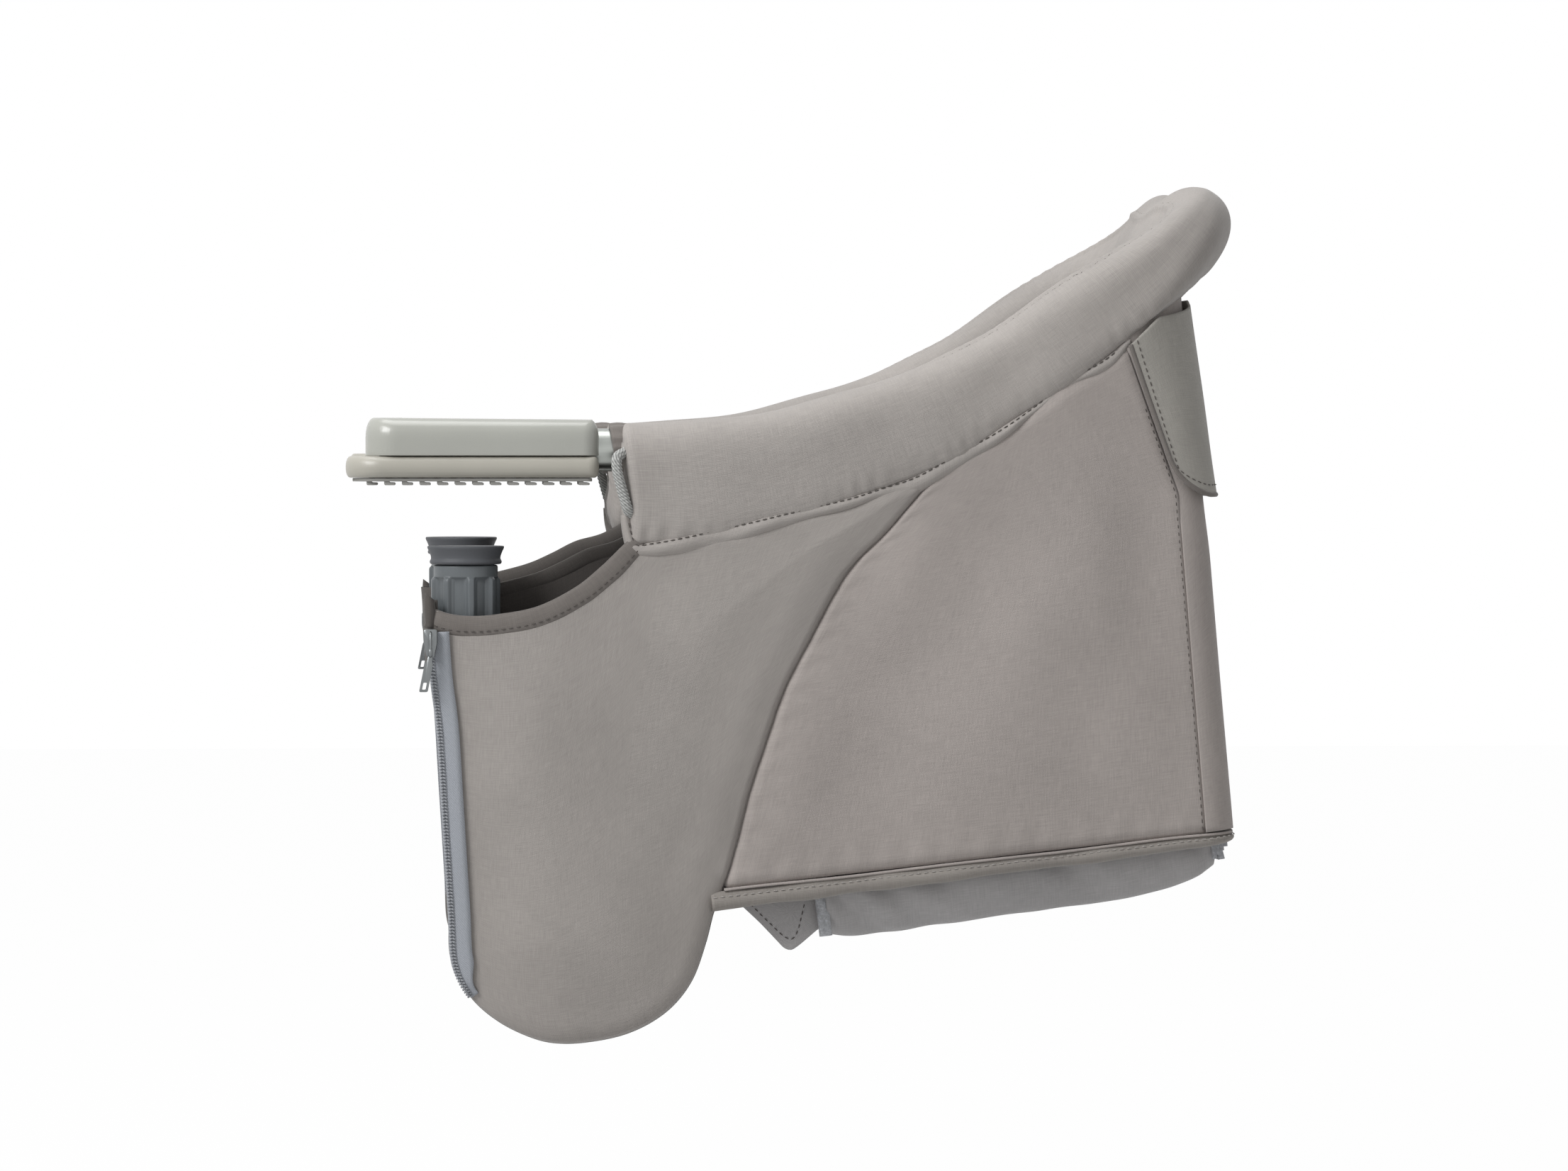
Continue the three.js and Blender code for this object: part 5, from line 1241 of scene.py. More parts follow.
@dataclass
class Clamp:
    """Clamp arm, screw, ribbed knob and rubber cup below the table."""

    leg_y: float = 32.0
    foot_y: float = -81.5
    clamp_y: float = -88.0
    top_z: float = 2.0
    bend_z: float = -247.0
    leg_z: tuple = (-152.0, -126.3)
    tube_r: float = 11.0
    knob_z: tuple = (-98.0, -46.3)
    knob_r: tuple = (17.7, 20.2)
    ribs: int = 8
    first_rib: float = 0.2
    rib_half: float = 0.1
    bore_r: float = 6.4
    boss_r: float = 8.0
    panel_sink: float = 0.9
    cup: tuple = (
        (0.0, -40.6), (9.0, -40.6), (9.0, -46.0), (19.2, -46.0), (20.5, -45.7), (21.0, -44.6), (20.6, -43.5),
        (20.1, -42.7), (20.3, -41.0), (21.3, -38.4), (22.2, -36.6), (22.3, -35.8), (21.9, -35.3),
        (18.2, -35.3), (17.7, -35.7), (17.2, -35.3), (12.2, -35.3), (11.7, -35.7), (11.2, -35.3),
        (0.0, -35.3),
    )

    def arm(self, side: Side) -> None:
        """U of tube: a straight leg, a half circle, a leaning leg and an upright end."""
        radius = (self.leg_y - self.foot_y) / 2.0
        turn = np.linspace(0.0, math.pi, 41)
        bend = join(self.leg_y - radius + radius * np.cos(turn), self.bend_z - radius * np.sin(turn))
        lean = rounded([bend[-1], *((self.clamp_y, z) for z in self.leg_z)], 12.0)
        flat = resample(np.vstack([[self.leg_y, self.top_z], bend, lean[1:]]), 130)
        grid = tube(hang(flat, HOOP.arm_x), self.tube_r, 32)
        make("clamp_tube", grid, Look.STEEL, side, f"arm_{side.tag}", "clamp_steel", "clamp_arm", split=50.0)

    def knob(self, side: Side) -> None:
        """Ribbed sleeve: r = body + rib bumps, with sunk panels between the ribs that end below the collar.

        A rib is a bump of the angle to the nearest rib line, flat on its crest. Panels sink the body
        between a bottom ring and the collar under the cup.

        Args:
            side: Which side of the chair.
        """
        low, high = self.knob_z
        z = np.concatenate([
            low + np.array([0.0, 0.0, 0.3, 1.0, 2.0]), np.linspace(low + 3.0, high - 9.0, 22),
            np.linspace(high - 8.0, high - 3.0, 12), high - np.array([2.0, 1.0, 0.4, 0.0, 0.0]),
        ])
        turn = angles(256)
        step = TAU / self.ribs
        off = np.abs((turn - self.first_rib * step + step / 2.0) % step - step / 2.0)
        rib = 1.0 - ease(off, self.rib_half * 0.65, self.rib_half * 1.7)
        panel = ease(off, self.rib_half * 1.9, self.rib_half * 2.3)
        up = ease(z, low + 0.5, low + 2.5) * (1.0 - ease(z, high - 8.5, high - 6.5))
        inner = ease(z, low + 3.5, low + 5.0) * (1.0 - ease(z, high - 9.5, high - 8.0))
        collar = 0.9 * ease(z, high - 8.0, high - 6.8)
        body, crest = self.knob_r
        radius = body + (crest - body) * up[:, None] * rib
        radius = radius - self.panel_sink * inner[:, None] * panel + collar[:, None]
        edge = np.minimum(1.0, np.minimum(z - low, high - z))
        radius -= (1.0 - np.sqrt(np.clip(1.0 - (1.0 - edge) ** 2, 0.0, 1.0)))[:, None]
        radius[0], radius[-1] = self.bore_r, self.boss_r
        x, y = HOOP.arm_x + radius * np.cos(turn), self.clamp_y + radius * np.sin(turn)
        grid = join(x, y, z[:, None])
        bore, boss = grid[:1].copy(), grid[-1:].copy()
        bore[..., 2], boss[..., 2] = high + 4.0, high + 4.8
        whole = capped(np.concatenate([bore, grid, boss]))
        make("knob", whole, Look.KNOB, side, f"knob_{side.tag}", "knob_plastic", "clamp_knob", split=55.0)

    def build(self) -> None:
        """Builds both clamps and gives the hidden fittings their finishes."""
        fittings = {"drop_socket": Look.STEEL, "stop_pin": Look.STEEL, "arm_collar": Look.BUCKLE,
                    "arm_end": Look.KNOB, "clamp_screw": Look.STEEL}
        for side in Side:
            self.arm(side)
            self.knob(side)
            cup = lathe(rounded(self.cup, 0.5, 4), (HOOP.arm_x, self.clamp_y), 96)
            make("cup", cup, Look.CUP, side, f"cup_{side.tag}", "cup_rubber", "clamp_cup")
            for node, finish in fittings.items():
                dress(f"{node}_{side.tag}", finish)


@dataclass
class Cover:
    """Cloth hung from the rim: side panels, linings, the curved back and its pocket flap."""

    outer_x: float = 184.6
    lining_x: float = 137.4
    cloth: float = 1.6
    seat_front: tuple = (61.0, -233.0)
    seat_slope: float = 0.11154
    back_low: tuple = (359.0, -200.0)
    back_lean: float = 0.0834
    corner_r: tuple = (18.0, 48.0)
    corner_z: tuple = (-5.0, 105.0)
    seam: tuple = (
        (61.6, -232.6), (69.0, -205.0), (75.9, -178.0), (84.9, -150.7), (96.0, -119.0), (109.9, -91.8),
        (132.0, -52.0), (155.0, -28.0), (177.0, -3.0), (197.0, 17.0), (205.0, 40.0),
    )
    lift_start: tuple = (0.0, 150.0, 4.0)
    lift_end: tuple = (0.0, 203.1, -194.0)
    pad_thick: float = 13.0
    pad_half: tuple = (134.5, 159.0)
    pad_middle: float = -40.0
    pad_gap: float = 19.5
    mouth_half: float = 118.0
    mouth_z: tuple = (34.0, 24.4)
    mouth_hem: float = 8.0
    mouth_thick: float = 1.5
    pad_seam_x: float = 46.0
    pad_seam_z: tuple = (-75.0, 15.0)
    pad_seam_width: float = 3.2
    flap_z: tuple = (-5.6, 108.0)
    flap_round: float = 20.0
    flap_start: float = 0.06

    def base_z(self, y: Array) -> Array:
        """Height of the seat's base line."""
        return self.seat_front[1] + (np.asarray(y, float) - self.seat_front[0]) * self.seat_slope

    def back_y(self, z: Array) -> Array:
        """Place of the leaning back at a height."""
        return self.back_low[0] - self.back_lean * (np.asarray(z, float) - self.back_low[1])

    def radius(self, z: Array) -> Array:
        """Radius of the back's corners at a height: even up to the flap, then growing to the hoop."""
        low, high = self.corner_z
        share = np.clip((np.asarray(z, float) - low) / (high - low), 0.0, 1.0)
        return self.corner_r[0] + (self.corner_r[1] - self.corner_r[0]) * share

    def rear_seam(self, z: Array) -> Array:
        """Place of the seam between side panel and back."""
        return self.back_y(z) - self.radius(z)

    def base_line(self, first: float, last: float, count: int) -> Array:
        """Points of the base line, seen from the side, between two places."""
        y = np.linspace(first, last, count)
        return join(y, self.base_z(y))

    @staticmethod
    def rim_middle(y0: float, y1: float, count: int) -> Array:
        """Middle line of the padded rim, seen from the side, between two places."""
        rim = Rim()
        points, _, up, run = HOOP.half(rim.front_y, 300)
        line = (points - up * rim.along(run, rim.drops)[:, None])[:, 1:]
        y = np.linspace(y0, y1, count)
        return resample(join(y, np.interp(y, line[:, 0], line[:, 1])), count)

    @property
    def lift(self) -> tuple:
        """Blend given to cloth that hangs from the rim and crosses to the seat: the seat body and two points.
        """
        return "seat", self.lift_start, self.lift_end

    @staticmethod
    def declare(piece: bpy.types.Object, bottom: Array, right: Array, top: Array, left: Array) -> None:
        """Takes a wall and its four edges and does nothing with them.

        Args:
            piece: The wall; not used.
            bottom: Lower edge in the side view; not used.
            right: Rear edge; not used.
            top: Upper edge; not used.
            left: Front edge; not used.
        """

    def side_panel(self, side: Side) -> None:
        """Side wall: a patch between the curved seam, the rim, the rear seam and the base line.

        It is drawn in at its seams by a bell of the distance to them and swells by slow ripples inside.

        Args:
            side: Which side of the chair.
        """
        columns, rows = 120, 150
        left = spline(self.seam, rows)
        z = np.linspace(self.corner_z[1], float(self.base_z(337.0)), 200)[::-1]
        right = resample(join(self.rear_seam(z), z), rows)
        top = self.rim_middle(left[-1, 0], right[-1, 0], columns)
        bottom = self.base_line(left[0, 0], right[0, 0], columns)
        left[[0, -1]] = bottom[0], top[0]
        right[[0, -1]] = bottom[-1], top[-1]
        flat = coons(bottom, top, left, right)
        y, z = flat[..., 0], flat[..., 1]
        from_seam, from_rear = (np.linalg.norm(flat - edge[:, None], axis=-1) for edge in (left, right))
        from_base = z - self.base_z(y)
        inside = ease(np.minimum.reduce([from_seam, from_rear, from_base]), 0.0, 55.0)
        x = self.outer_x - 4.2 * bell(from_seam, 0.0, 2.0) - 2.4 * bell(from_base, 0.0, 2.6)
        x = x - 0.8 * bell(from_rear, 0.0, 2.5) + inside * (1.6 + 2.4 * ripple(y, z, 31, 6, 90, 260))
        x = x + 0.35 * bell(from_seam, 7.0, 6.0) * np.sin(length_along(left)[:, None] * TAU / 17.0)
        x = x + 0.35 * bell(from_base, 8.0, 7.0) * np.sin(y * TAU / 19.0) - Rim().tuck(flat)
        panel = make("side_wall", hang(flat, x), Look.SIDE, side, "frame", "side_cloth", "side_panel",
                     thick=self.cloth, blend=self.lift)
        self.declare(panel, bottom, right, top, left)
        rear = hang(right[:-30], self.outer_x + 0.1)
        rear[:, 1] -= 1.6
        rows = [stitches(rear, ALONG_X, 4.4, 3.0, 0.3)]
        sew(f"side_stitches_{side.tag}", rows, "frame", "side_cloth", side=side, blend=self.lift)

    def lining(self, side: Side) -> None:
        """Inner wall: a patch between an upright front edge, the rim, the back pad and the base line."""
        columns, rows = 70, 90
        front = self.seat_front[0]
        top = self.rim_middle(front, 281.0, columns)
        left = join(front, np.linspace(float(self.base_z(front)), top[0, 1], rows))
        z = np.linspace(float(self.base_z(336.0)), top[-1, 1], rows)
        ahead = top[-1, 0] - self.back_y(top[-1, 1]) + self.pad_gap
        right = join(self.back_y(z) - self.pad_gap + ahead * ease(z, 60.0, 106.0), z)
        bottom = self.base_line(left[0, 0], right[0, 0], columns)
        flat = coons(bottom, top, left, right)
        x = self.lining_x + 0.9 * ripple(flat[..., 0], flat[..., 1], 33, 6, 60, 180)
        wall = make("inner_wall", hang(flat, x), Look.LINING, side, "frame", "lining_cloth", "lining",
                    thick=self.cloth, blend=self.lift)
        self.declare(wall, bottom, right, top, left)

    def round_back(self, z: Array, offset: Array, first: float, columns: int) -> Array:
        """Points round the back at heights z: along the left corner's arc, straight, and round the right one.

        Args:
            z: Heights by row and column.
            offset: Distance out of the back's surface by row and column, or one number.
            first: Turn in radians at which the line starts on the corner.
            columns: Points of one row.

        Returns:
            Grid of points.
        """
        corner = columns // 5
        straight = columns - 2 * corner
        turn = np.linspace(first, QUARTER, corner)
        turns = np.concatenate([turn, np.full(straight, QUARTER), math.pi - turn[::-1]])
        middle = np.linspace(0.0, 1.0, straight + 2)[1:-1]
        slide = np.concatenate([np.zeros(corner), middle, np.ones(corner)])
        radius = self.radius(z)
        reach = radius + offset
        half = self.outer_x + 1.4 - radius
        x = half * (1.0 - 2.0 * slide)[None] + reach * np.cos(turns)[None]
        return join(x, self.back_y(z) - radius + reach * np.sin(turns)[None], z)

    def level(self, z: float, offset: float, first: float, columns: int) -> Array:
        """One row of points round the back, all at one height."""
        return self.round_back(np.full((1, columns), z), offset, first, columns)[0]

    @staticmethod
    def hoop_z(y: Array) -> Array:
        """Height of the hoop's middle over a place on the back."""
        return HOOP.back[1] - 4.0 + (np.asarray(y, float) - HOOP.back[0]) * math.tan(HOOP.slope)

    def back_offset(self, x: Array, z: Array) -> Array:
        """How far the back wall lies out of the back's surface: slack waves, drawn in under the flap."""
        waves = 0.9 * ripple(x, z, 35, 6, 80, 240) * ease(186.0 - np.abs(x), 2.0, 40.0)
        return -1.4 + waves - 1.2 * ease(z, -45.0, -5.0)

    def back(self) -> None:
        """Back wall: a curved sheet from the base to the hoop, with slack waves, drawn in under the flap."""
        columns, rows, sunk = 150, 110, -1.4
        guess = self.level(self.corner_z[1], sunk, 0.0, columns)
        low = self.level(-200.0, sunk, 0.0, columns)
        share = np.linspace(0.0, 1.0, rows)[:, None]
        z = self.base_z(low[:, 1])[None] * (1 - share) + self.hoop_z(guess[:, 1])[None] * share
        flat = self.round_back(z, sunk, 0.0, columns)
        grid = self.round_back(z, self.back_offset(flat[..., 0], z), 0.0, columns)
        wall = make("back_wall", grid, Look.SIDE, None, "frame", "side_cloth", "back_panel", thick=self.cloth,
                    blend=self.lift)
        tall = float(column_lengths(flat).mean()) * MM

    def pocket_mouth(self) -> None:
        """Mouth of the back pocket: two flat hems with a slit between them, sewn on under the flap. The slit
        is a band of the dark lining cloth, its own colour and also painted shade for the opening.

        Over a hem's height, s from -1 to 1, its face lies t (1 - s^4) out of where it meets the wall.
        """
        columns, rows = 120, 11
        s = np.linspace(-1.0, 1.0, rows)[:, None]
        x = np.linspace(self.mouth_half, -self.mouth_half, columns)[None] + 0.0 * s
        mouth = Piece("pocket_mouth")
        sewn = []

        def strip(middle: float, half: float, thick: float) -> Array:
            """Band across the wall at one height."""
            z = middle + half * s + 0.0 * x
            y = self.back_y(z) + self.back_offset(x, z) + self.cloth / 2.0 - 0.5 + thick * (1.0 - s**4)
            return join(x, y, z)

        for middle in self.mouth_z:
            hem = strip(middle, self.mouth_hem / 2.0, self.mouth_thick)
            mouth.add(hem, Look.TRIM)
            sewn.append(stitches(hem[rows // 2], (0.0, 1.0, 0.0), 4.2, 3.0, 0.32))
        # The slit: a band of the dark lining cloth, which also stands for the shade in the pocket's opening
        # (painted shade).
        gap = abs(self.mouth_z[0] - self.mouth_z[1]) - self.mouth_hem
        mouth.add(strip(sum(self.mouth_z) / 2.0, gap, self.mouth_thick / 2.0), Look.LINING)
        mouth.build("frame", "trim_cloth", turn_out=False, blend=self.lift)
        sew("mouth_stitches", sewn, "frame", "trim_cloth", blend=self.lift)

    def back_pad(self) -> None:
        """Padded lining of the back: a crowned slab, drawn in along two upright seams and two level ones.

        The front is y = middle - 0.55 t w and the rear middle + 0.45 t w, with w = sqrt(1 - |u|^8) times
        sqrt(1 - |v|^8). Bells are cut out of the front at the seams.
        """
        steps = np.sin(np.linspace(-1.0, 1.0, 110) * QUARTER)
        u, v = steps[None], steps[:, None]
        x, z = np.broadcast_arrays(self.pad_half[0] * u, self.pad_middle + self.pad_half[1] * v)
        thick = np.sqrt(np.maximum(0.0, 1.0 - u**8)) * np.sqrt(np.maximum(0.0, 1.0 - v**8))
        width = self.pad_seam_width
        seams = bell(np.abs(x), self.pad_seam_x, width)
        for at in self.pad_seam_z:
            seams = seams + bell(z, at, width)
        swell = thick * (1.0 + 0.06 * ripple(x, z, 37, 6, 40, 120) - 0.3 * np.minimum(seams, 1.0))
        middle = self.back_y(z) - 12.0
        front = join(x, middle - self.pad_thick * 0.55 * swell, z)
        rear = join(x, middle + self.pad_thick * 0.45 * thick, z)
        pad = Piece("back_cushion").add(front, Look.SEAT).add(rear[:, ::-1], Look.SEAT).build(
            "frame", "lining_cloth", ("back_lining",), blend=self.lift)

    @staticmethod
    def skirt(grid: Array, row: int, column: int) -> Array:
        """Line down the left of a grid, along its bottom and up its right, drawn in by rows and columns."""
        bottom = grid[row, column + 1:-column - 1]
        return np.vstack([grid[row:, column][::-1], bottom, grid[row:, -column - 1]])

    def flap(self) -> None:
        """Pocket flap: a hung sheet with round lower corners, a bound edge and a row of stitches.

        The sheet is the back's surface moved out by an offset that grows towards the loose edge. The bottom
        of a column at distance d from the side rises by R - sqrt(R^2 - (R - d)^2).
        """
        columns, rows, round_r, first = 150, 60, self.flap_round, self.flap_start
        low, high = self.flap_z
        guess = self.level(86.0, 1.6, first, columns)
        run = length_along(self.level(0.0, 1.6, first, columns))
        from_side = np.minimum(run, run[-1] - run)
        reach = np.clip(round_r - from_side, 0.0, round_r)
        bottom = low + round_r - np.sqrt(np.maximum(round_r**2 - reach**2, 0.0))
        top = np.minimum(self.hoop_z(guess[:, 1]) - 27.0, high) - 12.0 * (1.0 - ease(from_side, 0.0, 45.0))
        share = np.linspace(0.0, 1.0, rows)[:, None]
        loose = 1.0 - share
        z = bottom[None] * loose + top[None] * share
        out = 2.2 + 3.0 * loose**2 + 0.5 * ripple(run[None], z, 39, 5, 40, 130) * loose
        out = out + 2.2 * np.sin(np.pi * share) * ease(from_side, 2.0, 55.0)[None]
        grid = self.round_back(z, out, first, columns)
        flap = make("pocket_flap", grid, Look.FLAP, None, "flap", "flap_cloth", "back_flap", thick=1.4)
        edge = tube(resample(self.skirt(grid, 0, 0), 420), 1.45, 10, hint=(0.3, 1.0, 0.1))
        bound = make("flap_binding", edge, Look.TRIM, None, "flap", "flap_cloth")
        across, drops = float(run[-1]) * MM, column_lengths(grid)
        tall, area = float(drops.max()) * MM, float(drops.mean()) * MM * across
        normal = grid_normals(grid, wrap_columns=False)
        normal *= np.sign(normal[0, columns // 2, 1])
        line, out = (self.skirt(values, 3, 2) for values in (grid, normal))
        sew("flap_stitches", [stitches(line + out * 0.75, out, 4.2, 3.0, 0.32)], "flap", "flap_cloth")

    def build(self) -> None:
        """Builds the walls, the back and the flap."""
        for side in Side:
            self.side_panel(side)
            self.lining(side)
        self.back()
        self.pocket_mouth()
        self.back_pad()
        self.flap()


@dataclass
class LegPocket:
    """Zipped leg pocket round a clamp arm: outer wall, hem, inner wall with gusset, zip, slider and pull."""

    wall_x: float = Cover.outer_x
    inner_x: float = 136.0
    cloth: float = Cover.cloth
    front: tuple = (
        (-96.3, -247.0), (-99.6, -194.0), (-102.8, -142.0), (-106.4, -112.0), (-108.3, -86.0),
        (-108.5, -71.0),
    )
    gusset_front: tuple = (
        (-88.5, -247.0), (-91.5, -194.0), (-94.8, -142.0), (-98.2, -112.0), (-100.0, -90.0), (-101.0, -66.0),
    )
    bottom: tuple = (
        (-84.5, -296.0), (-68.0, -310.5), (-48.0, -320.0), (-32.0, -322.8), (-13.8, -321.5), (4.0, -317.5),
        (20.0, -310.0), (33.0, -299.5), (43.0, -285.0), (50.0, -265.0), (55.0, -246.0), (61.6, -232.6),
    )
    hem: tuple = (
        (-108.5, -71.0), (-98.0, -74.6), (-86.0, -76.0), (-70.0, -75.0), (-47.0, -70.5), (-25.0, -59.5),
        (-10.0, -47.6), (1.0, -37.0), (14.0, -24.0), (30.0, 0.0),
    )
    inner_hem: tuple = (
        (-101.0, -66.0), (-88.0, -62.0), (-68.0, -57.6), (-47.0, -52.0), (-32.0, -45.5), (-17.0, -38.0),
        (0.0, -33.0), (20.0, -22.0), (35.0, -14.0), (60.5, -6.0),
    )
    tab: tuple = (
        ((-111.8, -62.0), (-112.2, -70.0), (-111.4, -82.0)),
        ((-106.4, -66.0), (-105.6, -73.0), (-106.4, -82.0)),
    )
    shield: tuple = (
        (0.0, 8.0), (4.0, 8.0), (4.0, 0.0), (2.3, -8.0), (-2.3, -8.0), (-4.0, 0.0), (-4.0, 8.0), (0.0, 8.0),
    )
    slider_stack: tuple = (
        (187.6, 0.0), (187.6, 0.92), (188.0, 1.0), (189.2, 1.0), (189.3, 0.9), (190.4, 0.9), (190.5, 1.0),
        (191.4, 1.0), (191.9, 0.9), (191.9, 0.0),
    )
    bridge: tuple = ((191.0, 6.6), (193.6, 5.6), (195.0, 2.0), (195.2, -3.0), (194.6, -6.4), (191.0, -7.2))
    puff: float = 6.0
    hem_width: float = 11.5
    hem_shown: float = 16.0
    tape_width: float = 10.6
    slider_at: tuple = (-108.6, -91.0)
    pin: tuple = (194.0, -95.0)
    fold_start: float = 60.0
    fold_end: float = 20.0
    front_low: tuple = (-94.2, -276.6)
    gusset_x: float = 181.6
    tape_top: float = -84.0
    tape_lift: float = 2.8
    tape_slim: tuple = (192.0, 212.0)
    coil_rows: tuple = ((-0.12, 1.05), (0.04, -1.05))
    coil_lift: float = 3.5
    tab_x: float = 184.8

    def edges(self, front: tuple, columns: int, rows: int) -> tuple[Array, Array]:
        """Bottom line and front line of a wall, which meet low on the front."""
        low = spline([front[0], self.front_low, *self.bottom], 400)
        start = int(np.argmin(np.abs(low[:, 0] - self.bottom[0][0])))
        bottom = resample(low[start:], columns)
        left = resample(np.vstack([low[:start + 1][::-1], spline(front, 200)[1:]]), rows)
        return bottom, left

    def surface(self, flat: Array, lines: dict[str, Array]) -> Array:
        """Place of the outer wall across the chair: puffed, rolled in at the bottom, creased at the seam.

        Args:
            flat: Points of the side view.
            lines: Edges of the wall by name.

        Returns:
            X of each point.
        """
        away = {name: distance_to(flat, line) for name, line in lines.items()}
        nearest = np.minimum.reduce([away[name] for name in ("left", "bottom", "right", "flange")])
        inside = ease(nearest, 0.0, 62.0) * (0.45 + 0.55 * ease(away["hem"], 0.0, 80.0))
        x = self.wall_x + inside * (self.puff + 2.2 * ripple(flat[..., 0], flat[..., 1], 41, 6, 80, 230))
        swell = 1.6 * bell(away["right"], 15.0, 12.0) * ease(away["bottom"], 4.0, 30.0)
        x += swell - 4.6 * bell(away["right"], 0.0, 2.0)
        roll = np.clip(1.0 - away["bottom"] / 11.0, 0.0, 1.0)
        x -= 6.5 * (1.0 - np.sqrt(1.0 - roll**2)) + 1.5 * np.clip(1.0 - away["left"] / 6.0, 0.0, 1.0) ** 2
        return x - Rim().tuck(flat) * ease(flat[..., 0], 4.0, 24.0)

    def outer(self, side: Side) -> None:
        """Outer wall with its hem and zip: a patch between front, bottom, curved seam and hem with rim."""
        columns, rows = 170, 150
        cover = Cover()
        bottom, left = self.edges(self.front, columns, rows)
        right = spline(cover.seam, rows)
        hem = spline(self.hem, 160)
        top = resample(np.vstack([hem, cover.rim_middle(38.0, right[-1, 0], 60)]), columns)
        right[-1] = top[-1]
        lines = {"left": left, "bottom": bottom, "right": right, "hem": hem[:120],
                 "flange": spline(Rim().flange_seam, 90)}
        flat = coons(bottom, top, left, right)
        grid = hang(flat, self.surface(flat, lines))
        wall = make("pocket_wall", grid, Look.POCKET, side, "frame", "pocket_cloth", "pocket_outer",
                    thick=self.cloth)
        cover.declare(wall, bottom, right, top, left)
        self.binding(side, hem, lines)
        self.zip(side, left, lines)

    def binding(self, side: Side, hem: Array, lines: dict[str, Array]) -> None:
        """Hem: a rolled edge and a flat turned band below it, sewn down along its lower fold."""
        shown = resample(hem[hem[:, 0] < self.hem_shown], 190)
        down = inward(shown, -1.0)
        run = length_along(shown)
        lower = shown + down * self.hem_width * (1.0 - 0.25 * ease(run, run[-1] * 0.8, run[-1]))[:, None]
        base = self.surface(0.5 * (shown + lower), lines)
        shake = 0.25 * ripple(run, 0.0, 43, 4, 12, 40)
        band = almond(shown - down * 0.7, lower, base + 0.6, 1.5 + shake, back=1.3)
        make("hem", band, Look.TRIM, side, "frame", "trim_cloth")
        line = hang(shown + (lower - shown) * 0.74, base + 1.9)
        rows = [stitches(line, ALONG_X, 4.4, 3.0, 0.36)]
        sew(f"hem_stitches_{side.tag}", rows, "frame", "trim_cloth", side=side)

    def zip(self, side: Side, left: Array, lines: dict[str, Array]) -> None:
        """Zip: a twill tape along the front edge, two rows of slanted coil turns and a folded end tab."""
        line = resample(left[left[:, 1] < self.tape_top][::-1], 150)
        inner = inward(line)
        shares = np.array([-0.2, -0.17, -0.1, 0.1, 0.4, 0.7, 1.0])
        slim = (1.0 - 0.6 * ease(length_along(line), *self.tape_slim))[None, :, None]
        flat = line[None] + inner[None] * (shares * self.tape_width)[:, None, None] * slim
        x = self.surface(flat, lines) + self.tape_lift
        x[:2] -= np.array([4.0, 1.0])[:, None]
        make("zip", hang(flat, x), Look.ZIP_TAPE, side, "frame", "trim_cloth", "zip_tape", thick=0.8)
        rows = []
        for share, slant in self.coil_rows:
            spot = line + inner * (share * self.tape_width)
            row = hang(spot, self.surface(spot, lines) + self.coil_lift)
            rows.append(stitches(row, ALONG_X, 1.9, 2.9, 0.7, slant))
        sew(f"zip_coil_{side.tag}", rows, "frame", "trim_cloth", Look.COIL, side)
        near, far = (spline(edge, 30) for edge in self.tab)
        folded = almond(near, far, self.tab_x, 2.6, back=0.6)
        make("zip_tab", folded, Look.LINING, side, "frame", "trim_cloth")

    def inner(self, side: Side) -> None:
        """Inner wall and gusset in one piece, handed the clamp arm and the fold's ends as its blend, which
        only bakes it in place.
        """
        columns, rows = 120, 90
        bottom, left = self.edges(self.gusset_front, columns, rows)
        top = spline(self.inner_hem, columns)
        left[-1] = top[0]
        right = np.linspace(bottom[-1] - np.array([1.0, 0.0]), top[-1], rows)
        bottom[-1] = right[0]
        flat = coons(bottom, top, left, right)
        x = self.inner_x + 0.9 * ripple(flat[..., 0], flat[..., 1], 47, 6, 50, 160)
        edge = resample(np.vstack([left[::-1], bottom[1:]]), 200)
        y, z = edge.T
        shares = np.linspace(0.0, 1.0, 25)[:, None]
        across = self.inner_x + (self.gusset_x - 3.6 * ease(-z, 200.0, 290.0) - self.inner_x)[None] * shares
        mound = np.clip(1.0 - ((across - HOOP.arm_x) / 23.0) ** 2, 0.0, 1.0) ** 0.6
        rise = 5.6 * ease(z, -285.0, -250.0) + 5.2 * ease(z, -114.0, -100.0)
        rise *= 1.0 - ease(y, -50.0, -10.0)
        swell = -inward(edge)[None] * (1.1 * np.sin(np.pi * shares) ** 0.6 + mound * rise)[..., None]
        shake = ripple(across, length_along(edge)[None], 48, 5, 30, 90)[..., None]
        band = edge[None] + swell * (1.0 + 0.05 * shake)
        ends = ((side.value * HOOP.arm_x, at, -150.0) for at in (self.fold_start, self.fold_end))
        fold = (f"arm_{side.tag}", *ends)
        piece = Piece(f"pocket_lining_{side.tag}").add(hang(flat, x), Look.LINING, side=side)
        piece.add(hang(band, across), Look.LINING, side=side)
        piece.build("frame", "lining_cloth", (f"pocket_inner_{side.tag}",), thick=1.4, weld=False, blend=fold)
        hemmed = resample(top, 150)
        down = inward(hemmed, -1.0)
        roll = almond(hemmed - down * 0.6, hemmed + down * 9.0, self.inner_x + 0.2, 1.9, back=1.0)
        make("inner_hem", roll, Look.LINING, side, "frame", "lining_cloth", blend=fold)

    @staticmethod
    def plate(outline: Array, stack: tuple) -> Array:
        """Flat part with eased edges: the outline drawn to its middle by each share at each place across."""
        middle = outline.mean(axis=0)
        return np.stack([hang(middle + (outline - middle) * share, x) for x, share in stack])

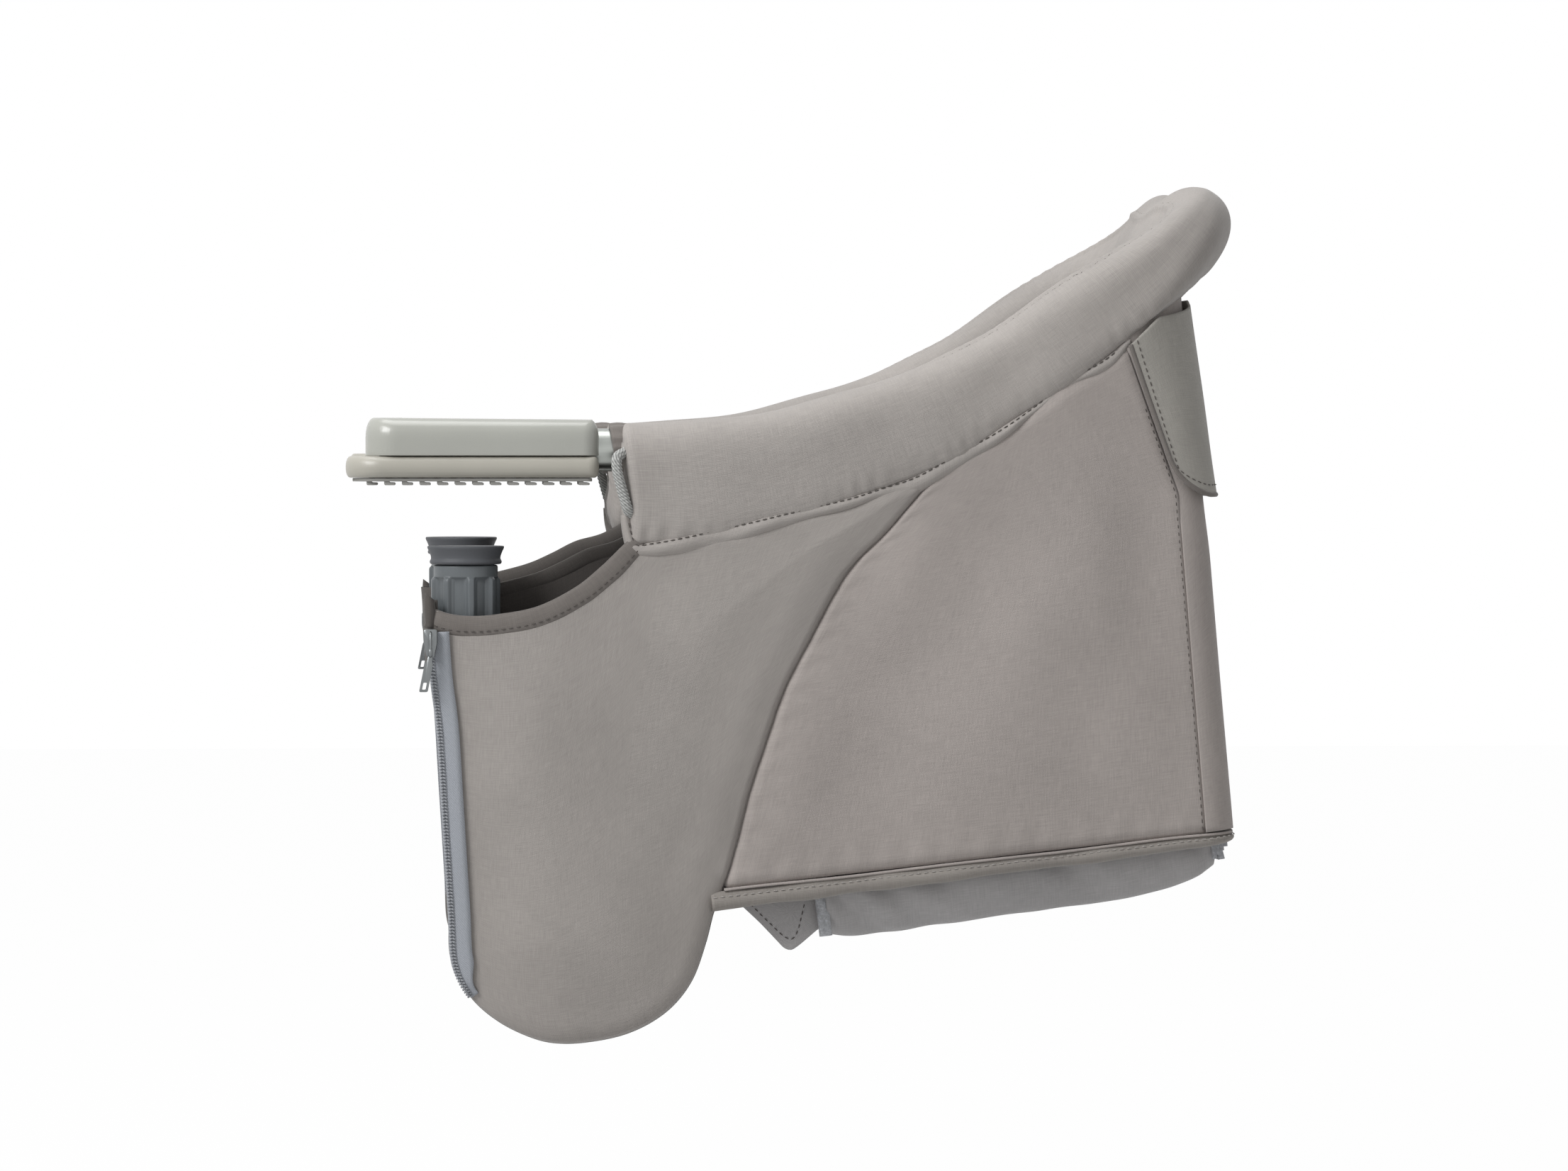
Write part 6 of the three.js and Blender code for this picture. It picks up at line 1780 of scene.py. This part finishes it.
    def metal(self, side: Side) -> None:
        """Zip slider with its bridge, and the pull with its eye, neck and slotted blade."""
        y, z = self.slider_at
        pin_x, pin_z = self.pin
        outline = resample(rounded(self.shield, 1.6, 6), 60)[:-1] + (y, z)
        body = Piece(f"slider_body_{side.tag}")
        body.add(self.plate(outline, self.slider_stack), Look.SLIDER, wrap="c", side=side)
        arch = spline([(x, y, z + up) for x, up in self.bridge], 40)
        body.add(tube(arch, 0.75, 12, hint=(0.0, 1.0, 0.0)), Look.SLIDER, wrap="c", side=side)
        body.build(f"slider_{side.tag}", "zip_metal", (f"zip_slider_{side.tag}",), split=45.0)
        top, low = pin_z - 3.2, pin_z - 24.0
        half = [(0.0, top), (1.5, top), (1.5, top - 3.0), (2.5, top - 4.4), (2.5, low)]
        blade = rounded([*half, *((-a, b) for a, b in half[::-1])], 0.9)
        slot = rounded([(0.0, 0.0), (1.0, 0.0), (1.0, -4.0), (-1.0, -4.0), (-1.0, 0.0), (0.0, 0.0)], 0.5)
        outline = resample(blade, 72)[:-1] + (y, 0.0)
        hole = resample(slot, 72)[:-1] + (y, pin_z - 18.6)
        for line in (outline, hole):
            line[:, 0] -= 0.2 * (top - line[:, 1])
        low, high = pin_x - 0.75, pin_x + 0.75
        rim = self.plate(outline, ((low, 0.96), (low + 0.3, 1.0), (high - 0.3, 1.0), (high, 0.96)))
        leaf = np.concatenate([hang(hole, low)[None], rim, hang(hole, high)[None]])
        pull = Piece(f"pull_{side.tag}").add(leaf, Look.SLIDER, wrap="rc", side=side)
        turn = np.linspace(0.0, TAU, 33)[:-1]
        eye = join(pin_x + 1.7 * np.sin(turn), y, pin_z - 1.2 + 2.4 * np.cos(turn))
        out = unit(eye - np.array([pin_x, y, pin_z - 1.2]))
        ring = eye[:, None] + 0.62 * rings(out, np.array([0.0, 1.6, 0.0]), 12)
        pull.add(ring, Look.SLIDER, wrap="rc", side=side)
        pull.build(f"pull_{side.tag}", "zip_metal", (f"zip_pull_{side.tag}",), split=45.0)

    def build(self) -> None:
        """Builds both pockets with their zips."""
        for side in Side:
            self.outer(side)
            self.inner(side)
            self.metal(side)


@dataclass
class Seat:
    """Seat base with its piping, board, pad, pouch, tabs and harness, drawn along the sloping base line."""

    origin: tuple = Cover.seat_front
    slope: float = math.atan(Cover.seat_slope)
    length: float = 299.3
    half: float = 186.0
    corner: float = 18.0
    hang_top: float = -3.1
    piping: tuple = (11.6, 6.6)
    piping_width: float = 11.0
    pad_half: float = 131.0
    pad_ends: tuple = (3.0, 268.0)
    pad_z: tuple = (5.4, 27.2)
    pad_voxel: float = 0.005
    pad_swell: float = 6.0
    pouch_half: float = 168.0
    pouch: tuple = (59.0, 288.0)
    pouch_depth: tuple = (36.6, 31.0)
    pouch_round: float = 26.0
    flap_half: float = 160.0
    flap: tuple = (
        (30.0, -3.2), (3.0, -3.4), (6.0, -8.0), (20.0, -25.0), (32.0, -41.0), (36.0, -42.6), (41.0, -40.0),
        (52.0, -33.2), (56.6, -31.0), (56.8, -20.0), (54.0, -6.0), (30.0, -3.2),
    )
    flap_middle: tuple = (38.0, -20.0)
    flap_seam: tuple = ((12.0, -9.0), (24.0, -24.0), (34.0, -35.0), (40.0, -33.0), (47.0, -15.0))
    strap_half: float = 12.5
    waist: tuple = ((117.0, 207.0), (80.0, 187.0), (48.0, 171.0), (34.0, 168.0), (18.0, 168.0))
    buckle_y: float = 168.0
    buckle: tuple = (22.0, 18.0, 12.0)
    button_r: float = 7.0
    button_well: float = 5.0
    crotch_y: float = 60.0
    pad_seams: tuple = (64.0, 92.0)
    pad_seam_width: float = 4.0
    pad_pressure: float = 4.0
    pad_frames: int = 20
    tape_half: float = 161.0
    tape_y: float = 57.6
    tape_z: tuple = (-33.0, -17.0)
    end_tab_x: float = 165.6
    pleats: int = 4
    pleat_at: tuple = (160.6, 286.4)
    pleat_step: float = 2.3
    gather: tuple = (159.0, 290.4)
    gather_drop: float = 15.0
    gather_pitch: float = 6.4

    def place(self, local: Array) -> Array:
        """Points of the seat's own frame in the part's frame: turned about X by the slope, then moved."""
        c, s = math.cos(self.slope), math.sin(self.slope)
        y = self.origin[0] + local[..., 1] * c - local[..., 2] * s
        z = self.origin[1] + local[..., 1] * s + local[..., 2] * c
        return join(local[..., 0], y, z)

    def base(self) -> None:
        """Base cloth: a flat sheet with round rear corners."""
        start = self.length - self.corner
        arc = self.corner * np.sin(np.linspace(0, QUARTER, 16))
        y = np.concatenate([np.linspace(0.0, start, 60), start + arc[1:]])
        over = np.maximum(0.0, y - start)
        half = self.half - self.corner - 1.0 + np.sqrt(np.maximum(self.corner**2 - over**2, 0.0))
        x, y = half[:, None] * np.linspace(-1.0, 1.0, 90), y[:, None]
        grid = self.place(join(x, y, -1.6 + 0.35 * ripple(x, y, 51, 5, 50, 140)))
        base = make("seat_base", grid, Look.SIDE, None, "seat", "side_cloth", "seat_cloth", thick=1.5)

    def piping_line(self, count: int) -> tuple[Array, Array]:
        """Line of the piping round the base, from the left front to the right, and its share of length."""
        inset = self.piping_width / 2.0 - 0.8
        x, rear, radius = self.half - inset, self.length - inset, self.corner - inset
        turn = np.linspace(0.0, QUARTER, 24)
        arc = join(x - radius + radius * np.cos(turn), rear - radius + radius * np.sin(turn))
        half = resample(np.vstack([[x, -8.0], arc, [0.0, rear]]), count)
        line = np.vstack([half, half[-2::-1] * FLIP[:2]])
        return line, line[:, 1] / self.length

    def roll(self) -> None:
        """Piping: an oval section carried round the base, with a seam near its top and slow wrinkles.

        The oval has half width w / 2 and half height h / 2, with h falling from front to rear. Points move
        out by ripples of 22 to 70 mm, and in by a bell at the seam.
        """
        line, share = self.piping_line(230)
        height = (self.piping[0] + (self.piping[1] - self.piping[0]) * share)[:, None]
        travel = headings(line)
        out = join(travel[:, 1], -travel[:, 0], 0.0)
        turn = angles(28)[None]
        run = length_along(line)[:, None]
        swell = 1.0 + 0.09 * ripple(run, 14.0 * np.cos(turn), 53, 7, 22, 70)
        swell -= 0.26 * bell(turn, math.radians(40.0), 0.2)
        reach = self.piping_width / 2.0 * np.cos(turn) * swell
        middle = self.hang_top + 1.4 - height / 2.0
        grid = join(line[:, 0], line[:, 1], 0.0)[:, None] + out[:, None] * reach[..., None]
        grid[..., 2] = middle + height / 2.0 * np.sin(turn) * swell + 0.5 * ripple(run, 0.0, 54, 5, 60, 160)
        # The piping takes the darker copy of the side cloth: painted shade.
        make("piping", self.place(capped(grid)), Look.ROLL, None, "seat", "side_cloth", "base_piping")
        flat = line + out[:, :2] * (self.piping_width * 0.47)
        spot = join(flat[:, 0], flat[:, 1], (middle + height * 0.2)[:, 0])
        rows = [stitches(self.place(spot), out + np.array([0.0, 0.0, 0.6]), 4.4, 3.0, 0.34)]
        sew("piping_stitches", rows, "seat", "side_cloth", Look.PALE_THREAD)

    def pad_top(self, x: Array, y: Array) -> Array:
        """Height of the pad: edge + crown sqrt(1 - |v|^6) sqrt(1 - |u|^6), its sides drawn in midway."""
        middle = sum(self.pad_ends) / 2.0
        v = np.clip((y - middle) / (self.pad_ends[1] - middle), -1.0, 1.0)
        u = np.clip(x / (self.pad_half - 3.0 * (1.0 - v**2)), -1.0, 1.0)
        crown = np.sqrt(1.0 - v**6) * np.sqrt(1.0 - u**6)
        return self.pad_z[0] + 2.0 + (self.pad_z[1] - self.pad_z[0] - 2.0) * crown

    def pad(self) -> None:
        """Seat pad: a slim crowned cushion, blown up by a cloth simulation, then pressed in at its seams."""
        floor = self.pad_z[0]
        steps = -np.cos(np.linspace(0.0, math.pi, 90))
        middle = sum(self.pad_ends) / 2.0
        v, u = np.meshgrid(steps, steps, indexing="ij")
        y = middle + v * (self.pad_ends[1] - middle - 2.5)
        x = u * (self.pad_half - 3.0 - 4.0 * (1.0 - v**2))
        top = self.pad_top(x * 1.02, middle + (y - middle) * 1.02)
        low = floor + 1.2 * (1.0 - np.sqrt((1.0 - u**6) * (1.0 - v**6)))
        raw = Piece("seat_cushion").add(join(x, y, floor + (top - floor) * 0.86), Look.SEAT)
        raw.add(join(x, y, low)[:, ::-1], Look.SEAT)
        pad = put("seat_cushion", raw.mesh())
        self.inflate(pad)
        mesh = pad.data
        points = read_points(mesh) / MM
        x, y = points[:, 0], points[:, 1]
        (across, along), width = self.pad_seams, self.pad_seam_width
        seams = np.maximum(bell(np.abs(x), across, width), bell(y, along, width) * (np.abs(x) < across))
        points[:, 2] = np.clip(points[:, 2], floor, self.pad_top(x, y))
        upper = ease(points[:, 2], floor + 4.0, floor + 10.0)
        points[:, 2] -= 3.4 * seams * upper
        points[:, 2] += 0.5 * upper * ripple(x, y, 57, 6, 40, 110) - 0.5 * upper
        write_points(mesh, self.place(points) * MM)
        loops = np.empty(len(mesh.loops), np.int32)
        mesh.loops.foreach_get("vertex_index", loops)
        layer = mesh.uv_layers.get("weave") or mesh.uv_layers.new(name="weave")
        layer.uv.foreach_set("vector", (points[:, :2] * MM)[loops].astype(np.float32).ravel())
        mesh.polygons.foreach_set("use_smooth", np.ones(len(mesh.polygons), bool))
        mesh.update()
        finer = pad.modifiers.new("finer", "SUBSURF")
        finer.levels = finer.render_levels = 1
        settle(pad, "seat", ("seat_pad",))

    def inflate(self, pad: bpy.types.Object) -> None:
        """Remeshes the pad and blows it up with cloth pressure, no point moving further than the swell."""
        scene = bpy.context.scene
        remesh = pad.modifiers.new("remesh", "REMESH")
        remesh.mode = "VOXEL"
        remesh.voxel_size = self.pad_voxel
        bpy.context.view_layer.objects.active = pad
        bpy.ops.object.modifier_apply(modifier=remesh.name)
        start = read_points(pad.data)
        cloth = pad.modifiers.new("cloth", "CLOTH")
        cloth.settings.use_pressure = True
        cloth.settings.uniform_pressure_force = self.pad_pressure
        cloth.settings.effector_weights.gravity = 0.0
        cloth.settings.quality = 5
        for number in range(1, self.pad_frames + 1):
            scene.frame_set(number)
        blown = pad.evaluated_get(bpy.context.evaluated_depsgraph_get())
        move = read_points(blown.to_mesh()) - start
        blown.to_mesh_clear()
        pad.modifiers.remove(cloth)
        scene.frame_set(1)
        far = np.linalg.norm(move, axis=1, keepdims=True)
        move *= np.minimum(1.0, self.pad_swell * MM / np.maximum(far, 1e-9))
        write_points(pad.data, start + move)

    def bag(self) -> None:
        """Pouch: a hanging shell with round lower corners, shorter and narrower at the rear, in soft folds.

        A station at share v has depth d(v) and half width h(v). Its section runs down the side, round a
        quarter of an ellipse and across the bottom. Folds are ripples along the normals, strongest on the
        sides.
        """
        share = np.concatenate([[0.0], np.linspace(0.0, 1.0, 130), [1.0]])
        y = (self.pouch[0] + (self.pouch[1] - self.pouch[0]) * share)[:, None]
        depth = self.pouch_depth[0] + (self.pouch_depth[1] - self.pouch_depth[0]) * share
        to_rear = np.maximum(0.0, (share - 0.72) / 0.28)
        to_front = np.maximum(0.0, 1.0 - share / 0.12)
        depth = depth * np.sqrt(1.0 - 0.6 * to_rear**2.4) * (1.0 - 0.1 * to_front**2)
        half = self.pouch_half - 9.0 * to_rear**2
        turn = np.linspace(0.0, QUARTER, 16)
        curve = self.pouch_round / self.pouch_half
        drop = np.concatenate([np.linspace(0.0, 0.3, 7)[:-1], 0.3 + 0.7 * np.sin(turn), np.ones(28)])
        flat = np.linspace(1.0 - curve, 0.0, 30)[1:-1]
        reach = np.concatenate([np.ones(6), 1.0 - curve * (1.0 - np.cos(turn)), flat])
        drop = np.concatenate([drop, [1.0], drop[::-1]])
        reach = np.concatenate([reach, [0.0], -reach[::-1]])
        x = half[:, None] * reach
        z = self.hang_top - depth[:, None] * drop
        grid = join(x, y, z)
        normal = grid_normals(grid, wrap_columns=False)
        normal *= np.sign(-normal[60, grid.shape[1] // 2, 2])
        side = 0.35 + 0.65 * ease(np.abs(x), 120.0, 160.0)
        slant = 1.9 * ripple(y + 0.9 * z, 0.25 * (y - z), 61, 7, 13, 40) + 0.4 * ripple(y, x, 62, 6, 60, 160)
        hold = (ease(drop, 0.0, 0.25) * (1.0 - 0.7 * ease(drop, 0.8, 1.0)))[None]
        hold = hold * ease(share, 0.0, 0.04)[:, None] * ease(1 - share, 0.0, 0.04)[:, None]
        grid = grid + normal * (side * slant * hold)[..., None]
        grid[[0, -1], :, 2] = self.hang_top
        make("pouch", self.place(grid), Look.POUCH, None, "seat", "flap_cloth", "bottom_pouch", thick=1.2)

    def front_flap(self) -> None:
        """Folded front flap of the pouch: a rounded wedge carried across, with pressed ends and seams."""
        outline = resample(rounded(self.flap, 2.0), 90)[:-1]
        middle = np.array(self.flap_middle)
        end = np.array([1.0, 1.0, 0.998, 0.99])
        x = np.concatenate([-end, np.linspace(-0.96, 0.96, 60), end[::-1]]) * self.flap_half
        end = np.array([0.0, 0.9, 0.97, 1.0])
        size = np.concatenate([end, np.ones(60), end[::-1]])[:, None, None]
        flat = middle + (outline - middle)[None] * size
        grid = hang(flat, x[:, None])
        wave = 0.8 * ripple(x[:, None], flat[..., 0], 65, 5, 40, 120)
        grid[..., 2] += wave * (grid[..., 2] < -8.0) * (size[..., 0] > 0.5)
        make("pouch_front", self.place(grid), Look.POUCH, None, "seat", "flap_cloth", "pouch_flap")
        seam = spline(self.flap_seam, 60)
        rows = [
            stitches(self.place(hang(seam, way * (self.flap_half + 0.2))), (way, 0.0, 0.0), 4.0, 2.8, 0.3)
            for way in (1.0, -1.0)
        ]
        sew("pouch_stitches", rows, "seat", "flap_cloth")

    def tabs(self) -> None:
        """Hook tape: a strip between flap and pouch with a tab at each end, and a gathered strip behind."""
        x = np.linspace(-1.0, 1.0, 200)[None] * self.tape_half
        strip = join(x, self.tape_y + 0.25 * np.sin(x / 3.0), np.linspace(*self.tape_z, 14)[:, None])
        tape = (Look.HOOK_TAPE, None, "seat", "trim_cloth")
        make("hook_strip", self.place(strip), *tape, "pouch_tab", thick=1.2)
        pleat_x, pleat_y = self.pleat_at
        for side in Side:
            lower = join(np.linspace(52.4, 52.8, 30), np.linspace(-13.5, -36.0, 30))
            grid = almond(lower + np.array([7.6, 0.0]), lower, self.end_tab_x, 1.5, back=0.9)
            make("end_tab", self.place(grid), Look.HOOK_TAPE, side, "seat", "trim_cloth")
            pleats = Piece(f"rear_tab_{side.tag}")
            for step in range(self.pleats):
                upper = join(pleat_y + self.pleat_step * step, np.linspace(-2.6, -17.6 + 2.2 * step, 20))
                grid = almond(upper + np.array([2.9, 0.0]), upper, pleat_x, 1.2, back=0.9)
                pleats.add(self.place(grid), Look.HOOK_TAPE, wrap="c", side=side)
            pleats.build("seat", "trim_cloth")
        half, y = self.gather
        x = np.linspace(-1.0, 1.0, 520)[None] * half
        share = np.linspace(0.0, 1.0, 16)[:, None]
        pleat = np.sin(x * TAU / self.gather_pitch + 1.2 * np.sin(x / 31.0)) * (1.1 + 0.9 * share)
        z = self.hang_top + 0.4 - self.gather_drop * share - 0.8 * np.sin(x / 11.0) * share
        grid = join(x, y + 1.4 * share + pleat, z)
        make("rear_strip", self.place(grid), *tape, "rear_tab", thick=0.9)

    def strap(self, name: str, node: str, line: Array) -> None:
        """Webbing: a flat band that lies on the pad along a line, its edges a little thicker.

        Args:
            name: Name of the piece.
            node: CAD node it replaces.
            line: Points of the seat's plan.
        """
        line = resample(np.asarray(line, float), 70)
        travel = headings(line)
        across = join(-travel[:, 1], travel[:, 0])
        turn = np.linspace(-1.0, 1.0, 19)
        flat = line[:, None] + across[:, None] * (turn * self.strap_half)[None, :, None]
        crest = self.pad_top(flat[..., 0], flat[..., 1]).max(axis=1)[:, None]
        half = (1.5 + 0.3 * np.abs(turn) ** 6) / 2
        edge = np.sqrt(1.0 - np.abs(turn) ** 14)
        over = crest + 0.4 + half
        upper, lower = (join(flat[..., 0], flat[..., 1], over + way * half * edge) for way in (1.0, -1.0))
        grid = capped(np.concatenate([upper, lower[:, -2:0:-1]], axis=1))
        run = length_along(line)
        uv = join(np.concatenate([turn, turn[-2:0:-1], turn[:1]])[None] * self.strap_half * MM,
                  np.concatenate([[0.0], run, run[-1:]])[:, None] * MM)
        piece = Piece(name).add(self.place(grid), Look.STRAP, wrap="c", uv=uv)
        piece.build("seat", "webbing", (node,), split=60.0)

    def harness(self) -> None:
        """Crotch strap, waist straps, buckle and its button."""
        half_x, half_y, thick = self.buckle
        rear = self.buckle_y - half_y + 5.0
        self.strap("crotch_band", "crotch_strap", np.array([(0.0, self.crotch_y), (0.0, rear)]))
        for side in Side:
            line = spline([(side.value * x, y) for x, y in self.waist], 80)
            self.strap(f"waist_band_{side.tag}", f"waist_strap_{side.tag}", line)
        low = self.pad_z[1] + 0.5
        turn = angles(120)
        circle = join(np.cos(turn), np.sin(turn))
        reach = (np.abs(circle) ** 4.0).sum(axis=1, keepdims=True) ** (-1.0 / 4.0)
        outline = np.array([half_x, half_y]) * reach * circle
        hole, r = self.button_r + 0.4, self.button_r
        rows = [(outline * share, z) for share, z in (
            (0.0, 0.0), (0.9, 0.0), (0.97, 0.6), (1.0, 2.0), (1.0, 5.4), (0.985, 5.8), (1.0, 6.2),
            (0.99, 9.0), (0.93, 11.0), (0.84, thick), (0.6, thick),
        )]
        rows += [(circle * radius, thick - sunk) for radius, sunk in (
            (hole + 0.8, 0.0), (hole, 0.6), (hole, self.button_well), (0.0, self.button_well),
        )]
        grid = np.stack([join(flat[:, 0], flat[:, 1] + self.buckle_y, low + z) for flat, z in rows])
        make("buckle_case", self.place(grid), Look.BUCKLE, None, "seat", "buckle_plastic", "buckle",
             split=50.0)
        dome = ((0.0, 10.4), (r, 10.4), (r, 12.9), (r - 0.3, 13.4), (r - 1.0, 13.7), (r - 1.6, 13.4),
                (3.0, 13.1), (0.0, 13.0))
        cap = lathe([(a, b + low) for a, b in dome], (0.0, self.buckle_y), 64)
        make("release_button", self.place(cap), Look.CUP, None, "button", "cup_rubber", "buckle_button")

    def build(self) -> None:
        """Builds everything that rises with the seat."""
        self.base()
        self.roll()
        dress("seat_board", Look.BOARD)
        self.pad()
        self.bag()
        self.front_flap()
        self.tabs()
        self.harness()


@dataclass
class Studio:
    """Pale floor, soft lamps, world and the camera at the photograph's angle."""

    aim: tuple = (186.0, 95.7, -58.0)
    azimuth: float = 87.0
    elevation: float = 1.3
    distance: float = 4200.0
    scale: float = 0.41
    image: tuple = (2212, 1652)
    sensor: float = 36.0
    floor_z: float = -0.43
    floor_half: float = 6.0
    floor_tone: float = 0.62
    floor_glow: float = 0.985
    world_light: float = 0.34
    lit: tuple = (0.1, 0.1, -0.06)
    lamps: tuple = (
        ("key", (1.5, -1.7, 1.5), 1.2, 48.0), ("fill", (2.2, 0.6, -0.1), 1.8, 3.0),
        ("top", (-0.2, -0.4, 2.2), 1.4, 24.0),
    )

    def camera(self) -> None:
        """Long lens that looks at the near side; its field is the image's width at the aim's distance."""
        az, el = math.radians(self.azimuth), math.radians(self.elevation)
        way = np.array([math.cos(el) * math.sin(az), -math.cos(el) * math.cos(az), math.sin(el)])
        data = bpy.data.cameras.new("camera")
        data.sensor_fit = "HORIZONTAL"
        data.sensor_width = self.sensor
        data.lens = self.sensor * self.distance / (self.scale * self.image[0])
        data.clip_end = 50.0
        camera = put("camera", data)
        camera.location = (np.array(self.aim) + way * self.distance) * MM
        camera.rotation_euler = Vector(tuple(-way)).to_track_quat("-Z", "Y").to_euler()
        bpy.context.scene.camera = camera

    def lamp(self, name: str, place: tuple, size: float, power: float) -> None:
        """Soft square lamp that faces the lit point.

        Args:
            name: Name of the lamp.
            place: Position in metres.
            size: Side of the square in metres.
            power: Power in watts.
        """
        data = bpy.data.lights.new(name, "AREA")
        data.shape = "SQUARE"
        data.size = size
        data.energy = power
        lamp = put(name, data)
        lamp.location = place
        lamp.rotation_euler = (Vector(self.lit) - Vector(place)).to_track_quat("-Z", "Y").to_euler()

    @staticmethod
    def seen(graph: Graph) -> Any:
        """1 for rays that show the background: from the camera, from gloss and through glass."""
        direct, gloss, through = (
            graph.node("LightPath", out=f"Is {kind} Ray") for kind in ("Camera", "Glossy", "Transmission")
        )
        return graph.math("MAXIMUM", graph.math("MAXIMUM", direct, gloss), through)

    def floor(self) -> None:
        """Pale floor: diffuse for the shadow, mixed with white light of its own for the rays that see it."""
        steps = np.linspace(-1.0, 1.0, 3) * self.floor_half
        x, y = np.meshgrid(steps, steps, indexing="ij")
        graph = Graph("floor")
        graph.tree.nodes.remove(graph.shader)
        matt = graph.node("BsdfDiffuse", Color=(self.floor_tone,) * 3 + (1.0,))
        glow = graph.node("Emission", Color=WHITE, Strength=1.0)
        share = graph.math("MULTIPLY", self.seen(graph), self.floor_glow)
        blend = graph.node("MixShader", i0=share, i1=matt, i2=glow)
        graph.tree.links.new(blend, graph.tree.nodes["Material Output"].inputs["Surface"])
        mesh = bpy.data.meshes.new("floor")
        points = join(x, y, self.floor_z).reshape(-1, 3)
        mesh.from_pydata(points.tolist(), [], [(0, 3, 4, 1), (1, 4, 5, 2), (3, 6, 7, 4), (4, 7, 8, 5)])
        mesh.materials.append(graph.material)
        put("floor", mesh)

    def world(self) -> None:
        """Even light from all round, white where the background is seen."""
        graph = Graph("studio", world=True)
        bpy.context.scene.world = graph.material
        graph.shader.inputs["Color"].default_value = WHITE
        strength = graph.span(self.seen(graph), self.world_light, 1.0)
        graph.tree.links.new(strength, graph.shader.inputs["Strength"])

    def build(self) -> None:
        """Sets up the view, the lamps and the floor."""
        self.camera()
        self.floor()
        self.world()
        for lamp in self.lamps:
            self.lamp(*lamp)
        bpy.context.scene.view_settings.view_transform = "Standard"
        log.info("studio: camera, floor, lamps and world")


def main() -> None:
    logging.basicConfig(level=logging.INFO, format="%(message)s")
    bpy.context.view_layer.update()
    for part in (Studio(), TableArms(), Clamp(), Rim(), Cover(), LegPocket(), Seat()):
        part.build()


if __name__ == "__main__":
    main()
